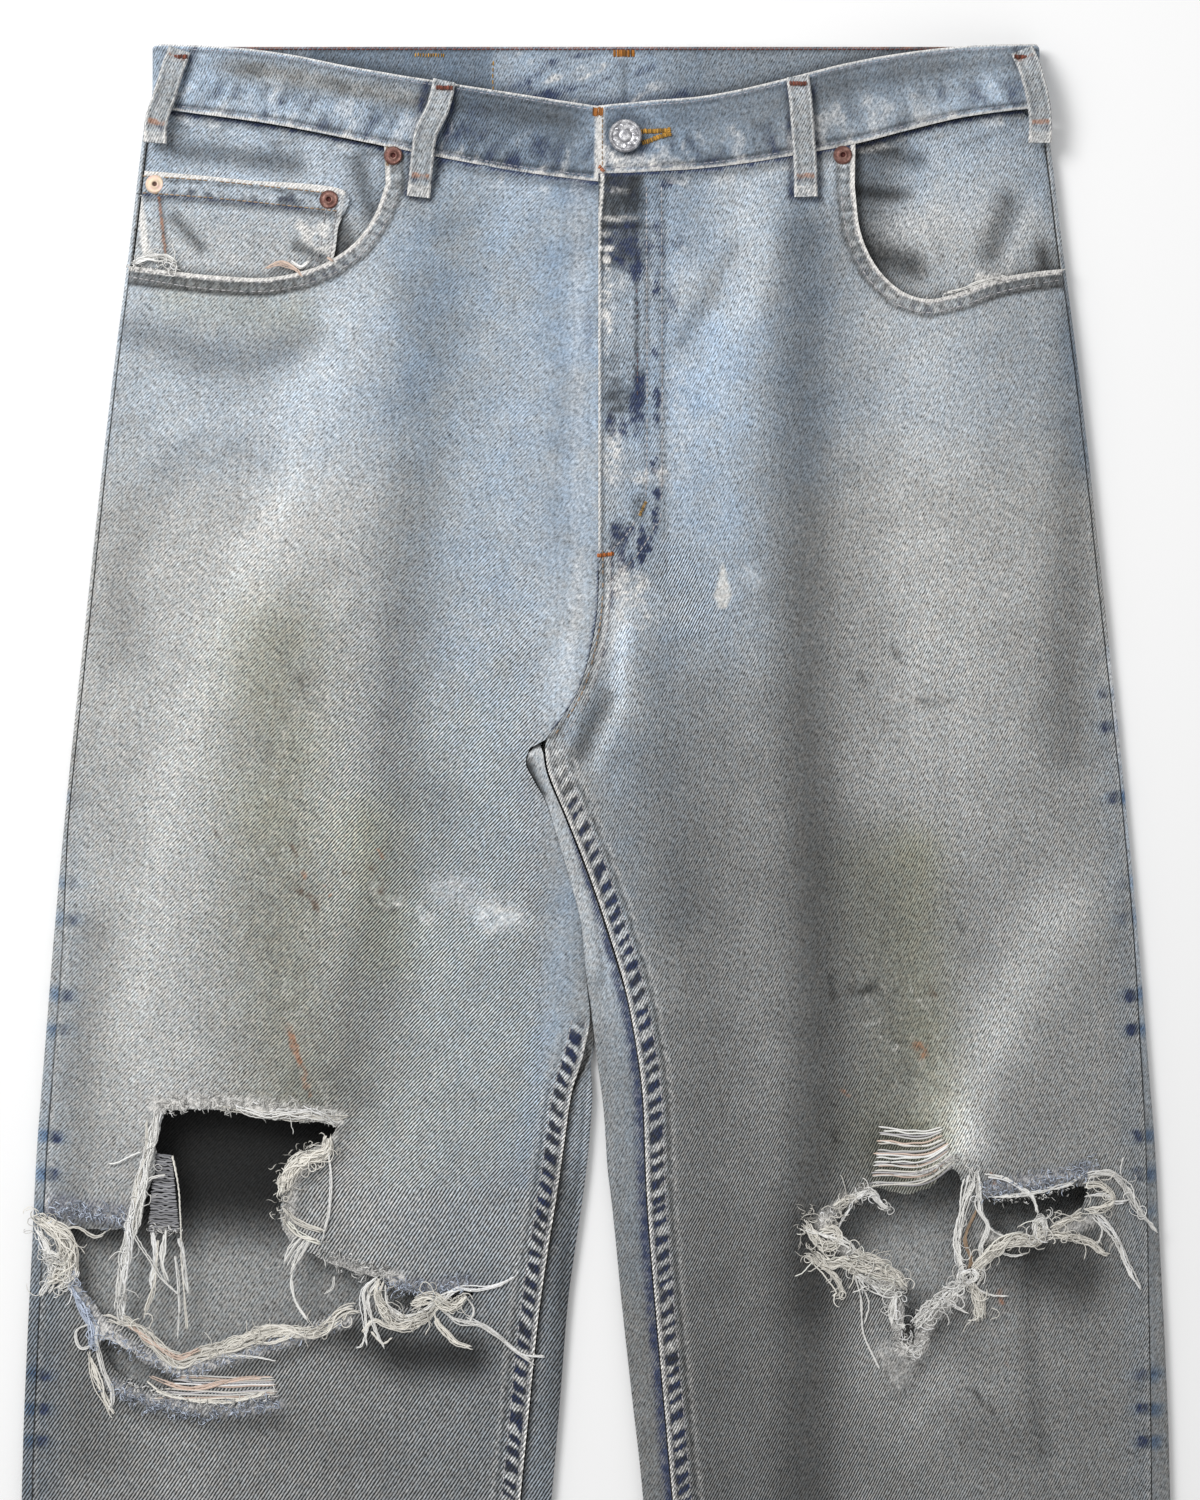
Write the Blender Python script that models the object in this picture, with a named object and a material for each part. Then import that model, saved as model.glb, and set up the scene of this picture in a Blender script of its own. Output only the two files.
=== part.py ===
"""Ripped five-pocket jeans laid flat and face up, built piece by piece as a maker cuts and sews them.

Plan places are (across, down) in millimetres: across is measured from the middle towards the wearer's
left (+X), down from the top edge of the back waistband towards the hems (-Y). Heights are millimetres
above the surface that the jeans lie on. Every piece of cloth is a wall: plan sheets lie on the top
layer, and swept sheets also wrap round the side folds, where the back of the leg turns to the front.
"""

from math import acos, cos, exp, hypot, pi, sin, sqrt

import bmesh
import bpy
from mathutils import Vector
from mathutils.geometry import delaunay_2d_cdt

MM = 0.001
LENGTH = 1075.0  # waist edge to hem
TOP_Y = LENGTH / 2  # world Y of the waist edge
CLOTH = 1.2  # one layer of worn denim with its nap
BAND = 2.4  # the waistband, folded double
SEAM_GAP = 0.3
FACET_GAP = 0.5  # room that a piece keeps over another one with different facets
BAND_HEIGHT = 38.0
HEM_DEPTH = 13.0
ROUND_OUT = 55.0  # how far in from the side fold the leg has risen to its crown
ROUND_IN = 50.0
BUTTON_D = 17.0
RIVET_D = 9.5
LOOP_WIDTH = 11.5
LOOP_CLOTH = 1.8

# ---- sections down the garment; each table has a row for each section ----

# down, half of the garment's width
HALF_WIDTH = (
    (0, 219.5), (50, 226), (100, 232), (150, 238.5), (200, 244.5), (250, 250), (300, 255.5),
    (350, 261), (400, 266), (450, 270.5), (500, 274.5), (550, 278.5), (600, 281), (650, 283.5),
    (700, 285.5), (760, 286.5), (850, 286), (950, 282), (1075, 275),
)
# down, how far the back of the leg is folded to the front at the outer side: right leg, left leg
OUTER_RETURN = (
    (0, 1.5, 1.5), (380, 1.5, 1.5), (450, 4.5, 1.8), (540, 4.8, 4), (640, 5, 7), (730, 5, 9),
    (1075, 5, 9),
)
# down, inner fold of the left leg; above the crotch it is the seat seam
LEFT_INNER = (
    (0, 0), (250, 0), (296, -2), (321, -9), (338, -20), (349, -31), (357, -34), (366, -30),
    (376, -24.5), (395, -18.5), (415, -12.5), (436, -7), (460, -4.5), (483, -2), (507, 1), (531, 4),
    (560, 6), (576, 8), (600, 10.5), (626, 13), (676, 18.5), (716, 23), (800, 30), (900, 37),
    (1000, 43), (1075, 47),
)
# down, inner fold of the right leg; above the parting it lies along the left leg's fold
RIGHT_INNER = (
    (505, 0), (518, -1.8), (536, -3.2), (553, -4.6), (570, -6.6), (600, -11), (626, -14.5),
    (676, -18.6), (716, -22), (800, -29.5), (900, -37), (1000, -43), (1075, -47),
)
# down, inseam of the left leg, where the front panel ends
LEFT_INSEAM = (
    (348, -25.5), (362, -23.5), (385.5, -14), (412.5, -3.5), (440.5, 6), (471, 15), (503.5, 21),
    (525, 23.5), (551, 24.5), (575, 25.5), (626, 29.5), (676, 34), (726, 38.5), (800, 46),
    (900, 53), (1000, 58), (1075, 61),
)
# down, inseam of the right leg
RIGHT_INSEAM = (
    (487, -2.9), (505, -7), (521, -12), (545, -15.6), (574, -19.8), (600, -24), (636, -29),
    (691, -34.5), (726, -38), (800, -45.5), (900, -53), (1000, -58), (1075, -61),
)
# down, the centre front seam from the fly's foot to the crotch
FRONT_SEAM = ((250, 1.2), (276, 1.0), (296, -1.5), (321, -8.5), (336, -17.5), (347, -26))
# down, height of the top layer's underside at the folds
FOLD_HEIGHT = ((0, 7.6), (150, 7.4), (260, 6), (350, 4.6), (1075, 4.2))
# down, crown of the top layer above the folds: right leg, left leg
CROWN = (
    (0, 7, 7), (70, 9, 9), (130, 11.5, 11.5), (250, 13.5, 13.5), (400, 13.5, 13), (480, 14, 13),
    (540, 15, 13), (585, 14, 12), (620, 9.5, 8.5), (650, 7, 7), (720, 8, 8), (850, 9.5, 9.5),
    (1000, 8, 8), (1075, 6, 6),
)
# down, lift of the back layer off the surface, where it lies on the back pockets and waistband
BACK_LIFT = ((0, 2.1), (60, 1.9), (110, 1.6), (320, 1.6), (385, 0), (1075, 0))
# across, top edge and lower edge of the front waistband, each down from the back's top edge
BAND_RIGHT = (
    (-219, 0, 31.5), (-198, 1, 35), (-158, 5, 41), (-122, 12, 48), (-80, 19, 56.5), (-39, 25.5, 64),
    (0, 31.5, 69), (28, 34.5, 71.5),
)
BAND_LEFT = (
    (0, 32, 65.5), (20, 30, 65), (51, 27, 62.8), (71, 23.5, 60.5), (96, 17.5, 56.5),
    (128, 9.5, 50.5), (154, 5, 43.8), (180, 2, 37.5), (206, 0.3, 33.2), (219, 0, 31.5),
)

# the largest folds: leg, path as (across, down) places, reach to each side, rise
FOLDS = (
    ("right", ((-126, 140), (-148, 215), (-178, 295), (-206, 365), (-218, 450)), 15, 2.6),
    ("right", ((-80, 80), (-90, 230), (-93, 360), (-113, 450), (-123, 520)), 16, -3.2),
    ("right", ((-225, 150), (-160, 160)), 14, -2.4),
    ("right", ((-200, 215), (-238, 260), (-246, 330)), 13, -2.0),
    ("right", ((-30, 650), (-60, 760), (-70, 900)), 20, -2.0),
    ("right", ((-200, 700), (-190, 850), (-175, 980)), 20, 2.0),
    ("left", ((106, 90), (102, 230), (105, 330), (115, 430), (117, 500), (110, 560)), 15, -3.6),
    ("left", ((95, 90), (52, 175)), 13, 1.8),
    ("left", ((27, 290), (30, 400)), 13, -2.4),
    ("left", ((222, 430), (200, 490), (182, 540)), 16, 3.0),
    ("left", ((232, 250), (232, 340)), 12, -1.8),
    ("left", ((96, 600), (102, 720), (110, 860)), 17, -2.6),
    ("left", ((210, 640), (205, 760), (190, 900)), 18, 2.0),
)


def through(rows, column=1):
    """A smooth curve through one column of a table, as a function of the first column."""
    xs = [row[0] for row in rows]
    ys = [row[column] for row in rows]
    last = len(xs) - 1
    slopes = []
    for i in range(last + 1):
        a, b = max(i - 1, 0), min(i + 1, last)
        turns = a < i < b and (ys[i] - ys[a]) * (ys[b] - ys[i]) <= 0
        slopes.append(0.0 if turns else (ys[b] - ys[a]) / (xs[b] - xs[a]))

    def value(x):
        if x <= xs[0]:
            return ys[0]
        if x >= xs[last]:
            return ys[last]
        i = next(k for k in range(last) if x <= xs[k + 1])
        span = xs[i + 1] - xs[i]
        t = (x - xs[i]) / span
        rise, fall = t * t * (3 - 2 * t), t * (1 - t)
        bend = fall * ((1 - t) * slopes[i] - t * slopes[i + 1]) * span
        return ys[i] + (ys[i + 1] - ys[i]) * rise + bend

    return value


half_width = through(HALF_WIDTH)
fold_height = through(FOLD_HEIGHT)
back_lift = through(BACK_LIFT)
left_inner = through(LEFT_INNER)
right_split = through(RIGHT_INNER)
outer_return = {"right": through(OUTER_RETURN, 1), "left": through(OUTER_RETURN, 2)}
crown = {"right": through(CROWN, 1), "left": through(CROWN, 2)}
inseam = {"right": through(RIGHT_INSEAM), "left": through(LEFT_INSEAM)}
front_seam = through(FRONT_SEAM)
band_top = {"right": through(BAND_RIGHT, 1), "left": through(BAND_LEFT, 1)}
band_foot = {"right": through(BAND_RIGHT, 2), "left": through(BAND_LEFT, 2)}
SIDE = {"right": -1, "left": 1}
PARTING = 505  # down, where the two legs part
CROTCH = 348  # down, where the centre front seam meets the inseams


def step(low, high, value):
    """0 below low, 1 above high, and smooth between."""
    t = min(1.0, max(0.0, (value - low) / (high - low)))
    return t * t * (3 - 2 * t)


def rise(share):
    """A rounded rise from 0 at a fold to 1."""
    t = min(1.0, max(0.0, share))
    return t * (2 - t)


def inner_fold(leg, down):
    if leg == "left":
        return left_inner(down) + SEAM_GAP
    return left_inner(down) - SEAM_GAP if down < PARTING else right_split(down)


def away_from(path, across, down):
    """Distance from a place to a path."""
    best = 1e9
    for (x0, d0), (x1, d1) in zip(path, path[1:]):
        dx, dd = x1 - x0, d1 - d0
        t = ((across - x0) * dx + (down - d0) * dd) / (dx * dx + dd * dd)
        t = min(1.0, max(0.0, t))
        best = min(best, hypot(across - x0 - t * dx, down - d0 - t * dd))
    return best


def top_layer(leg, across, down):
    """Height of the underside of the layer that faces up."""
    out = (half_width(down) - SIDE[leg] * across) / ROUND_OUT
    inward = SIDE[leg] * (across - inner_fold(leg, down)) / ROUND_IN
    parted = step(CROTCH - 30, CROTCH + 90, down)
    dome = rise(out) * (1 - parted * (1 - rise(inward)))
    folds = sum(
        height * exp(-((away_from(path, across, down) / reach) ** 2))
        for side, path, reach, height in FOLDS
        if side == leg
    )
    return fold_height(down) + dome * (crown[leg](down) + folds)


def place(across, down, height):
    return Vector((across * MM, (TOP_Y - down) * MM, height * MM))


# ---- making solids ----

FINISHES = {
    "denim": ((0.50, 0.55, 0.60), 0.9, 0.0),
    "denim_inside": ((0.42, 0.45, 0.48), 0.95, 0.0),
    "threads": ((0.80, 0.78, 0.72), 0.95, 0.0),
    "copper": ((0.62, 0.36, 0.28), 0.4, 1.0),
    "steel": ((0.62, 0.63, 0.65), 0.35, 1.0),
}


def clear_scene():
    for thing in list(bpy.data.objects):
        bpy.data.objects.remove(thing)


def finish(name):
    """The material of that name, made once."""
    made = bpy.data.materials.get(name)
    if made is None:
        colour, roughness, metallic = FINISHES[name]
        made = bpy.data.materials.new(name)
        made.use_nodes = True
        shader = made.node_tree.nodes["Principled BSDF"]
        shader.inputs["Base Color"].default_value = (*colour, 1)
        shader.inputs["Roughness"].default_value = roughness
        shader.inputs["Metallic"].default_value = metallic
    return made


def add_object(name, points, faces, material):
    """One closed solid from points in metres, with its faces turned outwards."""
    shape = bmesh.new()
    corners = [shape.verts.new(p) for p in points]
    for face in faces:
        shape.faces.new([corners[i] for i in face])
    bmesh.ops.recalc_face_normals(shape, faces=shape.faces)
    mesh = bpy.data.meshes.new(name)
    shape.to_mesh(mesh)
    shape.free()
    mesh.shade_smooth()
    mesh.set_sharp_from_angle(angle=0.9)
    mesh.materials.append(finish(material))
    thing = bpy.data.objects.new(name, mesh)
    bpy.context.scene.collection.objects.link(thing)
    return thing


def inside(loop, x, y):
    """Whether a place is inside a closed loop of places."""
    found = False
    for (x0, y0), (x1, y1) in zip(loop, loop[1:] + loop[:1]):
        if (y0 > y) != (y1 > y) and x < x0 + (x1 - x0) * (y - y0) / (y1 - y0):
            found = not found
    return found


def divided(loop, longest):
    """A closed loop with extra places, so that no side is longer than that."""
    made = []
    for (x0, y0), (x1, y1) in zip(loop, loop[1:] + loop[:1]):
        parts = max(1, round(hypot(x1 - x0, y1 - y0) / longest))
        made += [(x0 + (x1 - x0) * k / parts, y0 + (y1 - y0) * k / parts) for k in range(parts)]
    return made


def plan_sheet(name, outline, under, thick, material, holes=(), width=17.0, reach=42.0):
    """A sheet of cloth with a true outline in plan, over under(across, down).

    Its facets are about width across and reach down. thick is a number or a function of the place.
    """
    thickness = thick if callable(thick) else lambda across, down: thick
    squeeze = width / reach
    loops = [divided([(x, d) for x, d in loop], 24.0 if loop is outline else 14.0)
             for loop in (outline, *holes)]
    edge = [(x, -d * squeeze) for loop in loops for x, d in loop]
    shapes, start = [], 0
    for loop in loops:
        shapes.append(list(range(start, start + len(loop))))
        start += len(loop)
    flat = [[(x, -d * squeeze) for x, d in loop] for loop in loops]
    xs, ys = [p[0] for p in flat[0]], [p[1] for p in flat[0]]
    filled = []
    row, y = 0, min(ys) + width * 0.4
    while y < max(ys):
        x = min(xs) + (row % 2) * width / 2
        while x < max(xs):
            open_place = inside(flat[0], x, y) and not any(inside(h, x, y) for h in flat[1:])
            if open_place and min(hypot(x - a, y - b) for a, b in edge) > width * 0.5:
                filled.append((x, y))
            x += width
        y += width * 0.87
        row += 1
    places = [Vector(p) for p in edge + filled]
    corners, _, faces, *_ = delaunay_2d_cdt(places, [], shapes, 1, 1e-5)

    def kept(face):
        x = sum(corners[i].x for i in face) / 3
        y = sum(corners[i].y for i in face) / 3
        return not any(inside(h, x, y) for h in flat[1:])

    faces = [tuple(f) for f in faces if kept(f)]
    points = []
    for corner in corners:
        across, down = corner.x, -corner.y / squeeze
        low = under(across, down)
        points.append((place(across, down, low), place(across, down, low + thickness(across, down))))
    count = len(points)
    sides = {}
    for a, b, c in faces:
        for edge_pair in ((a, b), (b, c), (c, a)):
            sides[edge_pair] = sides.get(edge_pair, 0) + 1
    rim = [(a, b) for a, b in sides if (b, a) not in sides]
    solid = [tuple(reversed(f)) for f in faces]
    solid += [tuple(i + count for i in f) for f in faces]
    solid += [(a, b, b + count, a + count) for a, b in rim]
    used = sorted({i for f in solid for i in f})
    index = {old: new for new, old in enumerate(used)}
    lifted = [points[i % count][i >= count] for i in used]
    return add_object(name, lifted, [tuple(index[i] for i in f) for f in solid], material)


def swept_sheet(name, rows, thick, material):
    """A sheet through rows of places on its middle surface, each row with as many places."""
    high, wide = len(rows), len(rows[0])
    outer, inner = [], []
    for j in range(high):
        for i in range(wide):
            along = rows[j][min(i + 1, wide - 1)] - rows[j][max(i - 1, 0)]
            downward = rows[min(j + 1, high - 1)][i] - rows[max(j - 1, 0)][i]
            normal = along.cross(downward).normalized() * (thick * MM / 2)
            outer.append(rows[j][i] + normal)
            inner.append(rows[j][i] - normal)
    count = high * wide
    faces = []
    for j in range(high - 1):
        for i in range(wide - 1):
            a, b = j * wide + i, j * wide + i + 1
            c, d = b + wide, a + wide
            faces += [(a, b, c, d), (d + count, c + count, b + count, a + count)]
    rim = [(j * wide, (j + 1) * wide) for j in range(high - 1)]
    rim += [((j + 1) * wide + wide - 1, j * wide + wide - 1) for j in range(high - 1)]
    rim += [(i + 1, i) for i in range(wide - 1)]
    rim += [((high - 1) * wide + i, (high - 1) * wide + i + 1) for i in range(wide - 1)]
    faces += [(a, b, b + count, a + count) for a, b in rim]
    return add_object(name, outer + inner, faces, material)


def spread(path, count):
    """That many places evenly along a path of (x, z) places."""
    lengths = [0.0]
    for (x0, z0), (x1, z1) in zip(path, path[1:]):
        lengths.append(lengths[-1] + hypot(x1 - x0, z1 - z0))
    made = []
    for k in range(count):
        want = lengths[-1] * k / (count - 1)
        i = next((n for n in range(len(path) - 2) if lengths[n + 1] >= want), len(path) - 2)
        t = (want - lengths[i]) / max(1e-9, lengths[i + 1] - lengths[i])
        made.append(tuple(a + (b - a) * t for a, b in zip(path[i], path[i + 1])))
    return made


# ---- the back of the legs and the seat ----

FOLD_POINTS = 6
FLAT_POINTS = 8


def turned_edge(edge, outward, back, low, high, top):
    """Middle places of a fold, from the layer below, round the edge, and back over by that much.

    outward is the direction of the fold's nose, and top(x) the middle height of the returned strip.
    """
    radius = (high - low) / 2
    reach = min(back, radius)
    last = acos(1 - reach / radius)
    path = []
    for k in range(9):
        angle = -pi / 2 + (pi / 2 + last) * k / 8
        path.append((edge - outward * radius * (1 - cos(angle)), low + radius + radius * sin(angle)))
    if back > radius + 0.5:
        for k in range(1, 5):
            x = edge - outward * (radius + (back - radius) * k / 4)
            path.append((x, top(x)))
    return path


def back_section(leg, downs):
    """Middle places across the back of one side, from the outer seam round to the inseam.

    downs gives the place down for a share of the way from the outer to the inner fold.
    """
    side = SIDE[leg]
    middle = CLOTH / 2
    outer_down, inner_down = downs(0.0), downs(1.0)
    outer_edge = side * half_width(outer_down)
    low = middle + back_lift(outer_down)
    outer = turned_edge(
        outer_edge, side, outer_return[leg](outer_down), low, fold_height(outer_down) + middle,
        lambda x: top_layer(leg, x, outer_down) + middle,
    )
    nose_start = outer[0][0]
    section = [(x, outer_down, z) for x, z in reversed(spread(outer, FOLD_POINTS))]
    inner_edge = inner_fold(leg, inner_down)
    low = middle + back_lift(inner_down)
    curl_from = 362 if leg == "left" else 486
    curl = step(curl_from, curl_from + 40, inner_down)
    strip = max(2.5, SIDE[leg] * (inseam[leg](inner_down) - inner_edge) - 2 * SEAM_GAP)
    folded = spread(turned_edge(
        inner_edge, -side, strip, low, fold_height(inner_down) + middle,
        lambda x: top_layer(leg, x, inner_down) + middle,
    ), FOLD_POINTS)
    flat = [(inner_edge + side * 1.6 * (FOLD_POINTS - 1 - k), low) for k in range(FOLD_POINTS)]
    nose = [
        (a[0] + (b[0] - a[0]) * curl, a[1] + (b[1] - a[1]) * curl) for a, b in zip(flat, folded)
    ]
    for k in range(1, FLAT_POINTS + 1):
        share = k / (FLAT_POINTS + 1)
        down = downs(share)
        x = nose_start + (nose[0][0] - nose_start) * share
        section.append((x, down, middle + back_lift(down)))
    section += [(x, inner_down, z) for x, z in nose]
    return [place(*p) for p in section]


YOKE_AT_SIDE, YOKE_AT_CENTRE = 74.0, 104.0
BACK_SHARES = (
    0, 0.04, 0.08, 0.13, 0.18, 0.22, 0.245, 0.265, 0.285, 0.305, 0.33, 0.36, 0.39, 0.42, 0.45, 0.48,
    0.52, 0.57, 0.63, 0.70, 0.78, 0.86, 0.93, 1.0,
)


def yoke_seam(share):
    return YOKE_AT_SIDE + (YOKE_AT_CENTRE - YOKE_AT_SIDE) * share


def make_back(leg):
    rows = []
    for length in BACK_SHARES:
        rows.append(back_section(
            leg,
            lambda share: yoke_seam(share) + SEAM_GAP
            + (LENGTH - yoke_seam(share) - SEAM_GAP) * length,
        ))
    swept_sheet(f"back_panel_{leg}", rows, CLOTH, "denim")
    rows = []
    for length in (0, 0.5, 1.0):
        top = BAND_HEIGHT + SEAM_GAP
        rows.append(back_section(
            leg, lambda share: top + (yoke_seam(share) - SEAM_GAP / 2 - top) * length
        ))
    swept_sheet(f"yoke_{leg}", rows, CLOTH, "denim")


def make_back_pocket(leg):
    """A patch pocket under the seat: five-sided, with its top edge along the yoke seam."""
    side = SIDE[leg]
    corners = ((38, 128), (188, 114), (181, 236), (113, 268), (46, 250))
    outline = [(side * x, d) for x, d in corners]
    plan_sheet(f"back_pocket_{leg}", outline, lambda x, d: 0.0, CLOTH, "denim", width=40, reach=40)


# ---- the fronts ----

# right front pocket's opening from the side seam to the waistband, across and down
POCKET_RIGHT = (
    (-233.5, 110), (-213, 113.2), (-188, 116.2), (-163.5, 117.2), (-145, 113.9), (-132, 108.8),
    (-118.6, 98.8), (-109.5, 85.5), (-104.2, 70.5), (-105, 53),
)
POCKET_LEFT = (
    (234, 111.5), (216, 114), (197, 118), (180, 124.5), (164.5, 127.8), (150.8, 123.5),
    (138.7, 111.5), (131, 94.3), (128.2, 72), (128.7, 52.5),
)
POCKETS = {"right": POCKET_RIGHT, "left": POCKET_LEFT}

# the tears of the right knee: one opening, a smaller one under its torn lip, and the slit beside it
TEARS_RIGHT = (
    (
        (-214, 530.5), (-207, 529.5), (-185, 528.5), (-162, 533), (-136, 536), (-129, 538),
        (-134, 545), (-146, 551.5), (-154, 560), (-156, 576), (-155, 588), (-149, 596),
        (-137, 603), (-124, 608), (-112, 612), (-104, 613), (-97, 619), (-76, 621), (-62, 619.5),
        (-64, 623), (-84, 627), (-100, 627.5), (-113, 629), (-122, 627.5), (-134, 632.5),
        (-152, 637.5), (-170, 643), (-190, 650), (-204, 653), (-218, 648), (-230, 641),
        (-240, 634.5), (-246, 630), (-250, 625), (-257, 616), (-261, 603), (-263, 594),
        (-261, 587), (-250, 589), (-236, 588), (-228, 586), (-223, 575), (-218.5, 560),
        (-217, 545),
    ),
    (
        (-246, 644), (-238, 646), (-230, 650.5), (-223, 657), (-214, 663), (-202, 665.5),
        (-208, 668.5), (-220, 667), (-232, 663.5), (-240, 657),
    ),
)
# the tears of the left knee, on each side of a bridge of threads
TEARS_LEFT = (
    (
        (127, 574), (137, 568), (153, 570.5), (165, 568), (176, 557.5), (182, 566), (181.5, 573),
        (179, 583), (177.5, 600), (180, 612), (171, 624), (164.5, 629), (159, 634), (157.5, 644.5),
        (151.5, 645.5), (153, 634), (152.3, 622.5), (147, 614), (138, 606), (128, 600.5),
        (120.5, 593.5), (119.5, 588), (122, 580),
    ),
    (
        (192, 576), (196, 572), (216, 572), (235, 567), (243.5, 567.5), (242, 576), (239.5, 580),
        (232.5, 584), (222, 585.5), (216.5, 585.5), (214, 590.5), (205.5, 592), (198, 589),
        (194, 583),
    ),
)
FLY_EDGE = 1.2  # across, the lap's front edge
FLY_FOOT = 252.0
UNDERLAP = 17.0  # how far the right front runs under the fly's lap
J_ACROSS = 33.0  # width of the stitched lap


def seam_line(leg, down):
    """Where the front meets the returned edge of the back, at the outer side."""
    return SIDE[leg] * (half_width(down) - outer_return[leg](down) - 2 * SEAM_GAP)


def fly_lift(across, down):
    """How much the left front is raised where it laps over the right."""
    return 2.3 * (1 - step(26, 60, across)) * (1 - step(FLY_FOOT - 8, FLY_FOOT + 30, down))


def left_front_under(across, down):
    return top_layer("left", across, down) + fly_lift(across, down)


def front_thickness(leg):
    """A layer of denim, doubled at the hem, along the pocket's edge and, at the left, in the lap."""
    pocket = POCKETS[leg]

    def value(across, down):
        doubled = step(LENGTH - HEM_DEPTH - 4, LENGTH - HEM_DEPTH, down)
        if down < 160:
            doubled = max(doubled, 1 - step(7, 14, away_from(pocket, across, down)))
        if leg == "left" and down < FLY_FOOT + 25:
            lap = (1 - step(J_ACROSS - 2, J_ACROSS + 4, across)) * (
                1 - step(FLY_FOOT - 2, FLY_FOOT + 12, down)
            )
            doubled = max(doubled, lap)
        return CLOTH + 0.9 * doubled

    return value


def back_rows(share):
    """Places down of the back panel's rows at its outer fold, 0, or its inner one, 1."""
    top = yoke_seam(share) + SEAM_GAP
    return [top + (LENGTH - top) * length for length in BACK_SHARES if length > 0.05]


def run(values, curve):
    """Places of a curve at those places down."""
    return [(curve(d), d) for d in values]


def make_front_right():
    foot = band_foot["right"]
    outline = [(x, foot(x) + SEAM_GAP) for x in (-78, -52, -26, -2, UNDERLAP)]
    outline += [(UNDERLAP, 120), (UNDERLAP, 180), (UNDERLAP, FLY_FOOT - 10)]
    outline += run((262, 276, 290, 304, 316, 326, 334), lambda d: front_seam(d) - SEAM_GAP / 2)
    outline += run(
        (341, 349, 357, 365, 373, 384, 396, 412, 430, 450, 470),
        lambda d: inner_fold("right", d) - 2 * SEAM_GAP,
    )
    outline += run([489, *(d for d in back_rows(1) if d > 495)], inseam["right"])
    outline += run(reversed(back_rows(0)), lambda d: seam_line("right", d))
    outline += [(seam_line("right", 111), 111), *POCKET_RIGHT[1:-1]]
    outline.append((-105, foot(-105) + SEAM_GAP))
    plan_sheet(
        "front_panel_right", outline, lambda x, d: top_layer("right", x, d),
        front_thickness("right"), "denim", holes=TEARS_RIGHT,
    )


def make_front_left():
    foot = band_foot["left"]
    outline = [(x, foot(x) + SEAM_GAP) for x in (105, 80, 55, 30)]
    outline += [(FLY_EDGE, foot(FLY_EDGE) + SEAM_GAP)]
    outline += [(FLY_EDGE, d) for d in (100, 140, 180, 220, FLY_FOOT)]
    outline += run((276, 290, 304, 316, 326, 334, 341), lambda d: front_seam(d) + SEAM_GAP / 2)
    outline += run([d for d in back_rows(1) if d > CROTCH], inseam["left"])
    outline += run(reversed(back_rows(0)), lambda d: seam_line("left", d))
    outline += [(seam_line("left", 112), 112), *POCKET_LEFT[1:-1]]
    outline.append((128.6, foot(128.6) + SEAM_GAP))
    plan_sheet(
        "front_panel_left", outline, left_front_under, front_thickness("left"), "denim",
        holes=TEARS_LEFT,
    )


FACING_DROP = 4.3  # the facing's underside below the front's


def make_facing(leg):
    """The denim seen inside the front pocket's opening, running under the opening's edge."""
    side = SIDE[leg]
    foot = band_foot[leg]
    lap = 17.0
    inner = [(x, d) for x, d in POCKETS[leg][2:-1]]
    centre = (side * 178, 66)
    grown = []
    for x, d in inner:
        away = hypot(x - centre[0], d - centre[1])
        grown.append((x + (x - centre[0]) / away * lap, d + (d - centre[1]) / away * lap))
    last = side * 100
    outline = [(last, foot(last) + SEAM_GAP)]
    outline += [(side * x, foot(side * x) + SEAM_GAP) for x in (125, 150, 175, 200, 214)]
    outline += run((45, 60, 80, 100, 118, 131), lambda d: seam_line(leg, d) - side * SEAM_GAP)
    outline += grown
    plan_sheet(
        f"pocket_facing_{leg}", outline,
        lambda x, d: top_layer(leg, x, d) - FACING_DROP, CLOTH, "denim", width=20, reach=26,
    )


COIN_POCKET = ((-176, 68), (-125.5, 73.2), (-128, 92), (-131.5, 110), (-146, 127), (-180, 131))


def coin_under(across, down):
    return top_layer("right", across, down) - FACING_DROP + CLOTH + FACET_GAP


def make_coin_pocket():
    """The small pocket on the right facing, caught in the side seam."""
    outline = [*COIN_POCKET, *run((124, 92, 62.5), lambda d: seam_line("right", d) + 2 * SEAM_GAP)]
    plan_sheet("coin_pocket", outline, coin_under, CLOTH, "denim", width=15, reach=20)


# ---- waistband, loops, hardware ----


def band_height(leg, across):
    """Height of the underside of the front waistband."""
    return top_layer(leg, across, (band_top[leg](across) + band_foot[leg](across)) / 2)


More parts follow.
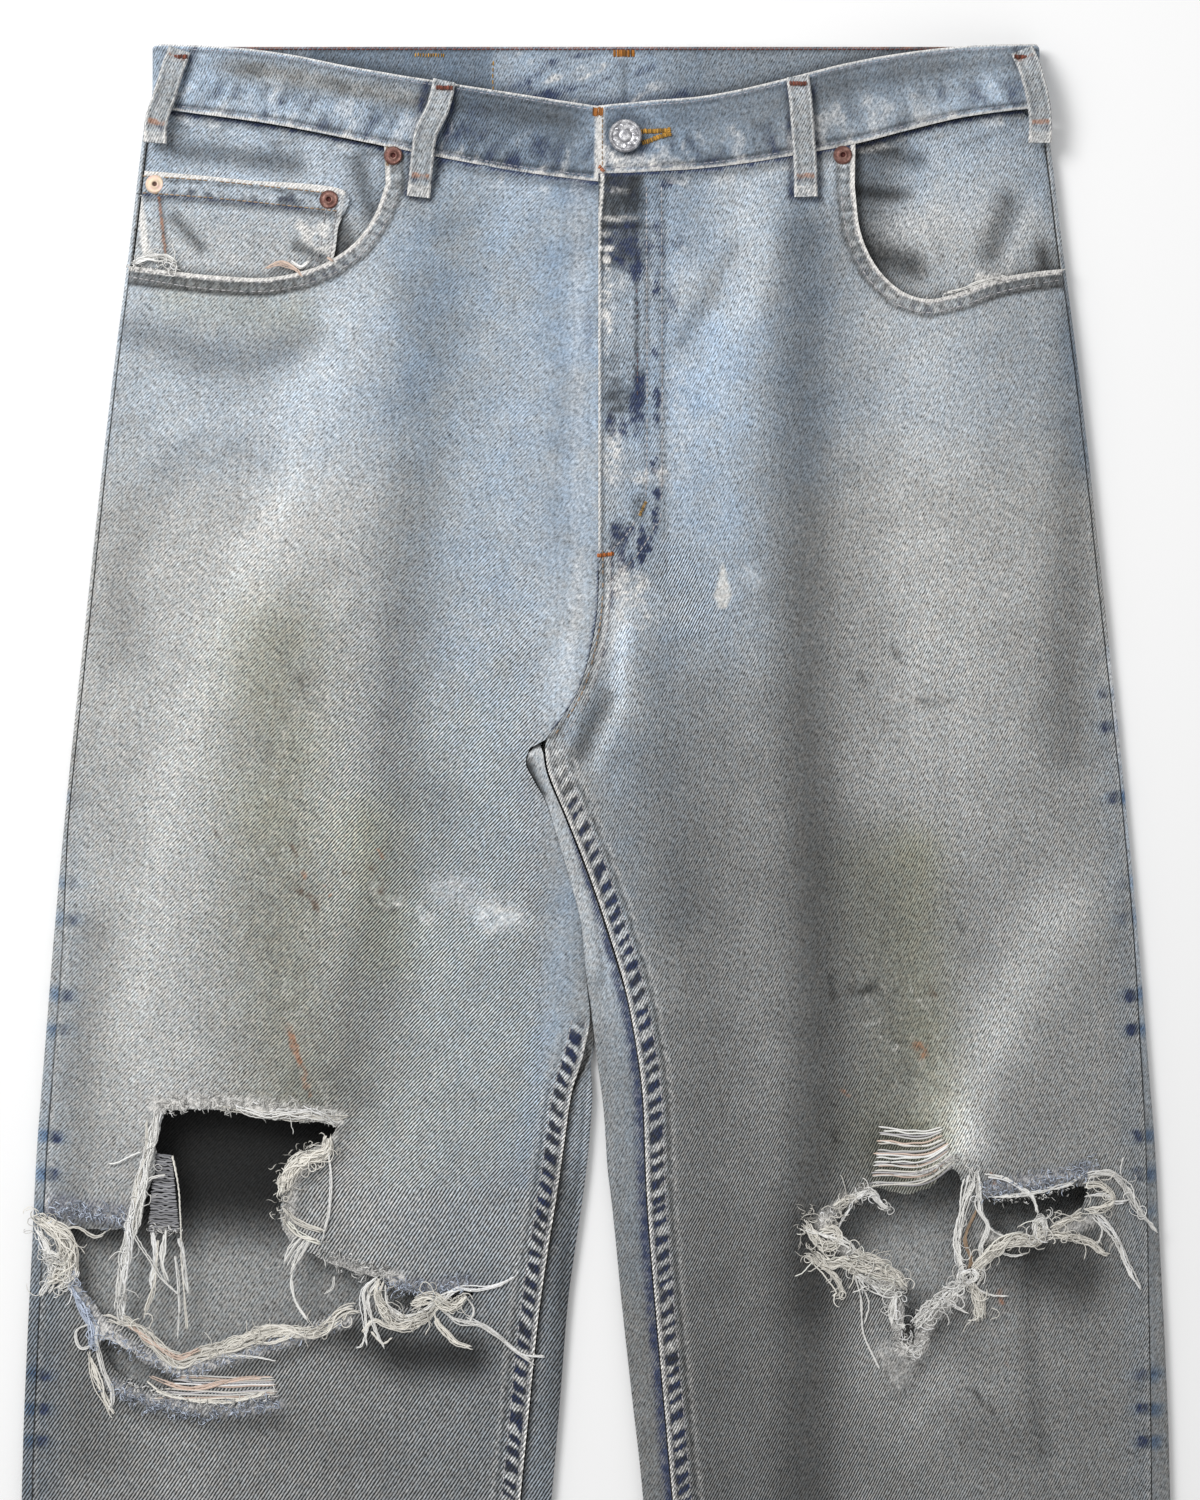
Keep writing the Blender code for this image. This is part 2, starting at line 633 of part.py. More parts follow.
def make_waistband():
    """One strip from its button end, round the back, to the buttonhole end that laps over it."""
    half = BAND / 2
    stations = []  # across, top edge, lower edge, middle height, way of the outer face (x, z)
    for x in (26, 12, -4, -25, -50, -75, -100, -125, -150, -175, -195, -208):
        z = band_height("right", x) + half
        stations.append((x, band_top["right"](x), band_foot["right"](x), z, 0, 1))
    back_z = back_lift(10) + half
    front_z = band_height("right", -210) + half
    turn = (front_z - back_z) / 2
    for side, order in ((-1, (75, 45, 15, -15, -45, -75)), (1, (-75, -45, -15, 15, 45, 75))):
        if side == 1:
            stations += [
                (x, 0, BAND_HEIGHT, back_z, 0, -1)
                for x in (-205, -170, -130, -90, -45, 0, 45, 90, 130, 170, 205)
            ]
        for degrees in order:
            angle = degrees * pi / 180
            foot = 31.5 + (BAND_HEIGHT - 31.5) * (0.5 - degrees / 180)
            stations.append((
                side * (216 + turn * 0.9 * cos(angle)), 0, foot,
                (front_z + back_z) / 2 + turn * sin(angle), side * cos(angle), sin(angle),
            ))
    for x in (208, 195, 175, 150, 125, 100, 75, 50, 32, 18, 8, 1.2):
        z = band_height("left", x) + half + (BAND + 0.5) * (1 - step(28, 52, x))
        stations.append((x, band_top["left"](x), band_foot["left"](x), z, 0, 1))
    points = []
    for across, top, foot, height, out_x, out_z in stations:
        for way, down in ((1, top), (1, foot), (-1, foot), (-1, top)):
            shift = way * half
            points.append(place(across + out_x * shift, down, height + out_z * shift))
    faces = [(0, 1, 2, 3)]
    for k in range(len(stations) - 1):
        a, b = 4 * k, 4 * k + 4
        faces += [(a + i, a + (i + 1) % 4, b + (i + 1) % 4, b + i) for i in range(4)]
    faces.append(tuple(4 * (len(stations) - 1) + i for i in (3, 2, 1, 0)))
    add_object("waistband", points, faces, "denim")


def strip_along(name, centres, width, thick, material):
    """A flat strip along centres of (across, down, underside height), level across its width."""
    points = []
    count = len(centres)
    for k, (across, down, low) in enumerate(centres):
        before, after = centres[max(k - 1, 0)], centres[min(k + 1, count - 1)]
        dx, dd = after[0] - before[0], after[1] - before[1]
        size = hypot(dx, dd)
        wide = (-dd / size * width / 2, dx / size * width / 2)
        for way, height in ((1, low), (1, low + thick), (-1, low + thick), (-1, low)):
            points.append(place(across + way * wide[0], down + way * wide[1], height))
    faces = [(0, 1, 2, 3)]
    for k in range(count - 1):
        a, b = 4 * k, 4 * k + 4
        faces += [(a + i, a + (i + 1) % 4, b + (i + 1) % 4, b + i) for i in range(4)]
    faces.append(tuple(4 * (count - 1) + i for i in (3, 2, 1, 0)))
    return add_object(name, points, faces, material)


# belt loops of the front: leg, name, path from the waist edge down, stand-off at the middle
LOOPS = (
    ("right", "front_right", ((-75, 19.5), (-78, 33), (-84, 46), (-86, 60), (-88, 77)), 3.4),
    ("left", "front_left", ((100, 17.5), (101.5, 33), (102.5, 47), (103.5, 61), (104, 77)), 3.2),
    ("right", "side_right", ((-206.5, 3.5), (-210, 14), (-214, 27), (-218, 39), (-219, 49.5)), 2.6),
    ("left", "side_left", ((211.5, 3.5), (215.5, 14), (219, 27), (220.5, 39), (220.5, 49.5)), 2.6),
)


def loop_ground(leg, across, down):
    """Top of what lies under a belt loop: the waistband, or the cloth below its lower edge."""
    inside_band = band_foot[leg](across) + 1.0 > down
    low = top_layer(leg, across, down)
    if inside_band:
        return max(low, band_height(leg, across)) + BAND
    return low + front_thickness(leg)(across, down)


def make_loops():
    for leg, name, path, stand in LOOPS:
        centres = []
        rows = 9
        for k in range(rows):
            share = k / (rows - 1)
            i = min(int(share * (len(path) - 1)), len(path) - 2)
            t = share * (len(path) - 1) - i
            across, down = (a + (b - a) * t for a, b in zip(path[i], path[i + 1]))
            arch = stand * min(1.0, 4 * sin(pi * share) ** 2)
            half_loop = LOOP_WIDTH / 2
            ground = max(
                loop_ground(leg, across + dx, down + dd)
                for dx in (-half_loop, 0, half_loop) for dd in (-4, 0, 4)
            )
            centres.append((across, down, ground + SEAM_GAP + 0.2 + arch))
        strip_along(f"belt_loop_{name}", centres, LOOP_WIDTH, LOOP_CLOTH, "denim")
    back = [(0, down, 0.0) for down in (1, 12, 24, 36, 48)]
    strip_along("belt_loop_back", back, LOOP_WIDTH, 1.7, "denim")


def turned(name, centre, profile, material, sides=20):
    """A turned piece from (radius, height) places, from the middle of its top round to its foot."""
    points, faces = [], []
    rings = [p for p in profile if p[0] > 0]
    for radius, height in rings:
        for k in range(sides):
            angle = 2 * pi * k / sides
            points.append(centre + Vector((radius * cos(angle), radius * sin(angle), height)) * MM)
    for j in range(len(rings) - 1):
        for k in range(sides):
            a, b = j * sides + k, j * sides + (k + 1) % sides
            faces.append((a, a + sides, b + sides, b))
    faces.append(tuple(range(sides)))
    faces.append(tuple(reversed(range((len(rings) - 1) * sides, len(rings) * sides))))
    return add_object(name, points, faces, material)


BUTTON_AT = (13.5, 47.5)
RIVETS = (
    ("pocket_right", "right", (-100.5, 56.5), 0.0),
    ("pocket_left", "left", (122.3, 56.2), 0.0),
    ("coin_outer", "coin", (-219.5, 69.5), 0.0),
    ("coin_inner", "coin", (-132.5, 78.0), 0.0),
)


def make_hardware():
    radius = BUTTON_D / 2
    across, down = BUTTON_AT
    low = band_height("left", across) + (BAND + 0.5) + BAND + SEAM_GAP
    profile = (
        (2.3, 3.3), (3.1, 3.05), (3.5, 2.75), (radius - 2.1, 2.9), (radius - 0.9, 3.35),
        (radius, 2.9), (radius, 2.1), (radius - 1.2, 1.7), (3.4, 1.5), (3.4, 0.0),
    )
    turned("waist_button", place(across, down, low), profile, "steel", sides=28)
    radius = RIVET_D / 2
    profile = ((1.1, 1.9), (1.5, 1.2), (radius - 1.2, 1.15), (radius - 0.4, 1.0), (radius, 0.4),
               (radius, 0.0))
    for name, where, (across, down), _ in RIVETS:
        spots = [(across + dx, down + dd) for dx in (-4, 0, 4) for dd in (-4, 0, 4)]
        if where == "coin":
            low = max(coin_under(x, d) for x, d in spots) + CLOTH
        elif where == "left":
            low = max(left_front_under(x, d) + front_thickness("left")(x, d) for x, d in spots)
        else:
            low = max(top_layer("right", x, d) + front_thickness("right")(x, d) for x, d in spots)
        turned(f"rivet_{name}", place(across, down, low + SEAM_GAP), profile, "copper", sides=16)


# the reach of the frayed threads left across a tear: leg, name, path of (across, down), width
FRINGES = (
    ("right", "knee_right", ((-217, 538), (-222, 560), (-228, 583), (-233, 608), (-238, 642)), 9),
    ("left", "knee_left", ((186, 556), (184, 572), (182.5, 590), (185, 612), (187, 630)), 9),
)


def make_fringes():
    """Plain solids that lie across the tears, on the cloth at both ends."""
    for leg, name, path, width in FRINGES:
        centres = [
            (x, d, max(top_layer(leg, x + dx, d) for dx in (-width / 2, 0, width / 2))
             + CLOTH + FACET_GAP)
            for x, d in path
        ]
        strip_along(f"fringe_{name}", centres, width, CLOTH, "threads")


def main():
    clear_scene()
    for leg in ("right", "left"):
        make_back(leg)
        make_back_pocket(leg)
        make_facing(leg)
    make_front_right()
    make_front_left()
    make_coin_pocket()
    make_waistband()
    make_loops()
    make_hardware()
    make_fringes()


main()
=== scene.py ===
"""Ripped jeans laid flat: the cloth, seams, tears, threads and trims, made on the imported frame."""

from math import cos, pi, radians, sin

import bpy
import numpy as np
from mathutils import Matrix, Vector
from mathutils.geometry import delaunay_2d_cdt
from mathutils.kdtree import KDTree

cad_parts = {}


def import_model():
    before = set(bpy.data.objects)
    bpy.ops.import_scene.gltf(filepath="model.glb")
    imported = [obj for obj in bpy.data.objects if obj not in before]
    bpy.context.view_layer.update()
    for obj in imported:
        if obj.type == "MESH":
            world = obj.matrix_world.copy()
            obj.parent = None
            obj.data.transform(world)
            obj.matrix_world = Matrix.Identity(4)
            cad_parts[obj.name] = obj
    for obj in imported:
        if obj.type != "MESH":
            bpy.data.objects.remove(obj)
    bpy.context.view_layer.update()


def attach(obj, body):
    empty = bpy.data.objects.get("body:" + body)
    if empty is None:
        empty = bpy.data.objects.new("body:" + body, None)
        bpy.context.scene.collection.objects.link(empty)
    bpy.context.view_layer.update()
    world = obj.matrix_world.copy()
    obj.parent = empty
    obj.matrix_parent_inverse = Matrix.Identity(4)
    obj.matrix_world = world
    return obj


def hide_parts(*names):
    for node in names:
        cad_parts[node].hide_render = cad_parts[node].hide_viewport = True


bl_info = {
    "name": "Ripped jeans",
    "version": (1, 0, 0),
    "blender": (4, 5, 0),
    "location": "View3D > Sidebar > Jeans",
    "description": "Makes a pair of ripped jeans, laid flat, on its packed frame",
    "category": "Object",
}

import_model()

MM = 0.001
LENGTH = 1075.0
TOP_Y = LENGTH / 2  # world Y of the waist edge, in millimetres
CLOTH = 1.2
BAND = 2.4
SEAM_GAP = 0.3
ROUND_OUT, ROUND_IN = 55.0, 50.0
BAND_HEIGHT = 38.0
HEM_EDGE = LENGTH - 13.0  # down, where the doubled cloth of the hem starts
SIDE = {"right": -1, "left": 1}
PARTING, CROTCH = 505.0, 348.0
IN_VIEW = 745.0  # down, the last place that gets the finest mesh

# ---- the sizes of the solids: places are (across, down), in millimetres ----

HALF_WIDTH = (
    (0, 219.5), (50, 226), (100, 232), (150, 238.5), (200, 244.5), (250, 250), (300, 255.5),
    (350, 261), (400, 266), (450, 270.5), (500, 274.5), (550, 278.5), (600, 281), (650, 283.5),
    (700, 285.5), (760, 286.5), (850, 286), (950, 282), (1075, 275),
)
OUTER_RETURN = (
    (0, 1.5, 1.5), (380, 1.5, 1.5), (450, 4.5, 1.8), (540, 4.8, 4), (640, 5, 7), (730, 5, 9),
    (1075, 5, 9),
)
LEFT_INNER = (
    (0, 0), (250, 0), (296, -2), (321, -9), (338, -20), (349, -31), (357, -34), (366, -30),
    (376, -24.5), (395, -18.5), (415, -12.5), (436, -7), (460, -4.5), (483, -2), (507, 1), (531, 4),
    (560, 6), (576, 8), (600, 10.5), (626, 13), (676, 18.5), (716, 23), (800, 30), (900, 37),
    (1000, 43), (1075, 47),
)
RIGHT_INNER = (
    (505, 0), (518, -1.8), (536, -3.2), (553, -4.6), (570, -6.6), (600, -11), (626, -14.5),
    (676, -18.6), (716, -22), (800, -29.5), (900, -37), (1000, -43), (1075, -47),
)
LEFT_INSEAM = (
    (348, -25.5), (362, -23.5), (385.5, -14), (412.5, -3.5), (440.5, 6), (471, 15), (503.5, 21),
    (525, 23.5), (551, 24.5), (575, 25.5), (626, 29.5), (676, 34), (726, 38.5), (800, 46),
    (900, 53), (1000, 58), (1075, 61),
)
RIGHT_INSEAM = (
    (487, -2.9), (505, -7), (521, -12), (545, -15.6), (574, -19.8), (600, -24), (636, -29),
    (691, -34.5), (726, -38), (800, -45.5), (900, -53), (1000, -58), (1075, -61),
)
FRONT_SEAM = ((250, 1.2), (276, 1.0), (296, -1.5), (321, -8.5), (336, -17.5), (347, -26))
FOLD_HEIGHT = ((0, 7.6), (150, 7.4), (260, 6), (350, 4.6), (1075, 4.2))
CROWN = (
    (0, 7, 7), (70, 9, 9), (130, 11.5, 11.5), (250, 13.5, 13.5), (400, 13.5, 13), (480, 14, 13),
    (540, 15, 13), (585, 14, 12), (620, 9.5, 8.5), (650, 7, 7), (720, 8, 8), (850, 9.5, 9.5),
    (1000, 8, 8), (1075, 6, 6),
)
BACK_LIFT = ((0, 2.1), (60, 1.9), (110, 1.6), (320, 1.6), (385, 0), (1075, 0))
BAND_RIGHT = (
    (-219, 0, 31.5), (-198, 1, 35), (-158, 5, 41), (-122, 12, 48), (-80, 19, 56.5), (-39, 25.5, 64),
    (0, 31.5, 69), (28, 34.5, 71.5),
)
BAND_LEFT = (
    (0, 32, 65.5), (20, 30, 65), (51, 27, 62.8), (71, 23.5, 60.5), (96, 17.5, 56.5),
    (128, 9.5, 50.5), (154, 5, 43.8), (180, 2, 37.5), (206, 0.3, 33.2), (219, 0, 31.5),
)
FOLDS = {"right": (
    (((-126, 140), (-148, 215), (-178, 295), (-206, 365), (-218, 450)), 15, 2.6),
    (((-80, 80), (-90, 230), (-93, 360), (-113, 450), (-123, 520)), 16, -3.2),
    (((-225, 150), (-160, 160)), 14, -2.4), (((-200, 215), (-238, 260), (-246, 330)), 13, -2),
    (((-30, 650), (-60, 760), (-70, 900)), 20, -2),
    (((-200, 700), (-190, 850), (-175, 980)), 20, 2),
), "left": (
    (((106, 90), (102, 230), (105, 330), (115, 430), (117, 500), (110, 560)), 15, -3.6),
    (((95, 90), (52, 175)), 13, 1.8), (((27, 290), (30, 400)), 13, -2.4),
    (((222, 430), (200, 490), (182, 540)), 16, 3), (((232, 250), (232, 340)), 12, -1.8),
    (((96, 600), (102, 720), (110, 860)), 17, -2.6), (((210, 640), (205, 760), (190, 900)), 18, 2),
)}
POCKET_RIGHT = (
    (-233.5, 110), (-213, 113.2), (-188, 116.2), (-163.5, 117.2), (-145, 113.9), (-132, 108.8),
    (-118.6, 98.8), (-109.5, 85.5), (-104.2, 70.5), (-105, 53),
)
POCKET_LEFT = (
    (234, 111.5), (216, 114), (197, 118), (180, 124.5), (164.5, 127.8), (150.8, 123.5),
    (138.7, 111.5), (131, 94.3), (128.2, 72), (128.7, 52.5),
)
POCKETS = {"right": POCKET_RIGHT, "left": POCKET_LEFT}
FLY_EDGE, FLY_FOOT, UNDERLAP, J_ACROSS = 1.2, 252.0, 17.0, 33.0
YOKE_AT_SIDE, YOKE_AT_CENTRE = 74.0, 104.0
FACING_DROP = 4.3
BUTTON = (14.5, 47.4)
BAND_ACROSS = 35.0  # middling width of the waistband on the front
LOOPS = (
    ("right", "front_right", ((-75, 19.5), (-78, 33), (-84, 46), (-86, 60), (-88, 77)), 3.4),
    ("left", "front_left", ((100, 17.5), (101.5, 33), (102.5, 47), (103.5, 61), (104, 77)), 3.2),
    ("right", "side_right", ((-206.5, 3.5), (-210, 14), (-214, 27), (-218, 39), (-219, 49.5)), 2.6),
    ("left", "side_left", ((211.5, 3.5), (215.5, 14), (219, 27), (220.5, 39), (220.5, 49.5)), 2.6),
)


# ---- curves, noise and distances, all on whole arrays ----


def through(rows, column=1):
    """A smooth curve through one column of a table, as a function of the first column."""
    xs = np.array([row[0] for row in rows], float)
    ys = np.array([row[column] for row in rows], float)
    slopes = np.zeros(len(xs))
    for i in range(len(xs)):
        a, b = max(i - 1, 0), min(i + 1, len(xs) - 1)
        if not (a < i < b and (ys[i] - ys[a]) * (ys[b] - ys[i]) <= 0):
            slopes[i] = (ys[b] - ys[a]) / (xs[b] - xs[a])

    def value(x):
        x = np.clip(np.asarray(x, float), xs[0], xs[-1])
        i = np.clip(np.searchsorted(xs, x, side="right") - 1, 0, len(xs) - 2)
        span = xs[i + 1] - xs[i]
        t = (x - xs[i]) / span
        bend = t * (1 - t) * ((1 - t) * slopes[i] - t * slopes[i + 1]) * span
        return ys[i] + (ys[i + 1] - ys[i]) * t * t * (3 - 2 * t) + bend

    return value


half_width = through(HALF_WIDTH)
fold_height = through(FOLD_HEIGHT)
back_lift = through(BACK_LIFT)
left_inner = through(LEFT_INNER)
right_split = through(RIGHT_INNER)
outer_return = {"right": through(OUTER_RETURN, 1), "left": through(OUTER_RETURN, 2)}
crown = {"right": through(CROWN, 1), "left": through(CROWN, 2)}
inseam = {"right": through(RIGHT_INSEAM), "left": through(LEFT_INSEAM)}
front_seam = through(FRONT_SEAM)
band_top = {"right": through(BAND_RIGHT, 1), "left": through(BAND_LEFT, 1)}
band_foot = {"right": through(BAND_RIGHT, 2), "left": through(BAND_LEFT, 2)}


def step(low, high, value):
    """0 at low, 1 at high, and smooth between; low may be above high."""
    t = np.clip((np.asarray(value, float) - low) / (high - low), 0, 1)
    return t * t * (3 - 2 * t)


def bell(value, reach):
    return np.exp(-((np.asarray(value, float) / reach) ** 2))


def unit(vectors):
    """The rows of an array, each made one long."""
    return vectors / np.maximum(np.linalg.norm(vectors, axis=-1, keepdims=True), 1e-9)


def level(value):
    """A function of the place that has the same value everywhere."""
    return lambda x, d: np.full(np.shape(x), value)


def noise(x, y, size, seed, octaves=1):
    """Smooth noise from -1 to 1, with blobs of about that size in millimetres."""
    total, weight, most = 0.0, 1.0, 0.0
    for octave in range(octaves):
        grid = np.random.default_rng(seed + 101 * octave).uniform(-1, 1, (128, 128))
        u, v = np.asarray(x, float) / size + 31.7, np.asarray(y, float) / size + 17.3
        i, j = np.floor(u).astype(int), np.floor(v).astype(int)
        s, t = u - i, v - j
        s, t = s * s * (3 - 2 * s), t * t * (3 - 2 * t)
        i0, i1, j0, j1 = i % 128, (i + 1) % 128, j % 128, (j + 1) % 128
        low = grid[i0, j0] * (1 - s) + grid[i1, j0] * s
        high = grid[i0, j1] * (1 - s) + grid[i1, j1] * s
        total += weight * (low * (1 - t) + high * t)
        most, weight, size = most + weight, weight * 0.55, size * 0.5
    return total / most


def near(path, x, d, reach=75.0):
    """(distance to a path, length along it, side of it: positive to the left going along).

    Places further off than reach get 999, 0 and 0.
    """
    x, d = np.broadcast_arrays(np.asarray(x, float), np.asarray(d, float))
    away, along, side = np.full(x.shape, 999.0), np.zeros(x.shape), np.zeros(x.shape)
    ends = np.asarray(path, float)
    (x0, d0), (x1, d1) = ends.min(axis=0) - reach, ends.max(axis=0) + reach
    some = (x > x0) & (x < x1) & (d > d0) & (d < d1)
    if not some.any():
        return away, along, side
    xs, ds = x[some], d[some]
    best = np.full(xs.shape, 999.0)
    at, way = np.zeros(xs.shape), np.zeros(xs.shape)
    start = 0.0
    for (xa, da), (xb, db) in zip(ends, ends[1:]):
        dx, dd = xb - xa, db - da
        size = max(np.hypot(dx, dd), 1e-6)
        t = np.clip(((xs - xa) * dx + (ds - da) * dd) / size**2, 0, 1)
        off = np.hypot(xs - xa - t * dx, ds - da - t * dd)
        closer = off < best
        best = np.where(closer, off, best)
        at = np.where(closer, start + t * size, at)
        way = np.where(closer, -np.sign((ds - da) * dx - (xs - xa) * dd), way)
        start += size
    away[some], along[some], side[some] = best, at, way
    return away, along, side


def beside(path, x, d, reach):
    """1 on a path, falling off smoothly to both sides of it."""
    return bell(near(path, x, d)[0], reach)


def smooth_path(points, pitch, closed=False):
    """A curve through places, as an array of places about that far apart."""
    p = np.asarray(points, float)
    n = len(p)
    made = []
    for i in range(n if closed else n - 1):
        if closed:
            a, b, c, e = p[i - 1], p[i], p[(i + 1) % n], p[(i + 2) % n]
        else:
            b, c = p[i], p[i + 1]
            a, e = (p[i - 1] if i else 2 * b - c), (p[i + 2] if i + 2 < n else 2 * c - b)
        count = max(2, int(np.ceil(np.linalg.norm(c - b) / pitch * 2)))
        t = np.arange(count)[:, None] / count
        made.append(0.5 * (2 * b + (c - a) * t + (2 * a - 5 * b + 4 * c - e) * t**2
                           + (3 * b - a - 3 * c + e) * t**3))
    made = np.concatenate(made + ([] if closed else [p[-1:]]))
    if closed:
        made = np.concatenate([made, made[:1]])
    lengths = np.concatenate([[0], np.cumsum(np.linalg.norm(np.diff(made, axis=0), axis=1))])
    count = max(3, int(round(lengths[-1] / pitch)))
    want = np.linspace(0, lengths[-1], count + 1)
    if closed:
        want = want[:-1]
    return np.stack([np.interp(want, lengths, made[:, k]) for k in range(p.shape[1])], axis=1)


def inner_fold(leg, down):
    down = np.asarray(down, float)
    if leg == "left":
        return left_inner(down) + SEAM_GAP
    return np.where(down < PARTING, left_inner(down) - SEAM_GAP, right_split(down))


def rise(share):
    t = np.clip(share, 0, 1)
    return t * (2 - t)


def top_layer(leg, x, d):
    """Height of the underside of the layer that faces up."""
    x, d = np.asarray(x, float), np.asarray(d, float)
    out = (half_width(d) - SIDE[leg] * x) / ROUND_OUT
    inward = SIDE[leg] * (x - inner_fold(leg, d)) / ROUND_IN
    parted = step(CROTCH - 30, CROTCH + 90, d)
    dome = rise(out) * (1 - parted * (1 - rise(inward)))
    folds = 0.0
    for path, reach, height in FOLDS[leg]:
        folds += height * beside(path, x, d, reach)
    return fold_height(d) + dome * (crown[leg](d) + folds)


def crumple(x, d):
    """The small unevenness that all the cloth of the front shares."""
    return (
        0.55 * noise(x, d, 34, 5, 2) + 0.28 * noise(x * 1.3 + d * 0.4, d, 11, 9)
    ) * (1 - 0.5 * step(0, 40, -np.asarray(d, float) + 40))


def seam_line(leg, d):
    return SIDE[leg] * (half_width(d) - outer_return[leg](d) - 2 * SEAM_GAP)


def fly_lift(x, d):
    return 2.3 * step(60, 26, x) * step(FLY_FOOT + 30, FLY_FOOT - 8, d)


def band_height(leg, x):
    return top_layer(leg, x, (band_top[leg](x) + band_foot[leg](x)) / 2)


# ---- tears: the openings of each knee ----

TEARS = {
    "right": (
        (
            (-214, 530.5), (-207, 529.5), (-185, 528.5), (-162, 533), (-136, 536), (-129, 538),
            (-134, 545), (-146, 551.5), (-154, 560), (-156, 576), (-155, 588), (-149, 596),
            (-137, 603), (-124, 608), (-112, 612), (-104, 613), (-97, 619), (-76, 621),
            (-62, 619.5), (-64, 623), (-84, 627), (-100, 627.5), (-113, 629), (-122, 627.5),
            (-134, 632.5), (-152, 637.5), (-170, 643), (-190, 650), (-204, 653), (-218, 648),
            (-230, 641), (-240, 634.5), (-246, 630), (-250, 625), (-257, 616), (-261, 603),
            (-263, 594), (-261, 587), (-250, 589), (-236, 588), (-228, 586), (-223, 575),
            (-218.5, 560), (-217, 545),
        ),
        (
            (-246, 644), (-238, 646), (-230, 650.5), (-223, 657), (-214, 663), (-202, 665.5),
            (-208, 668.5), (-220, 667), (-232, 663.5), (-240, 657),
        ),
    ),
    "left": (
        (
            (127, 574), (137, 568), (153, 570.5), (165, 568), (176, 557.5), (182, 566),
            (181.5, 573), (179, 583), (177.5, 600), (180, 612), (171, 624), (164.5, 629),
            (159, 634), (157.5, 644.5), (151.5, 645.5), (153, 634), (152.3, 622.5), (147, 614),
            (138, 606), (128, 600.5), (120.5, 593.5), (119.5, 588), (122, 580),
        ),
        (
            (192, 576), (196, 572), (216, 572), (235, 567), (243.5, 567.5), (242, 576),
            (239.5, 580), (232.5, 584), (222, 585.5), (216.5, 585.5), (214, 590.5),
            (205.5, 592), (198, 589), (194, 583),
        ),
    ),
}

# ---- the shade of the cloth: tone is lightness (painted shade included), blue is how much of the dye is left ----

# down; tone, blue at the side and blue at the middle of the right leg; the same of the left leg
SHADES = (
    (0, 0.67, 0.8, 0.95, 0.66, 0.7, 0.95), (100, 0.69, 0.5, 1, 0.71, 0.4, 0.9),
    (180, 0.7, 0.55, 1, 0.71, 0.45, 0.95), (205, 0.7, 0.4, 0.95, 0.7, 0.18, 0.8),
    (232, 0.695, 0.06, 0.9, 0.69, 0, 0.7), (260, 0.695, 0, 0.8, 0.675, 0, 0.6),
    (330, 0.68, 0, 0.58, 0.64, 0, 0.28), (420, 0.665, 0, 0.4, 0.585, 0, 0.05),
    (510, 0.65, 0, 0.32, 0.57, 0, 0.05), (600, 0.605, 0.05, 0.28, 0.53, 0, 0.05),
    (650, 0.52, 0.05, 0.28, 0.515, 0, 0.06), (730, 0.51, 0.08, 0.34, 0.495, 0.05, 0.15),
    (850, 0.52, 0.3, 0.4, 0.52, 0.3, 0.3), (1075, 0.56, 0.5, 0.5, 0.56, 0.5, 0.5),
)
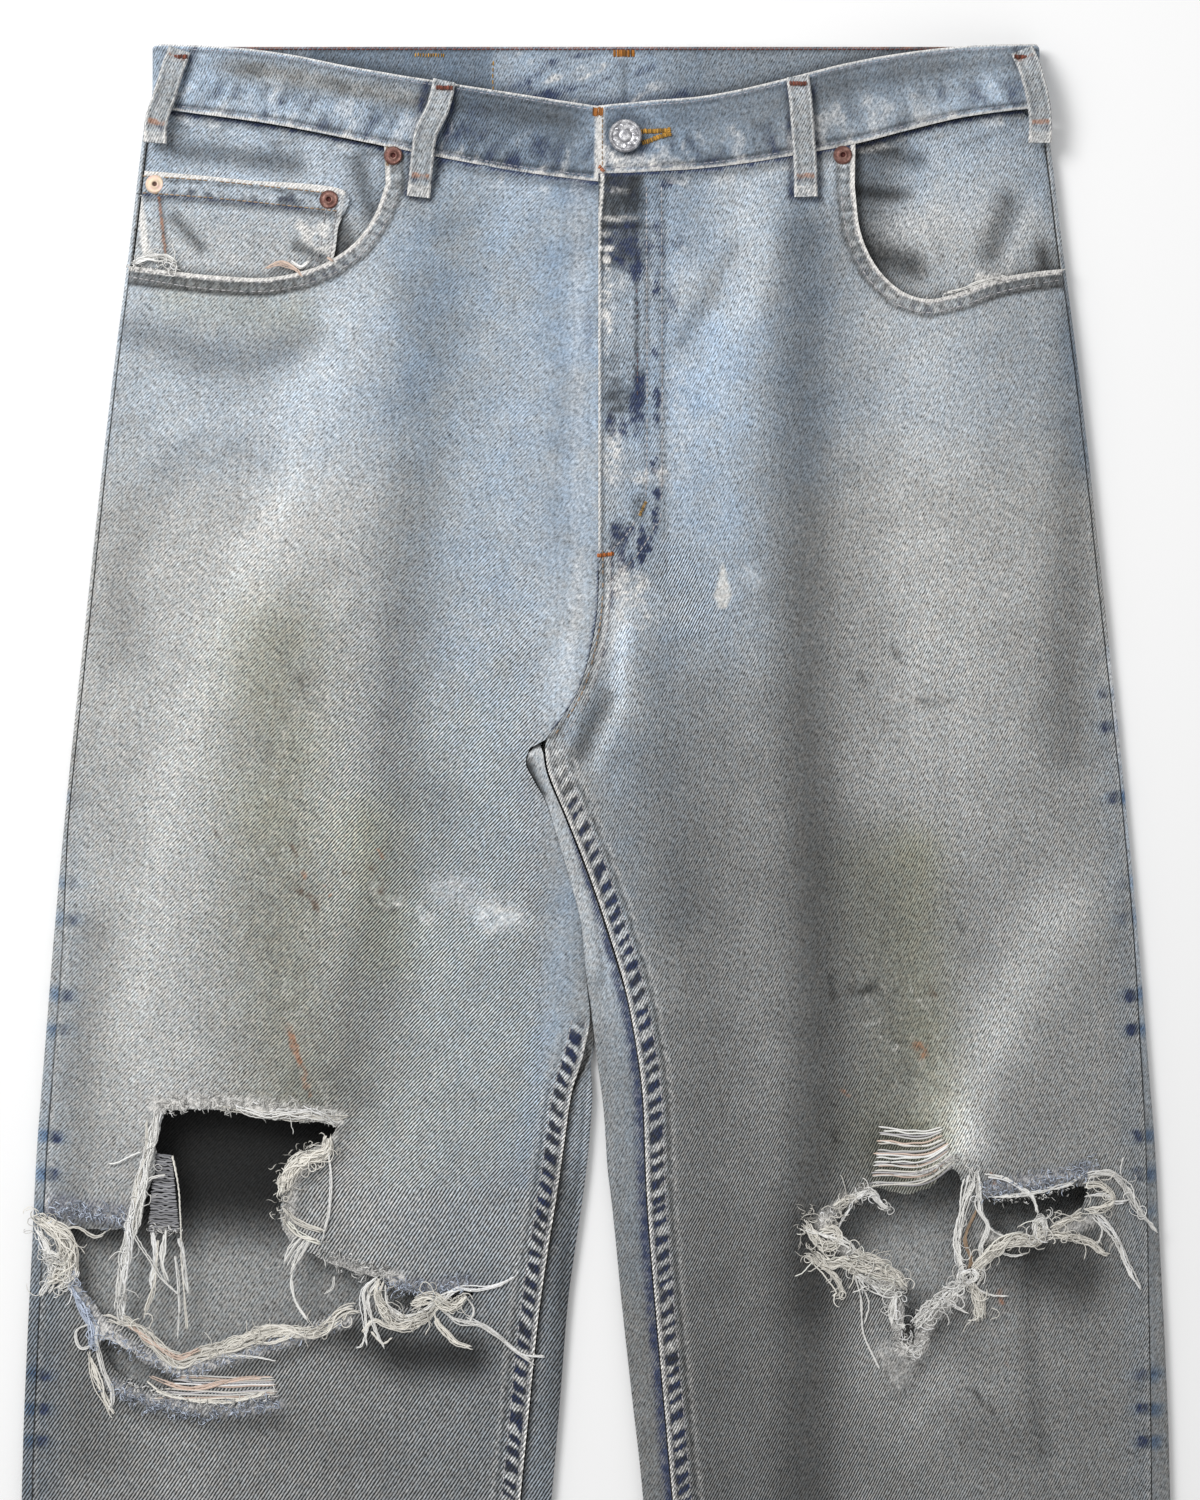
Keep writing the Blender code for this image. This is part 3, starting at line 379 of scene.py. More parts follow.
# soft areas of another shade: path, reach, change of tone, change of blue, olive.
# The tone changes are mostly painted shade and highlights: of the folds, under the lips and
# frays of the tears and in the gap between the legs; blue and olive are the cloth's own fading and
# stains.
AREAS = {"right": (
    (((-126, 140), (-148, 215), (-178, 295), (-206, 365), (-218, 450), (-222, 520)), 19, 0.12, 0,
     0),
    (((-72, 90), (-76, 150), (-89, 230), (-98, 330), (-96, 390), (-108, 450), (-118, 520)), 18,
     -0.19, 0, 0.05),
    (((-158, 300), (-160, 400), (-152, 520)), 25, -0.13, 0, 0.9),
    (((-112, 390), (-108, 420), (-106, 450)), 16, -0.03, 0, 0.9),
    (((-230, 143), (-196, 156), (-165, 158), (-142, 146)), 10, -0.2, 0.1, 0),
    (((-210, 126), (-170, 134), (-150, 134)), 11, -0.05, -0.1, 0.5),
    (((-236, 170), (-238, 300)), 15, -0.07, 0, 0), (((-192, 204), (-160, 206)), 12, -0.07, 0.1, 0),
    (((-212, 218), (-232, 250), (-236, 300)), 13, -0.09, 0, 0),
    (((-120, 642), (-92, 652), (-64, 652)), 11, -0.42, 0, 0),
    (((-98, 650), (-62, 652)), 11, -0.34, 0, 0),
    (((-250, 440), (-258, 520), (-262, 590)), 11, -0.14, 0, 0),
    (((-73, 378), (-74, 412)), 13, -0.1, 0, 0), (((-14, 300), (-16, 330)), 10, 0.14, 0, 0),
    (((-12, 70), (-10, 100)), 10, -0.12, 0.2, 0),
    (((-20, 560), (-14, 640), (-12, 700)), 9, -0.32, 0, 0),
    (((-254, 652), (-252, 700)), 13, -0.15, 0, 0),
    (((-238, 652), (-222, 660), (-208, 664)), 7, -0.3, 0, 0),
    (((-160, 690), (-110, 700)), 18, -0.07, 0, 0), (((-205, 700), (-195, 760)), 20, 0.11, 0, 0),
    (((-262, 350), (-272, 520)), 12, -0.05, 0, 0), (((-272, 590), (-284, 745)), 16, -0.14, 0.2, 0),
    (((-60, 560), (-66, 610)), 26, -0.05, 0.1, 0),
    (((-20, 110), (-14, 200), (-18, 250)), 9, -0.07, 0.2, 0),
    (((-90, 100), (-92, 180)), 14, -0.04, 0.35, 0),
    (((-8, 385), (-20, 470), (-36, 560)), 9, 0.06, 0.5, 0),
), "left": (
    (((108, 588), (106, 625)), 13, -0.3, 0, 0), (((14, 286), (12, 325)), 13, 0.16, 0, 0),
    (((46, 70), (44, 95)), 12, -0.14, 0.2, 0), (((77, 95), (77, 130)), 14, 0.1, 0, 0),
    (((60, 145), (62, 185)), 18, 0.06, 0, 0), (((165, 520), (168, 545)), 14, 0.11, 0, 0),
    (((222, 600), (242, 606)), 13, -0.34, 0, 0),
    (((106, 96), (105, 160), (106, 330), (110, 430), (112, 520), (107, 600), (105, 760)), 18, -0.36,
     0, 0),
    (((134, 110), (136, 330)), 14, -0.08, 0, 0), (((84, 170), (82, 270)), 15, -0.07, 0, 0),
    (((54, 330), (52, 500), (56, 760)), 30, -0.19, 0, 0),
    (((30, 300), (34, 360), (42, 430)), 13, -0.12, 0.2, 0),
    (((150, 230), (170, 300), (176, 370)), 28, 0.06, 0, 0),
    (((205, 130), (206, 225)), 20, -0.08, 0, 0),
    (((236, 425), (206, 474), (188, 515), (174, 546)), 17, 0.26, 0, 0),
    (((186, 545), (176, 556)), 12, 0.16, 0, 0),
    (((238, 110), (236, 240), (233, 350)), 13, -0.22, 0, 0),
    (((138, 410), (146, 500), (137, 545)), 22, -0.17, 0, 0.8),
    (((160, 400), (168, 520), (160, 560)), 14, 0, 0, 0.9),
    (((140, 660), (172, 668)), 24, 0.18, 0, 0), (((160, 600), (166, 616)), 12, 0.1, 0, 0),
    (((146, 546), (164, 545), (162, 556), (146, 560)), 11, -0.3, 0, 0.6),
    (((182, 530), (186, 546)), 10, 0.1, 0, 0), (((206, 606), (240, 618)), 13, -0.3, 0, 0),
    (((183, 682), (200, 696)), 14, -0.12, 0, 0),
    (((217, 598), (215, 640), (222, 700)), 5, -0.16, 0, 0),
    (((170, 640), (186, 648)), 9, -0.12, 0, 0), (((10, 350), (14, 450), (24, 610)), 13, 0, 0.45, 0),
    (((62, 165), (68, 230), (66, 290)), 27, 0, 0.38, 0), (((106, 80), (106, 210)), 17, 0, 0.42, 0),
    (((30, 80), (20, 200), (16, 270)), 12, 0, 0.35, 0),
    (((244, 120), (248, 206)), 12, -0.04, 0.8, 0),
    (((68, 102), (56, 126), (42, 150)), 5, -0.17, 0, 0), (((15, 290), (10, 326)), 5, 0.12, 0.2, 0),
    (((8, 304), (-2, 330), (-10, 346)), 4, -0.12, 0.4, 0),
    (((7, 324), (-2, 339), (-8, 353)), 4.6, -0.34, 0, 0),
    (((13, 328), (7, 342), (0, 360)), 4, 0.14, 0, 0), (((-12, 330), (-14, 346)), 4, 0.12, 0.3, 0),
)}
# across: where the blue of the middle starts, and where it is full
INNER_BLUE = {"right": (-135, -50), "left": (125, 30)}


def rib_strength(leg, x, d):
    """How plainly the ribs of the twill show: rubbed flat at the top, and stark lower down."""
    if leg == "right":
        inner = np.maximum(step(-232, -110, x), step(590, 640, d))
        smooth = step(-36, -18, x) * step(530, 500, d)
        return (0.85 + step(220, 400, d) * (0.4 + 1.9 * inner)) * (1 - 0.8 * smooth)
    inner = 0.30 + 0.70 * step(190, 150, x)
    stark = 1.5 * step(430, 620, d) * inner + 1.7 * beside(((40, 262), (46, 286)), x, d, 13)
    return (0.95 + 0.7 * step(200, 340, d) + stark) * (
        1 - 0.6 * bell(x - 105, 9) * step(120, 300, d)
    )


def linear(colour):
    """A colour as the eye gives its shares, made into light."""
    c = np.clip(np.asarray(colour, float), 0, 1)
    return np.where(c < 0.04045, c / 12.92, ((c + 0.055) / 1.055) ** 2.4)


def shade(tone, blue, olive=0.0):
    """The cloth's colour for a tone, with blue dye or an olive stain."""
    tone, blue, olive = (np.asarray(v, float) for v in (tone, blue, olive))
    red = tone * (1 - 0.075 * blue + 0.006 * olive)
    green = tone * (1 - 0.008 * blue + 0.004 * olive)
    return linear(np.stack([red, green, tone * (1 + 0.075 * blue - 0.055 * olive)], axis=-1))


tone_down = {"right": through(SHADES, 1), "left": through(SHADES, 4)}
side_blue = {"right": through(SHADES, 2), "left": through(SHADES, 5)}
middle_blue = {"right": through(SHADES, 3), "left": through(SHADES, 6)}


class Paint:
    """What the cloth's material reads at each point: the colour, whose tone holds painted shade and
    highlights as well as the dye, and the amounts over it.
    """

    def __init__(self, leg, x, d):
        self.x, self.d = np.asarray(x, float), np.asarray(d, float)
        self.tone, self.blue = tone_down[leg](d), side_blue[leg](d)
        self.blue += (middle_blue[leg](d) - self.blue) * step(*INNER_BLUE[leg], x)
        self.olive = np.zeros_like(self.x)
        self.indigo, self.bare = np.zeros_like(self.x), np.zeros_like(self.x)
        self.grime, self.rust = np.zeros_like(self.x), np.zeros_like(self.x)
        self.rib = rib_strength(leg, self.x, self.d)
        for path, reach, tone, blue, olive in AREAS[leg]:
            amount = beside(path, x, d, reach)
            self.tone *= 1 + tone * amount
            self.blue, self.olive = self.blue + blue * amount, self.olive + olive * amount
        uneven = 0.04 * noise(x, d, 40, 21, 2) + 0.03 * noise(x, d, 12, 22)
        self.tone *= 1 + uneven + 0.02 * noise(x, d, 5, 26)
        self.blue *= 1 + 0.25 * noise(x, d, 26, 23, 2) + 0.25 * noise(x, d, 8, 24)
        self.olive *= 1 + 0.4 * noise(x, d, 30, 25, 2)

    def mark(self, kind, amount):
        """Adds an amount of what a kind of mark is made of."""
        # dark serves for real dark stains and also for painted shade
        if kind == "dark":
            self.tone *= 1 - 0.62 * np.clip(amount, 0, 1)
        elif kind == "film":
            self.tone *= 1 + 0.14 * amount
            self.rib, self.bare = self.rib * (1 - 0.75 * amount), self.bare + 0.22 * amount
        else:
            setattr(self, kind, getattr(self, kind) + amount)

    def values(self):
        return {
            "dye": shade(self.tone, self.blue, self.olive),
            "indigo": self.indigo, "bare": self.bare, "grime": self.grime, "rib": self.rib,
            "rust": self.rust,
        }


# ---- meshes ----


def tube_faces(index):
    """Quads round a tube, from a row of point numbers for each of its rings."""
    nxt = np.roll(index, -1, axis=1)
    quads = np.stack([index[:-1], nxt[:-1], nxt[1:], index[1:]], axis=-1)
    return quads.reshape(-1, 4).tolist()


def new_object(name, points, faces, values, material, sharp=0.9):
    """An object from points in millimetres; values become attributes that the material reads."""
    mesh = bpy.data.meshes.new(name)
    points = np.asarray(points, float) * MM
    mesh.from_pydata(points, [], faces)
    for key, data in values.items():
        data = np.asarray(data, np.float32)
        if data.ndim == 2 and data.shape[1] > 1:
            layer = mesh.attributes.new(key, "FLOAT_COLOR", "POINT")
            layer.data.foreach_set("color", np.c_[data, np.ones(len(data), np.float32)].ravel())
        else:
            layer = mesh.attributes.new(key, "FLOAT", "POINT")
            layer.data.foreach_set("value", data.ravel())
    mesh.shade_smooth()
    mesh.set_sharp_from_angle(angle=sharp)
    mesh.materials.append(material)
    thing = bpy.data.objects.new(name, mesh)
    bpy.context.scene.collection.objects.link(thing)
    return thing


def world(x, d, z):
    """Points in millimetres from places across and down, and heights."""
    x, d, z = np.broadcast_arrays(x, d, z)
    return np.stack([x, TOP_Y - d, z], axis=-1)


def row_inside(loops, y, xs):
    """Which of xs on the line at y are inside the loops, by counting the edges passed."""
    hits = []
    for loop in loops:
        a, b = loop, np.roll(loop, -1, axis=0)
        crossing = (a[:, 1] > y) != (b[:, 1] > y)
        p, q = a[crossing], b[crossing]
        hits.append(p[:, 0] + (q[:, 0] - p[:, 0]) * (y - p[:, 1]) / (q[:, 1] - p[:, 1]))
    hits = np.sort(np.concatenate(hits))
    return np.searchsorted(hits, xs) % 2 == 1


def turned_left(loop):
    """The loop, going anticlockwise."""
    nxt = np.roll(loop, -1, axis=0)
    return loop if (loop[:, 0] * nxt[:, 1] - nxt[:, 0] * loop[:, 1]).sum() > 0 else loop[::-1]


def plan_fill(loops, spacing, levels=(1.3, 2.6, 5.2)):
    """Places and triangles that fill a plan outline, less the holes after it."""
    loops = [turned_left(np.asarray(loop, float) * (1, -1)) for loop in loops]
    edge = np.concatenate(loops)
    tree = KDTree(len(edge))
    for i, (x, y) in enumerate(edge):
        tree.insert((x, y, 0), i)
    tree.balance()
    (x0, y0), (x1, y1) = loops[0].min(axis=0), loops[0].max(axis=0)
    filled = []
    for level in levels:
        for j, y in enumerate(np.arange(y0 + level * 0.4, y1, level * 0.866)):
            xs = np.arange(x0 + (j % 2) * level / 2, x1, level)
            want = spacing(xs, np.full_like(xs, -y))
            first, last = level == levels[0], level == levels[-1]
            keep = (want > level * 0.72) | first
            keep &= (want <= level * 1.44) | last
            keep[keep] = row_inside(loops, y, xs[keep])
            filled += [(x, y) for x in xs[keep] if tree.find((x, y, 0))[2] > level * 0.5]
    shapes, start = [], 0
    for loop in loops:
        shapes.append(list(range(start, start + len(loop))))
        start += len(loop)
    places = [Vector(p) for p in edge] + [Vector(p) for p in filled]
    corners, _, faces, _, _, sources = delaunay_2d_cdt(places, [], shapes, 1, 1e-5)
    faces = [f for f, source in zip(faces, sources) if 0 in source and len(source) == 1]
    return np.array([tuple(c) for c in corners]) * (1, -1), np.array(faces)


def rim_of(faces):
    """The edges that only one triangle has, the way round that it has them."""
    a = np.concatenate([faces[:, [0, 1]], faces[:, [1, 2]], faces[:, [2, 0]]])
    size = int(a.max()) + 1
    keys = a[:, 0].astype(np.int64) * size + a[:, 1]
    back = a[:, 1].astype(np.int64) * size + a[:, 0]
    return a[~np.isin(keys, back)]


def plan_shell(name, loops, spacing, under, thick, paint, material, levels=(1.3, 2.6, 5.2)):
    """A closed shell of cloth over a plan outline. under and thick are functions of the place."""
    places, faces = plan_fill(loops, spacing, levels)
    x, d = places[:, 0], places[:, 1]
    low = under(x, d)
    high = low + thick(x, d)
    count = len(places)
    rim = rim_of(faces)
    sides = [(a, b, b + count, a + count) for a, b in rim[:, ::-1]]
    solid = faces.tolist() + (faces[:, ::-1] + count).tolist() + sides
    values = {key: np.concatenate([v, v]) for key, v in paint(x, d).items()}
    points = np.concatenate([world(x, d, high), world(x, d, low)])
    return new_object(name, points, solid, values, material)


def grid_shell(name, middle, thick, first, second, material):
    """A closed shell through a grid of points on its middle surface.

    first are the values of the face that its normal points from, second those of the other.
    """
    high, wide = middle.shape[:2]
    normal = unit(np.cross(np.gradient(middle, axis=1), np.gradient(middle, axis=0)))
    half = np.asarray(thick, float) / 2
    half = half[..., None] if half.ndim else half
    points = [(middle + normal * half).reshape(-1, 3), (middle - normal * half).reshape(-1, 3)]
    count = high * wide
    index = np.arange(count).reshape(high, wide)
    a, b, c, e = index[:-1, :-1], index[:-1, 1:], index[1:, 1:], index[1:, :-1]
    face = np.stack([a, b, c, e], axis=-1).reshape(-1, 4)
    faces = face.tolist() + (face[:, ::-1] + count).tolist()
    for rim in (index[0], index[-1][::-1], index[::-1, 0], index[:, -1]):
        faces += [(p, p + count, q + count, q) for p, q in zip(rim[:-1], rim[1:])]
    values = {
        key: np.concatenate([v.reshape(count, -1), second[key].reshape(count, -1)])
        for key, v in first.items()
    }
    return new_object(name, np.concatenate(points), faces, values, material)


def band_sweep(name, upper, lower, out, thick, relief, first, second, material, edge=0.5):
    """A closed strip: stations from upper to lower edge, rounded at both, facing out.

    upper, lower and out are arrays of a point or a direction for each station; relief has a row
    of rises of the outer face for each station, and the values have the same shape.
    """
    count, n = relief.shape
    share = np.linspace(0, 1, n)
    wide = np.linalg.norm(lower - upper, axis=1)[:, None]
    from_edge = np.minimum(share, 1 - share)[None, :] * wide
    full = np.sqrt(1 - (1 - np.clip(from_edge / edge, 0, 1)) ** 2)
    line = upper[:, None] + (lower - upper)[:, None] * share[None, :, None]
    outer = line + out[:, None] * (full * thick / 2 + relief)[..., None]
    inner = line - out[:, None] * (full * thick / 2)[..., None]
    ring = np.concatenate([outer, inner[:, ::-1]], axis=1)
    index = np.arange(count * 2 * n).reshape(count, 2 * n)
    faces = tube_faces(index)
    for row, way in ((index[0], 1), (index[-1], -1)):
        faces += [(row[k], row[-k - 1], row[-k - 2], row[k + 1])[::way] for k in range(n - 1)]
    values = {
        key: np.concatenate([v, second[key][:, ::-1]], axis=1).reshape(count * 2 * n, -1)
        for key, v in first.items()
    }
    return new_object(name, ring.reshape(-1, 3), faces, values, material)


class Yarns:
    """Many threads, gathered to be one mesh of thin tubes."""

    def __init__(self):
        self.points, self.faces, self.dye, self.count = [], [], [], 0

    def add(self, line, radius, colour, sides):
        """A thread along line, an array of points in millimetres; it tapers at both ends."""
        line = np.asarray(line, float)
        along = unit(np.gradient(line, axis=0))
        wide = np.cross(along, (0.0, 0.0, 1.0))
        size = np.linalg.norm(wide, axis=1, keepdims=True)
        wide = np.where(size > 0.05, wide / np.maximum(size, 1e-9), (1.0, 0.0, 0.0))
        tall = np.cross(wide, along)
        thin = np.ones(len(line))
        thin[0] = thin[-1] = 0.45
        turn = np.arange(sides) * 2 * pi / sides
        turn = turn[None, :, None]
        ring = wide[:, None] * np.cos(turn) + tall[:, None] * np.sin(turn)
        points = line[:, None] + ring * (np.asarray(radius) * thin)[:, None, None]
        n = len(line)
        index = np.arange(n * sides).reshape(n, sides) + self.count
        self.faces += tube_faces(index) + [index[0][::-1].tolist(), index[-1].tolist()]
        self.points.append(points.reshape(-1, 3))
        self.dye.append(np.tile(np.asarray(colour, float), (n * sides, 1)))
        self.count += n * sides

    def made(self, name, material):
        return new_object(
            name, np.concatenate(self.points), self.faces, {"dye": np.concatenate(self.dye)},
            material, sharp=3.0,
        )


# ---- materials ----


class Value:
    """A shader socket that takes part in plain expressions."""

    def __init__(self, graph, socket):
        self.graph, self.socket = graph, socket

    def _with(self, operation, *others):
        return self.graph.maths(operation, self, *others)

    def __add__(self, other):
        return self._with("ADD", other)

    def __sub__(self, other):
        return self._with("SUBTRACT", other)

    def __rsub__(self, other):
        return self.graph.maths("SUBTRACT", other, self)

    def __mul__(self, other):
        return self._with("MULTIPLY", other)

    def __truediv__(self, other):
        return self._with("DIVIDE", other)

    __radd__, __rmul__ = __add__, __mul__

    def sine(self):
        return self._with("SINE")

    def step(self, low, high):
        """0 at low, 1 at high, and smooth between."""
        settings = {"interpolation_type": "SMOOTHSTEP"}
        node = self.graph.node("ShaderNodeMapRange", settings, Value=self)
        node.inputs["From Min"].default_value = low
        node.inputs["From Max"].default_value = high
        return Value(self.graph, node.outputs[0])


class Graph:
    """A material's node tree, built by expressions."""

    def __init__(self, name):
        self.material = bpy.data.materials.new(name)
        self.material.use_nodes = True
        self.tree = self.material.node_tree
        self.shader = self.tree.nodes["Principled BSDF"]

    def put(self, socket, value):
        if isinstance(value, Value):
            self.tree.links.new(value.socket, socket)
        else:
            socket.default_value = value

    def node(self, kind, settings=None, **inputs):
        node = self.tree.nodes.new(kind)
        for key, value in (settings or {}).items():
            setattr(node, key, value)
        for key, value in inputs.items():
            self.put(node.inputs[key.replace("_", " ")], value)
        return node

    def maths(self, operation, *values):
        node = self.node("ShaderNodeMath", {"operation": operation})
        for socket, value in zip(node.inputs, values):
            self.put(socket, value)
        return Value(self, node.outputs[0])

    def attribute(self, name):
        node = self.node("ShaderNodeAttribute", {"attribute_name": name})
        return Value(self, node.outputs["Fac"])

    def colour(self, name):
        node = self.node("ShaderNodeAttribute", {"attribute_name": name})
        return Value(self, node.outputs["Color"])

    def mix(self, factor, low, high, blend="MIX"):
        node = self.node("ShaderNodeMix", {"data_type": "RGBA", "blend_type": blend})
        for socket, value in ((node.inputs[0], factor), (node.inputs[6], low),
                              (node.inputs[7], high)):
            self.put(socket, value)
        return Value(self, node.outputs[2])

    def stretched(self, place, scale):
        node = self.node("ShaderNodeVectorMath", {"operation": "MULTIPLY"})
        self.put(node.inputs[0], place)
        self.put(node.inputs[1], scale)
        return Value(self, node.outputs[0])

    def noise(self, place, scale, detail=2.0, rough=0.55):
        node = self.node("ShaderNodeTexNoise", {}, Vector=place, Scale=scale, Detail=detail,
                         Roughness=rough)
        return Value(self, node.outputs["Fac"])

    def finish(self, colour, bump, roughness, distance, strength=1.0):
        self.put(self.shader.inputs["Base Color"], colour)
        self.put(self.shader.inputs["Roughness"], roughness)
        node = self.node("ShaderNodeBump", {}, Height=bump)
        node.inputs["Distance"].default_value = distance
        node.inputs["Strength"].default_value = strength
        self.put(self.shader.inputs["Normal"], Value(self, node.outputs["Normal"]))
        return self.material


def grey(value):
    return (value, value, value, 1.0)


def rgb(r, g, b):
    """A colour for a socket, from the shares that the eye gives it."""
    return (*(float(v) for v in linear((r, g, b))), 1.0)


def denim(settings, name, slope, turn, pitch):
    """Worn twill: diagonal ribs, short slubs and speckle over the colour that the mesh carries,
    painted shade and highlights included.
    """
    g = Graph(name)
    place = Value(g, g.node("ShaderNodeTexCoord").outputs["Object"])
    split = g.node("ShaderNodeSeparateXYZ", {}, Vector=place)
    x, y = Value(g, split.outputs["X"]), Value(g, split.outputs["Y"])
    across, up = sin(radians(slope)), cos(radians(slope))
    over, along = x * across - y * up, x * up + y * across
    over = over + g.maths("MINIMUM", y + 0.030, 0.0) * turn
    turned = Value(g, g.node("ShaderNodeCombineXYZ", {}, X=over, Y=along).outputs[0])
    wander = g.noise(place, 170.0, 1.0) * 2.2
    ribs = (over * (2 * pi / (settings.twill_pitch * pitch)) + wander).sine() * 0.5 + 0.5
    grain = g.noise(g.stretched(turned, (1080.0, 470.0, 1.0)), 1.0, 2.0, 0.7)
    slub = g.noise(g.stretched(place, (520.0, 58.0, 300.0)), 1.0, 2.0, 0.6)
    patchy = g.noise(place, 95.0, 3.0, 0.6)
    fine = g.noise(place, 420.0, 3.0, 0.7)
    rib = g.attribute("rib")
    weave = g.maths("MAXIMUM", (
        1.0
        + (ribs - 0.5) * rib * (patchy * 0.70 + 0.42)
        + (grain - 0.5) * (rib * 0.4 + 2.5)
        + (fine - 0.5) * 0.95
        + (slub - 0.5) * 0.30
        + (patchy - 0.5) * 0.16
    ), 0.10)

    def woven(colour, share):
        """A colour with the light and dark of the weave in it."""
        value = (weave - 1.0) * share + 1.0
        node = g.node("ShaderNodeCombineColor", {})
        for socket in list(node.inputs)[:3]:
            g.put(socket, value)
        return g.mix(1.0, colour, Value(g, node.outputs[0]), "MULTIPLY")

    cast = g.mix(g.noise(place, 330.0, 2.0, 0.7).step(0.36, 0.64), rgb(1.0, 0.985, 0.955),
                 rgb(0.955, 0.99, 1.0))
    cloth = g.mix(0.55, woven(g.colour("dye"), 1.0), cast, "MULTIPLY")
    blot = g.noise(g.stretched(place, (260.0, 170.0, 200.0)), 1.0, 3.0, 0.6)
    broken = (fine - 0.5) * 2.0 + (blot - 0.5) * 2.2 + (ribs - 0.5) * -0.7 + 1.0
    blue = (g.attribute("indigo") * broken).step(0.05, 1.25)
    cloth = g.mix(blue * 0.94, cloth, woven((*settings.indigo, 1.0), 0.8))
    bare = (g.attribute("bare") * ((fine - 0.5) * 1.4 + (grain - 0.5) * 1.6 + 1.0)).step(0.05, 1.1)
    cloth = g.mix(bare * 0.88, cloth, woven((*settings.bare_cotton, 1.0), 0.6))
    speck = (fine - 0.5) * 2.2 + (blot - 0.5) * 1.6 + 1.0
    grime = (g.attribute("grime") * speck).step(0.25, 0.95)
    cloth = g.mix(grime * 0.72, cloth, woven(rgb(0.34, 0.25, 0.18), 0.7))
    rust = (g.attribute("rust") * speck).step(0.25, 0.95)
    cloth = g.mix(rust * 0.66, cloth, woven(rgb(0.62, 0.40, 0.25), 0.7))
    height = ribs * rib * 0.5 + grain * 0.9 + slub * 0.3
    return g.finish(cloth, height, 0.92, settings.twill_depth, 0.8)


def yarn_material(name):
    """Loose cotton: a light, slightly uneven thread with the colour that the mesh carries."""
    g = Graph(name)
    place = Value(g, g.node("ShaderNodeTexCoord").outputs["Object"])
    twist = g.noise(place, 900.0, 2.0, 0.6)
    soil = g.noise(place, 120.0, 2.0, 0.6)
    dye = g.colour("dye")
    dark = g.mix(1.0, dye, grey(0.90), "MULTIPLY")
    cloth = g.mix(twist.step(0.25, 0.75), dark, dye)
    cloth = g.mix(soil.step(0.5, 0.8) * 0.08, cloth, rgb(0.60, 0.56, 0.50))
    return g.finish(cloth, twist, 0.9, 0.0002, 0.6)


def metal_material(name, base, worn, tarnish, rough, metal=0.9):
    """Rubbed plate: bright where it is worn and dull in its low places."""
    g = Graph(name)
    place = Value(g, g.node("ShaderNodeTexCoord").outputs["Object"])
    scuff = g.noise(place, 1400.0, 4.0, 0.7)
    patch = g.noise(place, 420.0, 3.0, 0.6)
    colour = g.mix(patch.step(0.42, 0.68), base, worn)
    colour = g.mix(scuff.step(0.55, 0.8) * 0.6, colour, tarnish)
    colour = g.mix(g.attribute("pit") * 0.92, colour, rgb(0.26, 0.05, 0.05))
    g.shader.inputs["Metallic"].default_value = metal
    return g.finish(colour, scuff, scuff * 0.3 + rough, 0.00012, 0.5)


# ---- the fronts ----

# creases and lifted places: path, reach, rise; negative rises are troughs
CREASES = {"right": (
    (((-214, 527), (-170, 526), (-130, 533)), 9, 2.2),
    (((-138, 548), (-146, 575), (-140, 600)), 9, 1.8), (((-118, 606), (-66, 613)), 8, 1.8),
    (((-246, 640), (-206, 658), (-165, 648), (-124, 634)), 7, 2),
    (((-272, 580), (-240, 582)), 6, 1.4), (((-60, 566), (-104, 590)), 14, 0.9),
    (((-160, 150), (-198, 158), (-228, 143)), 8, -1.6), (((-200, 178), (-150, 196)), 11, 0.9),
    (((-24, 96), (-15, 180), (-19, 250)), 7, -1.3), (((-45, 86), (-52, 180), (-46, 300)), 17, 0.8),
    (((-78, 411), (-118, 456), (-120, 526)), 6, -1.2), (((-10, 300), (-30, 360)), 9, 1.2),
    (((-240, 690), (-150, 668)), 12, 0.9), (((-190, 760), (-80, 800)), 16, -1),
    (((-230, 830), (-120, 880)), 15, 1.1), (((-90, 930), (-200, 1010)), 16, -1),
), "left": (
    (((128, 572), (158, 566), (178, 555)), 7, 1.4), (((116, 584), (146, 606), (156, 640)), 8, 1.6),
    (((183, 556), (182, 612)), 6, 1.6), (((194, 566), (244, 562)), 7, 1.8),
    (((196, 596), (238, 590)), 7, 1.4), (((160, 650), (186, 624)), 8, 1.6),
    (((217, 598), (214, 640), (222, 700)), 4.5, -1.5), (((228, 600), (226, 650), (236, 720)), 9, 1),
    (((172, 646), (188, 690), (186, 730)), 9, -0.9), (((144, 640), (120, 690)), 12, 0.9),
    (((8, 296), (5, 322), (-4, 350)), 5.5, -2.4), (((15, 292), (11, 330), (3, 356)), 5, 1.4),
    (((-2, 285), (-3, 308), (-14, 330), (-22, 342)), 4, 1.8),
    (((66, 76), (60, 130), (40, 190)), 10, -0.9), (((90, 84), (78, 140)), 7, 1),
    (((226, 132), (240, 170)), 9, 1), (((190, 800), (90, 850)), 16, -1),
    (((230, 880), (120, 930)), 15, 1.1), (((80, 960), (210, 1020)), 16, -0.9),
)}
J_PATH = ((J_ACROSS - 0.5, 72), (J_ACROSS - 0.5, 222), (29, 240), (20, 255), (7, 268))
J_INNER = ((J_ACROSS - 8, 72), (J_ACROSS - 8, 216), (21, 234), (14, 246), (3, 256))


def places_of(curve, start, stop, offset=0.0, pitch=6.0):
    """A path along a curve of the place down, moved across by offset."""
    downs = np.arange(start, stop + 0.1, pitch)
    return [(float(x) + offset, float(d)) for x, d in zip(curve(downs), downs)]


INSEAM_FROM = {"right": 487, "left": 349}
INSEAM_PATH = {leg: places_of(inseam[leg], INSEAM_FROM[leg], 1062) for leg in SIDE}
OUTSEAM_PATH = {leg: places_of(lambda d, s=leg: seam_line(s, d), 112, 1062) for leg in SIDE}
CENTRE_PATH = places_of(front_seam, 252, 344)


def creases(leg, x, d):
    total = 0.0
    for path, reach, height in CREASES[leg]:
        total += height * beside(path, x, d, reach)
    return total


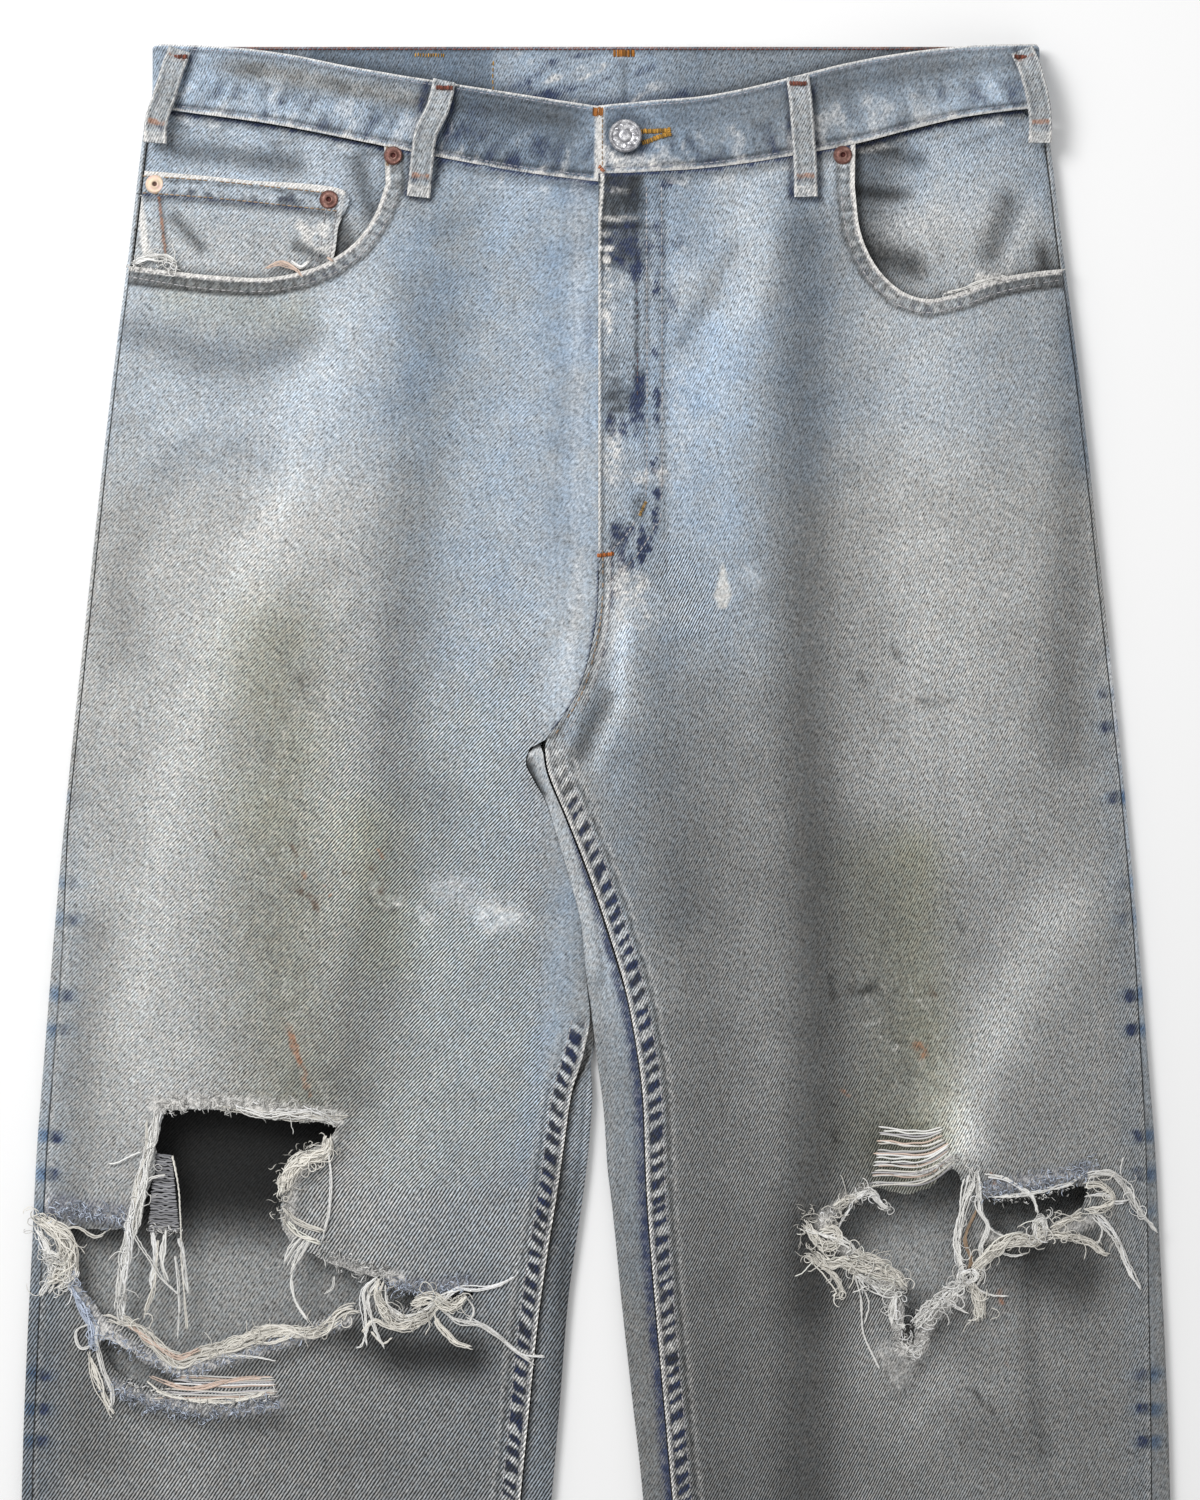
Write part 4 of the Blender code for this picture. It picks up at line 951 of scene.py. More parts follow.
def ripple(x, d, path, pitch, seed):
    """A wave along a path, from -1 to 1, with an uneven pitch."""
    _, along, _ = near(path, x, d)
    return np.sin(2 * pi * along / pitch + 2.4 * noise(along, along * 0.1, 13, seed))


def hem_wave(x, d):
    """The roping of the hem, a slanting wave from -1 to 1."""
    return np.sin(2 * pi * (x * 0.8 - (d - LENGTH) * 0.6) / 8.5 + 2 * noise(x, d, 15, 41))


def faded_from(leg, d):
    """0 above the place where the side seam starts to show its fading, and 1 below it."""
    start = 365 if leg == "right" else 300
    return step(start - 20, start + 60, d)


def front_under(leg, x, d):
    lift = fly_lift(x, d) if leg == "left" else 0.0
    return top_layer(leg, x, d) + crumple(x, d) + 0.8 * creases(leg, x, d) + lift


def band_amount(leg, x, d):
    """1 on the felled band beside the inseam, and its width-wise place from the seam's edge."""
    away, _, _ = near(INSEAM_PATH[leg], x, d)
    shown = step(INSEAM_FROM[leg] - 6, INSEAM_FROM[leg] + 8, d)
    return step(11.8, 10.4, away) * shown, away


def front_thick(leg, x, d):
    """Thickness of the front, with its doubled edges, felled seams and the puckers of each."""
    x, d = np.asarray(x, float), np.asarray(d, float)
    pocket = POCKETS[leg]
    hem = step(HEM_EDGE - 1.5, HEM_EDGE, d)
    away, _, _ = near(pocket, x, d)
    upper = step(165, 150, d)
    edge = step(8.8, 7.6, away) * upper
    total = 0.9 * np.maximum(hem, edge)
    total += 0.35 * edge * ripple(x, d, pocket, 4.6, 31)
    total -= 0.45 * (bell(away - 1.9, 0.8) + bell(away - 6.9, 0.8)) * upper
    if leg == "left":
        lap = step(J_ACROSS + 1.5, J_ACROSS, x) * step(FLY_FOOT + 14, FLY_FOOT + 4, d)
        lap *= step(274, 262, d + np.maximum(0, x - 8) * 0.9)
        total = np.maximum(total, 0.9 * lap)
        for path in (J_PATH, J_INNER):
            away, _, _ = near(path, x, d)
            total -= 0.4 * bell(away, 0.9)
            total += 0.3 * bell(away, 3) * ripple(x, d, path, 5.4, 33)
        bars = np.sin(2 * pi * (d - 92) / 10.5) * bell(x - 7, 5)
        total += 0.5 * (bars * step(82, 92, d) * step(150, 132, d))
    away, _, _ = near(CENTRE_PATH, x, d)
    total += 0.5 * step(7.4, 6.4, away) * step(246, 256, d) * (leg == "left")
    total += 0.35 * bell(away - 4, 4) * ripple(x, d, CENTRE_PATH, 5.0, 35) * step(240, 260, d)
    amount, away = band_amount(leg, x, d)
    wave = ripple(x, d, INSEAM_PATH[leg], 6.4, 37)
    wave2 = ripple(x, d + (away - 5) * 0.7, INSEAM_PATH[leg], 4.2, 38)
    total += amount * (0.75 + 0.34 * wave * bell(away - 6, 6) + 0.22 * wave2)
    total -= 0.5 * amount * (bell(away - 2.0, 0.8) + bell(away - 9.2, 0.8))
    away, _, _ = near(OUTSEAM_PATH[leg], x, d)
    total += 0.5 * bell(away - 6, 6) * ripple(x, d, OUTSEAM_PATH[leg], 23, 39)
    total += 0.3 * hem * hem_wave(x, d)
    total -= 0.4 * hem * bell(d - (HEM_EDGE + 2), 0.9)
    return np.maximum(CLOTH + total, 0.7)


def front_top(leg, x, d):
    return front_under(leg, x, d) + front_thick(leg, x, d)


def spots(x, d, path, pitch, seed):
    """Blots strung along a path at an uneven pitch, from 0 to 1."""
    _, along, _ = near(path, x, d)
    wave = np.cos(2 * pi * along / pitch + 1.8 * noise(along, along * 0, pitch * 1.7, seed))
    return step(0.0, 0.9, wave) * step(-0.5, 0.5, noise(along, along * 0, pitch * 0.9, seed + 1))


# stains and marks: path, reach, kind, amount
MARKS = {"right": (
    (((-78, 420), (-66, 424), (-52, 429), (-40, 434)), 7, 'film', 0.8),
    (((-70, 416), (-60, 417)), 4, 'film', 0.8),
    (((-56, 434), (-52, 438), (-42, 434)), 4, 'film', 1),
    (((-110, 418), (-106, 426), (-98, 425)), 3.4, 'film', 0.9),
    (((-87, 430), (-85, 435), (-82, 434)), 2.2, 'film', 0.9),
    (((-112, 419), (-110, 427), (-104, 430), (-96, 427)), 0.9, 'bare', 0.5),
    (((-88, 430), (-86, 437), (-82, 436)), 0.9, 'bare', 0.5),
    (((-56, 428), (-44, 430), (-34, 433), (-28, 437)), 1, 'bare', 0.5),
    (((-60, 437), (-56, 442), (-50, 440)), 0.9, 'bare', 0.45),
    (((-113, 417), (-112, 428), (-106, 431), (-98, 429)), 0.8, 'dark', 0.5),
    (((-112, 408), (-107, 415), (-106, 422)), 3.2, 'grime', 0.62),
    (((-150, 399), (-148, 405), (-149, 412)), 1.8, 'grime', 0.8),
    (((-147, 421), (-141, 424), (-138, 431)), 2.4, 'grime', 0.95),
    (((-146, 410), (-144, 414)), 1.6, 'rust', 0.8), (((-134, 418), (-132, 424)), 1.7, 'rust', 0.8),
    (((-125, 411), (-120, 413)), 1.7, 'grime', 0.75),
    (((-108, 401), (-106, 405)), 1.6, 'rust', 0.7),
    (((-154, 484), (-150, 495), (-146, 508), (-142, 522)), 2.2, 'rust', 0.85),
    (((-148, 499), (-145, 508)), 0.9, 'grime', 0.6), (((-99, 503), (-98, 506)), 1.5, 'rust', 0.7),
    (((-189, 390), (-186, 396)), 2, 'grime', 0.7), (((-190, 320), (-187, 326)), 1.8, 'grime', 0.6),
    (((-150, 312), (-146, 318)), 1.6, 'dark', 0.4),
), "left": (
    (((126, 470), (132, 471), (139, 468)), 2, 'dark', 0.75),
    (((164, 466), (167, 472)), 2.8, 'grime', 0.8),
    (((158, 497), (163, 499), (161, 503)), 3.4, 'rust', 0.8),
    (((116, 464), (118, 474)), 1.8, 'dark', 0.5), (((180, 437), (182, 440)), 1.6, 'dark', 0.6),
    (((131, 313), (133, 318)), 2, 'dark', 0.45), (((146, 300), (150, 306)), 1.6, 'dark', 0.4),
    (((160, 326), (168, 328), (176, 327)), 1.5, 'dark', 0.4),
    (((200, 620), (202, 627)), 2, 'rust', 0.9), (((191, 658), (189, 664)), 1.8, 'rust', 0.5),
    (((186, 668), (197, 680)), 1.1, 'dark', 0.6), (((203, 655), (205, 657)), 1.4, 'rust', 0.6),
    (((122, 520), (128, 523)), 1.8, 'rust', 0.8), (((118, 540), (119, 545)), 1.4, 'dark', 0.6),
    (((196, 560), (197, 566)), 1.4, 'rust', 0.7),
)}
# blots on and beside the fly: across, down, half width, half height, kind, amount
BLOTS = (
    (11, 75, 7, 10, 'dark', 0.6), (8, 72, 4, 3, 'indigo', 0.4), (19, 70, 3, 4, 'dark', 0.4),
    (20, 78, 4, 11, 'dark', 0.75), (28, 78, 4, 6, 'dark', 0.4), (34, 70.5, 4, 2, 'indigo', 1),
    (12, 88, 9, 1.6, 'bare', 0.45), (15, 92, 12, 1.6, 'dark', 1), (5, 95.8, 3, 1.4, 'bare', 0.8),
    (6, 99, 3.4, 1, 'dark', 0.8), (6, 102.8, 3.4, 1.6, 'bare', 0.8),
    (15, 102, 10, 12, 'indigo', 0.72), (14, 106, 7, 8, 'dark', 0.5),
    (30, 102, 4.6, 15.5, 'indigo', 0.62), (5.2, 108, 2, 2, 'bare', 0.8),
    (20.5, 115, 3.2, 5, 'indigo', 0.9), (5.6, 132, 2.4, 22, 'bare', 0.5),
    (13, 128, 5, 18, 'bare', 0.2), (20, 145, 1.3, 36, 'dark', 0.8),
    (25.5, 130, 0.8, 27, 'dark', 0.36), (30, 124, 1.8, 4, 'indigo', 0.9),
    (29, 155, 1.8, 3, 'indigo', 0.7), (34, 137, 2, 3, 'indigo', 0.5),
    (12, 166, 9, 13, 'dark', 0.45), (22, 170, 2.4, 8, 'dark', 0.7),
    (22, 172, 2.6, 8, 'indigo', 0.5), (11, 179, 7, 6, 'dark', 0.85), (10, 170.5, 3, 3, 'dark', 0.5),
    (7.2, 190, 2.4, 6, 'dark', 0.8), (7.2, 190, 2.6, 7, 'indigo', 0.6),
    (20.5, 183, 3.8, 12, 'indigo', 1.05), (20, 180, 3, 9, 'dark', 0.5),
    (13.5, 192, 2.2, 5, 'indigo', 0.8), (30, 177, 2, 4.4, 'indigo', 0.95),
    (30, 187, 1.8, 4.6, 'indigo', 0.6), (29, 210, 1.9, 3.6, 'indigo', 1),
    (9, 208, 5, 15, 'bare', 0.4), (26, 216, 10, 4, 'bare', 0.4), (30, 224.5, 1.8, 3, 'indigo', 0.9),
    (29.5, 237, 1.7, 6, 'indigo', 1), (26.5, 249, 1.8, 4.4, 'indigo', 0.9),
    (21, 231, 4, 5.5, 'dark', 0.6), (11.5, 245.5, 4.4, 7, 'indigo', 1.1),
    (11, 245, 4, 6.5, 'dark', 0.6), (17.5, 243, 1.8, 2.4, 'indigo', 1),
    (22.5, 250, 2.1, 8.5, 'indigo', 1), (22.5, 250, 2, 7, 'dark', 0.4),
    (13, 260, 1.9, 5.6, 'indigo', 1), (17, 259, 1.8, 5, 'indigo', 0.8),
    (10, 274, 2, 2.6, 'indigo', 0.85), (18, 270, 8, 8, 'bare', 0.42),
    (40, 190, 8, 42, 'bare', 0.24), (44, 112, 9, 20, 'bare', 0.2), (40, 100, 3, 3, 'indigo', 0.4),
    (38, 128, 3, 8, 'indigo', 0.34), (22, 284, 10, 8, 'bare', 0.3),
)


def blot(x, d, row, seed):
    """How much of a blot covers each place: an upright oval with a broken edge."""
    across, down, wide, high = row[:4]
    amount = np.zeros(np.shape(x))
    close = (np.abs(x - across) < 1.7 * wide) & (np.abs(d - down) < 1.7 * high)
    px, pd = x[close], d[close]
    q = ((px - across) / wide) ** 2 + ((pd - down) / high) ** 2
    broken = noise(px * 1.4, pd * 0.7, 3.4, seed, 2)
    dashes = step(-0.45, 0.45, noise(px * 0.8, pd * 1.5, 2.4, seed + 60, 2))
    amount[close] = step(2.2, 0.1, q + 0.9 * broken) * (0.75 + 0.4 * broken) * (0.4 + 0.85 * dashes)
    return amount


# abraded places with a knotted, hairy surface: path, reach, amount
ABRADED = {"right": (
    (((-152, 330), (-156, 400), (-150, 520)), 26, 0.5), (((-198, 200), (-150, 214)), 14, 0.35),
), "left": (
    (((150, 330), (160, 338)), 16, 0.4), (((146, 470), (160, 520)), 22, 0.62),
    (((190, 336), (210, 328)), 8, 0.3),
)}


# painted shade beside and under each belt loop: darker, navy lines, partly also the unfaded dye that
# the loops keep from wear
LOOP_SHADE = (
    ((-70.3, 20), (-74, 48), (-82.4, 76)), ((-84.2, 20), (-94.6, 74)), ((-94, 76.5), (-83, 78)),
    ((95.8, 20), (96.8, 76)), ((107.6, 20), (111.4, 77)), ((97, 77.5), (111, 78.5)),
    ((-199, 2), (-206, 26), (-211, 47)), ((208.4, 2), (214.4, 49)),
)


def loop_shade(p, share=1.0):
    # Painted shade beside and under each loop: darker, with navy.
    for path in LOOP_SHADE:
        amount = share * beside(path, p.x, p.d, 1.8) * (0.9 + 0.5 * noise(p.x, p.d, 7, 71))
        p.mark("dark", 0.5 * amount)
        p.indigo += 0.6 * amount


def felled_paint(p, leg):
    """The doubled band beside the inseam: puckers that keep their dye, between two worn edges."""
    x, d = p.x, p.d
    amount, away = band_amount(leg, x, d)
    _, along, _ = near(INSEAM_PATH[leg], x, d)
    along += 0.55 * (away - 5)
    wave = np.sin(2 * pi * along / 7.4 + 2.6 * noise(along, along * 0, 12, 37))
    across = step(1.9, 3.2, away) * step(10.4, 8.4, away)
    dip = step(-0.5, 0.45, wave + 0.9 * noise(x, d, 3.2, 45)) * amount * across
    dip *= 0.3 + 0.7 * step(350, 388, d)
    p.rib += 0.6 * amount
    p.tone *= 1 - 0.60 * dip + 0.16 * amount * (1 - dip)
    p.indigo += dip * (0.85 + 0.4 * noise(x, d, 17, 46))
    p.bare += amount * (0.85 * step(1.6, 0.7, away) + 0.5 * (1 - dip) * bell(away - 5.5, 4))
    p.tone *= 1 - 0.30 * bell(away - 2.4, 0.8) * amount
    outside = step(INSEAM_FROM[leg], INSEAM_FROM[leg] + 8, d)
    # Painted shade: a dark line beside the outer edge of the band.
    p.tone *= 1 - 0.30 * bell(away - 11.6, 1.0) * outside
    p.bare += 0.4 * bell(away - 14, 1.6) * outside


def front_paint(leg, x, d):
    p = Paint(leg, x, d)
    away, along, _ = near(POCKETS[leg], x, d)
    upper = step(165, 150, d)
    band = step(9.4, 8.4, away) * upper
    dark = 0.30 * step(-112, -160, x) if leg == "right" else 0.24 * step(176, 206, x) + 0.02
    p.tone *= 1 - dark * band
    p.bare += 1.7 * step(2.9, 1.3, away) * upper
    p.blue *= 1 - 0.45 * band
    tick = np.sin(2 * pi * along / 3.4) * 0.5 + 0.5
    p.tone *= 1 - 0.42 * bell(away - 3.4, 0.7) * tick * upper
    dip = step(-0.2, 0.8, ripple(x, d, POCKETS[leg], 6.0, 31) + 0.7 * noise(x, d, 3, 32)) * band
    p.tone *= 1 - 0.24 * dip * bell(away - 5.5, 3)
    p.indigo += 0.5 * dip * bell(away - 6, 2.4) * (noise(x, d, 20, 34) > -0.1)
    # Painted shade: a dark line along the outer edge of the pocket's doubled band.
    p.tone *= 1 - (0.34 + 0.26 * dark) * bell(away - 8.7, 1.0) * upper
    felled_paint(p, leg)
    away, _, _ = near(OUTSEAM_PATH[leg], x, d)
    faded = faded_from(leg, d)
    blots = spots(x, d, OUTSEAM_PATH[leg], 19, 61) * (0.75 + 0.5 * noise(x, d, 6, 62))
    p.blue += faded * (0.7 * blots * bell(away - 5, 6) + 0.3 * bell(away - 4, 9))
    p.indigo += 1.5 * faded * blots * bell(away - 4.2, 3.2)
    p.tone *= 1 - 0.30 * faded * blots * bell(away - 3.0, 3.0)
    p.bare += 0.25 * faded * (1 - blots) * bell(away - 1.0, 2.5)
    # Painted shade: a navy line and a darker strip on the front just under the waistband's lower
    # edge.
    low = d - band_foot[leg](x)
    p.indigo += 1.2 * step(2.0, 1.0, low)
    p.tone *= 1 - 0.25 * bell(low - 3, 2.6)
    p.indigo += 0.3 * bell(low - 5, 5) * step(0, 0.5, noise(x, d, 9, 63))
    p.bare += 0.45 * bell(low - 7, 4) * step(0.1, 0.5, noise(x, d, 7, 64))
    if leg == "left":
        fly_paint(p)
    else:
        # Painted shade: navy on the right front beside the edge of the fly's lap.
        p.indigo += 0.42 * bell(x + 4, 6) * step(262, 240, d) * step(
            -0.1, 0.5, noise(x, d * 0.2, 5, 65)
        )
        p.bare += 0.3 * bell(x + 9, 6) * step(262, 240, d)
    away, _, _ = near(CENTRE_PATH, x, d)
    low = step(246, 262, d)
    if leg == "left":
        broken = step(-0.4, 0.4, noise(x, d, 4, 66))
        p.indigo += low * step(330, 296, d) * 1.0 * bell(away - 6.5, 1.8) * broken
        p.tone *= 1 - 0.4 * low * bell(away - 2.6, 0.8)
        p.bare += low * 0.5 * bell(away - 4.6, 1.4) * step(346, 320, d)
    p.bare += low * 0.42 * bell(away - 10, 4) * step(330, 300, d)
    p.indigo += low * 0.9 * step(1.1, 0.5, away) * (leg == "right")
    broken = 0.9 + 0.75 * noise(x, d, 3.6, 68, 2)
    for path, reach, kind, strength in MARKS[leg]:
        p.mark(kind, strength * beside(path, x, d, reach) * broken)
    if leg == "left":
        half = np.where(
            d < 274, 0.5 + 3.7 * np.clip((d - 258) / 16, 0, 1) ** 1.2,
            4.2 * np.sqrt(np.clip((281.8 - d) / 7.8, 0, 1)),
        )
        drop = step(1.2, -0.8, np.abs(x - 62.8) - half) * step(257, 260, d) * step(282.5, 280, d)
        p.tone, p.rib = p.tone * (1 + 0.16 * drop), p.rib * (1 - 0.8 * drop)
        p.blue, p.bare = p.blue * (1 - drop), p.bare + 0.35 * drop
        p.mark("film", beside(((76, 262), (80, 268)), x, d, 4))
    nubs = noise(x, d, 4.2, 67, 2)
    for path, reach, strength in ABRADED[leg]:
        rubbed = strength * beside(path, x, d, reach)
        p.rib *= 1 - 0.6 * rubbed
        p.bare += rubbed * 0.75 * step(0.15, 0.6, nubs)
        p.tone *= 1 - 0.22 * rubbed * step(-0.1, -0.6, nubs)
    tear_paint(p, leg)
    loop_shade(p)
    hem = step(HEM_EDGE - 1, HEM_EDGE + 1, d)
    wave = hem_wave(x, d)
    p.indigo += hem * 0.6 * step(0.2, -0.8, wave)
    p.bare += hem * 0.4 * (wave > 0.4) + 0.8 * bell(d - LENGTH, 1.6)
    return p.values()


FLY_MARKS = {"dark": 1.05, "indigo": 1.35, "bare": 1.9}  # strength of each kind of blot


def fly_paint(p):
    """The stitched lap: navy and near-black where it puckers, worn white along its edge."""
    x, d = p.x, p.d
    lap = step(J_ACROSS + 5, J_ACROSS + 1, x) * step(276, 262, d)
    p.blue = p.blue * (1 - 0.25 * lap) + 0.15 * lap
    p.rib += 0.35 * lap
    high = lap * step(116, 108, d) * step(26, 20, x)
    p.tone *= 1 - 0.08 * lap - 0.26 * high
    streaks = step(-0.5, 0.6, noise(x * 2.2, d * 0.35, 4.5, 138, 2))
    p.mark("dark", high * 0.5 * streaks)
    edge = FLY_EDGE + 1.9 * step(96, 66, d)
    p.bare += 1.3 * step(1.1, 0.4, np.abs(x - edge - 0.1)) * step(256, 250, d)
    # Painted shade: a dark line just inside the fly's white edge.
    p.tone *= 1 - 0.34 * bell(x - edge - 2.0, 0.8) * step(262, 250, d)
    for i, row in enumerate(BLOTS):
        amount = row[5] * blot(x, d, row, 140 + i)
        small = 1.75 if row[4] == "indigo" and row[2] < 3.4 else 1.0
        p.mark(row[4], amount * FLY_MARKS[row[4]] * small)
        if row[4] == "dark":
            p.indigo += 0.3 * amount
    for path in (J_PATH, J_INNER):
        away, along, _ = near(path, x, d)
        tick = np.sin(2 * pi * along / 3.3) * 0.5 + 0.5
        shown = step(70, 82, d)
        p.tone *= 1 - 0.26 * bell(away - 0.8, 1.0) * tick * shown
        p.bare += 0.3 * bell(away, 1.0) * (1 - tick) * shown


# the white, fluffed edges of the tears: path, reach, bare, indigo
FLUFF = {"right": (
    (((-218, 527), (-196, 525), (-170, 527), (-128, 533)), 4.2, 0.85, 0),
    (((-272, 577), (-250, 579), (-233, 582)), 6, 0.45, 0.75),
    (((-219, 536), (-224, 566), (-229, 588)), 3, 0.7, 0),
    (((-131, 542), (-150, 560), (-152, 592)), 4, 0.62, 0),
    (((-130, 606), (-110, 612), (-98, 613)), 4.5, 0.75, 0.2),
    (((-104, 617), (-84, 618), (-64, 616)), 5, 0.5, 0.8),
    (((-264, 590), (-262, 612), (-250, 632), (-238, 646)), 5, 0.7, 0.5),
    (((-246, 641), (-226, 651), (-205, 660), (-170, 649), (-124, 634)), 4, 0.7, 0.55),
    (((-242, 666), (-222, 674), (-184, 679), (-158, 677)), 3.6, 0.6, 0.6),
), "left": (
    (((114, 582), (124, 574), (136, 569)), 3.2, 0.75, 0), (((160, 562), (178, 553)), 2.6, 0.5, 0),
    (((112, 586), (128, 604), (147, 617), (152, 640)), 4.4, 0.75, 0.1),
    (((152, 648), (160, 648), (166, 632), (180, 622)), 3.6, 0.8, 0.1),
    (((192, 569), (215, 565), (244, 560)), 4.6, 0.6, 0.72),
    (((192, 592), (216, 594), (246, 584)), 3.4, 0.6, 0.1),
    (((158, 650), (150, 664), (143, 650)), 7, 0.42, 0),
)}


def tear_paint(p, leg):
    for path, reach, bare, indigo in FLUFF[leg]:
        amount = beside(path, p.x, p.d, reach)
        p.bare, p.indigo = p.bare + bare * amount, p.indigo + 1.3 * indigo * amount
        p.rib *= 1 - 0.7 * amount
        # Painted shadow a little below each fluffed edge.
        below = near(path, p.x - 1.5, p.d - 7.0)[0]
        p.tone *= 1 - 0.20 * bell(below, 5.0)


def ragged(loop, seed):
    """A tear's edge: the loop in small steps, pulled in and out unevenly."""
    pitch, rough = 1.3, 1.1
    line = smooth_path(loop, pitch, closed=True)
    tangent = np.roll(line, -1, axis=0) - np.roll(line, 1, axis=0)
    normal = unit(tangent[:, ::-1] * (1, -1))
    s = np.arange(len(line)) * pitch
    shift = rough * (0.7 * noise(s, s * 0, 5.5, seed) + 0.6 * noise(s, s * 0, 2.2, seed + 1))
    return line + normal * shift[:, None]


def edge_line(points, pitch=3.0):
    """A polyline with straight sides, in steps of about the pitch."""
    made = []
    for (x0, d0), (x1, d1) in zip(points, points[1:]):
        count = max(1, round(float(np.hypot(x1 - x0, d1 - d0)) / pitch))
        made += [(x0 + (x1 - x0) * k / count, d0 + (d1 - d0) * k / count) for k in range(count)]
    return made + [points[-1]]


def front_outline(leg):
    foot, side = band_foot[leg], SIDE[leg]
    pocket = [tuple(p) for p in smooth_path(POCKETS[leg][:-1], 2.0)]
    corner = -105.0 if leg == "right" else 128.6
    stop = UNDERLAP if leg == "right" else FLY_EDGE + 1
    xs = np.arange(corner - side * 3, stop, -side * 3.0)
    line = [(x, float(foot(x)) + 0.3) for x in (corner, *xs)]
    if leg == "right":
        line += edge_line([(UNDERLAP, 73), (UNDERLAP, FLY_FOOT - 10), (1.1, 262)], 4.0)
        line += places_of(front_seam, 265, 346, -0.15, 3.0)
        line += places_of(lambda d: inner_fold("right", d), 350, 484, -0.6, 3.0)
        line += places_of(inseam["right"], 489, LENGTH, 0, 2.93)
    else:
        line += edge_line([(FLY_EDGE, float(foot(FLY_EDGE)) + 0.3), (FLY_EDGE, FLY_FOOT)], 3.0)
        line += places_of(front_seam, 255, 346, 0.15, 3.0)
        line += places_of(inseam["left"], 350, LENGTH, 0, 2.9)
    hem = np.arange(line[-1][0] + side * 4, float(seam_line(leg, LENGTH)) - side, side * 4.0)
    line += [(float(x), LENGTH) for x in hem]
    line += [(x, d) for x, d in places_of(lambda d: seam_line(leg, d), 113, LENGTH, 0, 3.0)[::-1]]
    return np.array(line + pocket)


def front_spacing(leg, settings):
    """Wanted distance between points: small at seams and tears, large where no detail shows."""

    def value(x, d):
        fine = settings.fine_step / MM
        wide = np.where(d > IN_VIEW, fine * 4, fine * 2)
        close = np.full(np.shape(x), 99.0)
        for path in (POCKETS[leg], INSEAM_PATH[leg], OUTSEAM_PATH[leg]):
            close = np.minimum(close, near(path, x, d)[0])
        for loop in TEARS[leg]:
            close = np.minimum(close, near(loop, x, d)[0])
        want = np.where((close < 11.5) & (d < IN_VIEW), fine, wide)
        centre = (x < 44) & (d < 300) if leg == "left" else (x > -8) & (d < 270)
        centre = centre | ((np.abs(x - 63) < 8) & (np.abs(d - 270) < 15))
        return np.where(centre, fine, want)

    return value


def make_front(leg, settings, material):
    loops = [front_outline(leg)] + [ragged(t, 80 + i) for i, t in enumerate(TEARS[leg])]
    fine = settings.fine_step / MM
    return plan_shell(
        f"denim_front_{leg}", loops, front_spacing(leg, settings),
        lambda x, d: front_under(leg, x, d), lambda x, d: front_thick(leg, x, d),
        lambda x, d: front_paint(leg, x, d), material, (fine, fine * 2, fine * 4),
    )


# ---- the backs, yokes and pockets ----


def fold_line(edge, outward, back, low, high, top, count, square=1.0):
    """Middle places of a fold, evenly spaced: round its nose, then back over by that much."""
    radius = (high - low) / 2
    last = pi / 2 + np.arccos(1 - min(back, radius) / radius)
    s = np.linspace(0, radius * last + max(back - radius, 0), count)
    angle = np.minimum(s / radius, last) - pi / 2
    beyond = np.maximum(s - radius * last, 0)
    x = edge - outward * (radius * (1 - np.cos(angle)) + beyond)
    z = low + radius + radius * np.sign(angle) * np.abs(np.sin(angle)) ** square
    return x, z + (top(x) - z) * step(0, 3, beyond)


OUTER_COUNT, FLAT_COUNT, INNER_COUNT = 11, 30, 18  # points round the outer fold, flat, and inner


def back_section(leg, downs):
    """Middle places across the back of one side: arrays of across, down and height."""
    side, middle = SIDE[leg], CLOTH / 2
    ends = [float(downs(np.array(share))) for share in (0.0, 1.0)]

    def upper(d):
        return lambda x: top_layer(leg, x, d) + middle + crumple(x, d) * step(CROTCH, 420, d)

    d = ends[0]
    x0, z0 = fold_line(
        side * float(half_width(d)), side, float(outer_return[leg](d)),
        middle + float(back_lift(d)), float(fold_height(d)) + middle, upper(d), OUTER_COUNT,
    )
    d = ends[1]
    low = middle + float(back_lift(d))
    edge = float(inner_fold(leg, d))
    curl = float(step(340, 354, d) if leg == "left" else step(486, 526, d))
    strip = max(2.5, side * (float(inseam[leg](d)) - edge) - 2 * SEAM_GAP)
    tall = float(step(480, 460, d)) * (leg == "left")
    high = float(fold_height(d)) + middle
    high += (float(upper(d)(edge + strip)) - high) * tall
    high = high + 0.3 * tall + 1.3 * float(bell(d - 350, 9)) * (leg == "left")
    x1, z1 = fold_line(edge - 0.5 * tall, -side, strip, low, high, upper(d), INNER_COUNT,
                       0.28 - 0.14 * tall)
    flat_x = edge + side * 9.6 * (1 - np.linspace(0, 1, INNER_COUNT))
    x1, z1 = flat_x + (x1 - flat_x) * curl, low + (z1 - low) * curl
    share = np.linspace(0, 1, FLAT_COUNT + 2)[1:-1]
    flat_d = downs(share)
    x = np.concatenate([x0[::-1], x0[0] + (x1[0] - x0[0]) * share, x1])
    down = np.concatenate([np.full(OUTER_COUNT, ends[0]), flat_d, np.full(INNER_COUNT, ends[1])])
    z = np.concatenate([z0[::-1], middle + back_lift(flat_d), z1])
    return x, down, z


def inside_paint(x, d):
    """The undyed inner face: plain grey twill, in deep shade under the upper edge of a tear."""
    deep = step(610, 570, d) * step(505, 532, d) * step(-60, -80, x)
    shaded = step(606, 570, d) * step(540, 560, d) * step(100, 110, x)
    tone = (0.60 + 0.03 * noise(x, d, 30, 91, 2)) * (1 - 0.80 * deep) * (1 - 0.24 * shaded)
    tone *= 1 + 0.07 * step(100, 120, x)
    tone *= 1 - 0.34 * beside(((196, 574), (240, 572)), x, d, 9)
    values = {key: np.zeros_like(x) for key in ("indigo", "bare", "grime", "rust")}
    values["rib"] = np.full_like(x, 1.3)
    values["dye"] = shade(tone, np.full_like(x, 0.05))
    return values


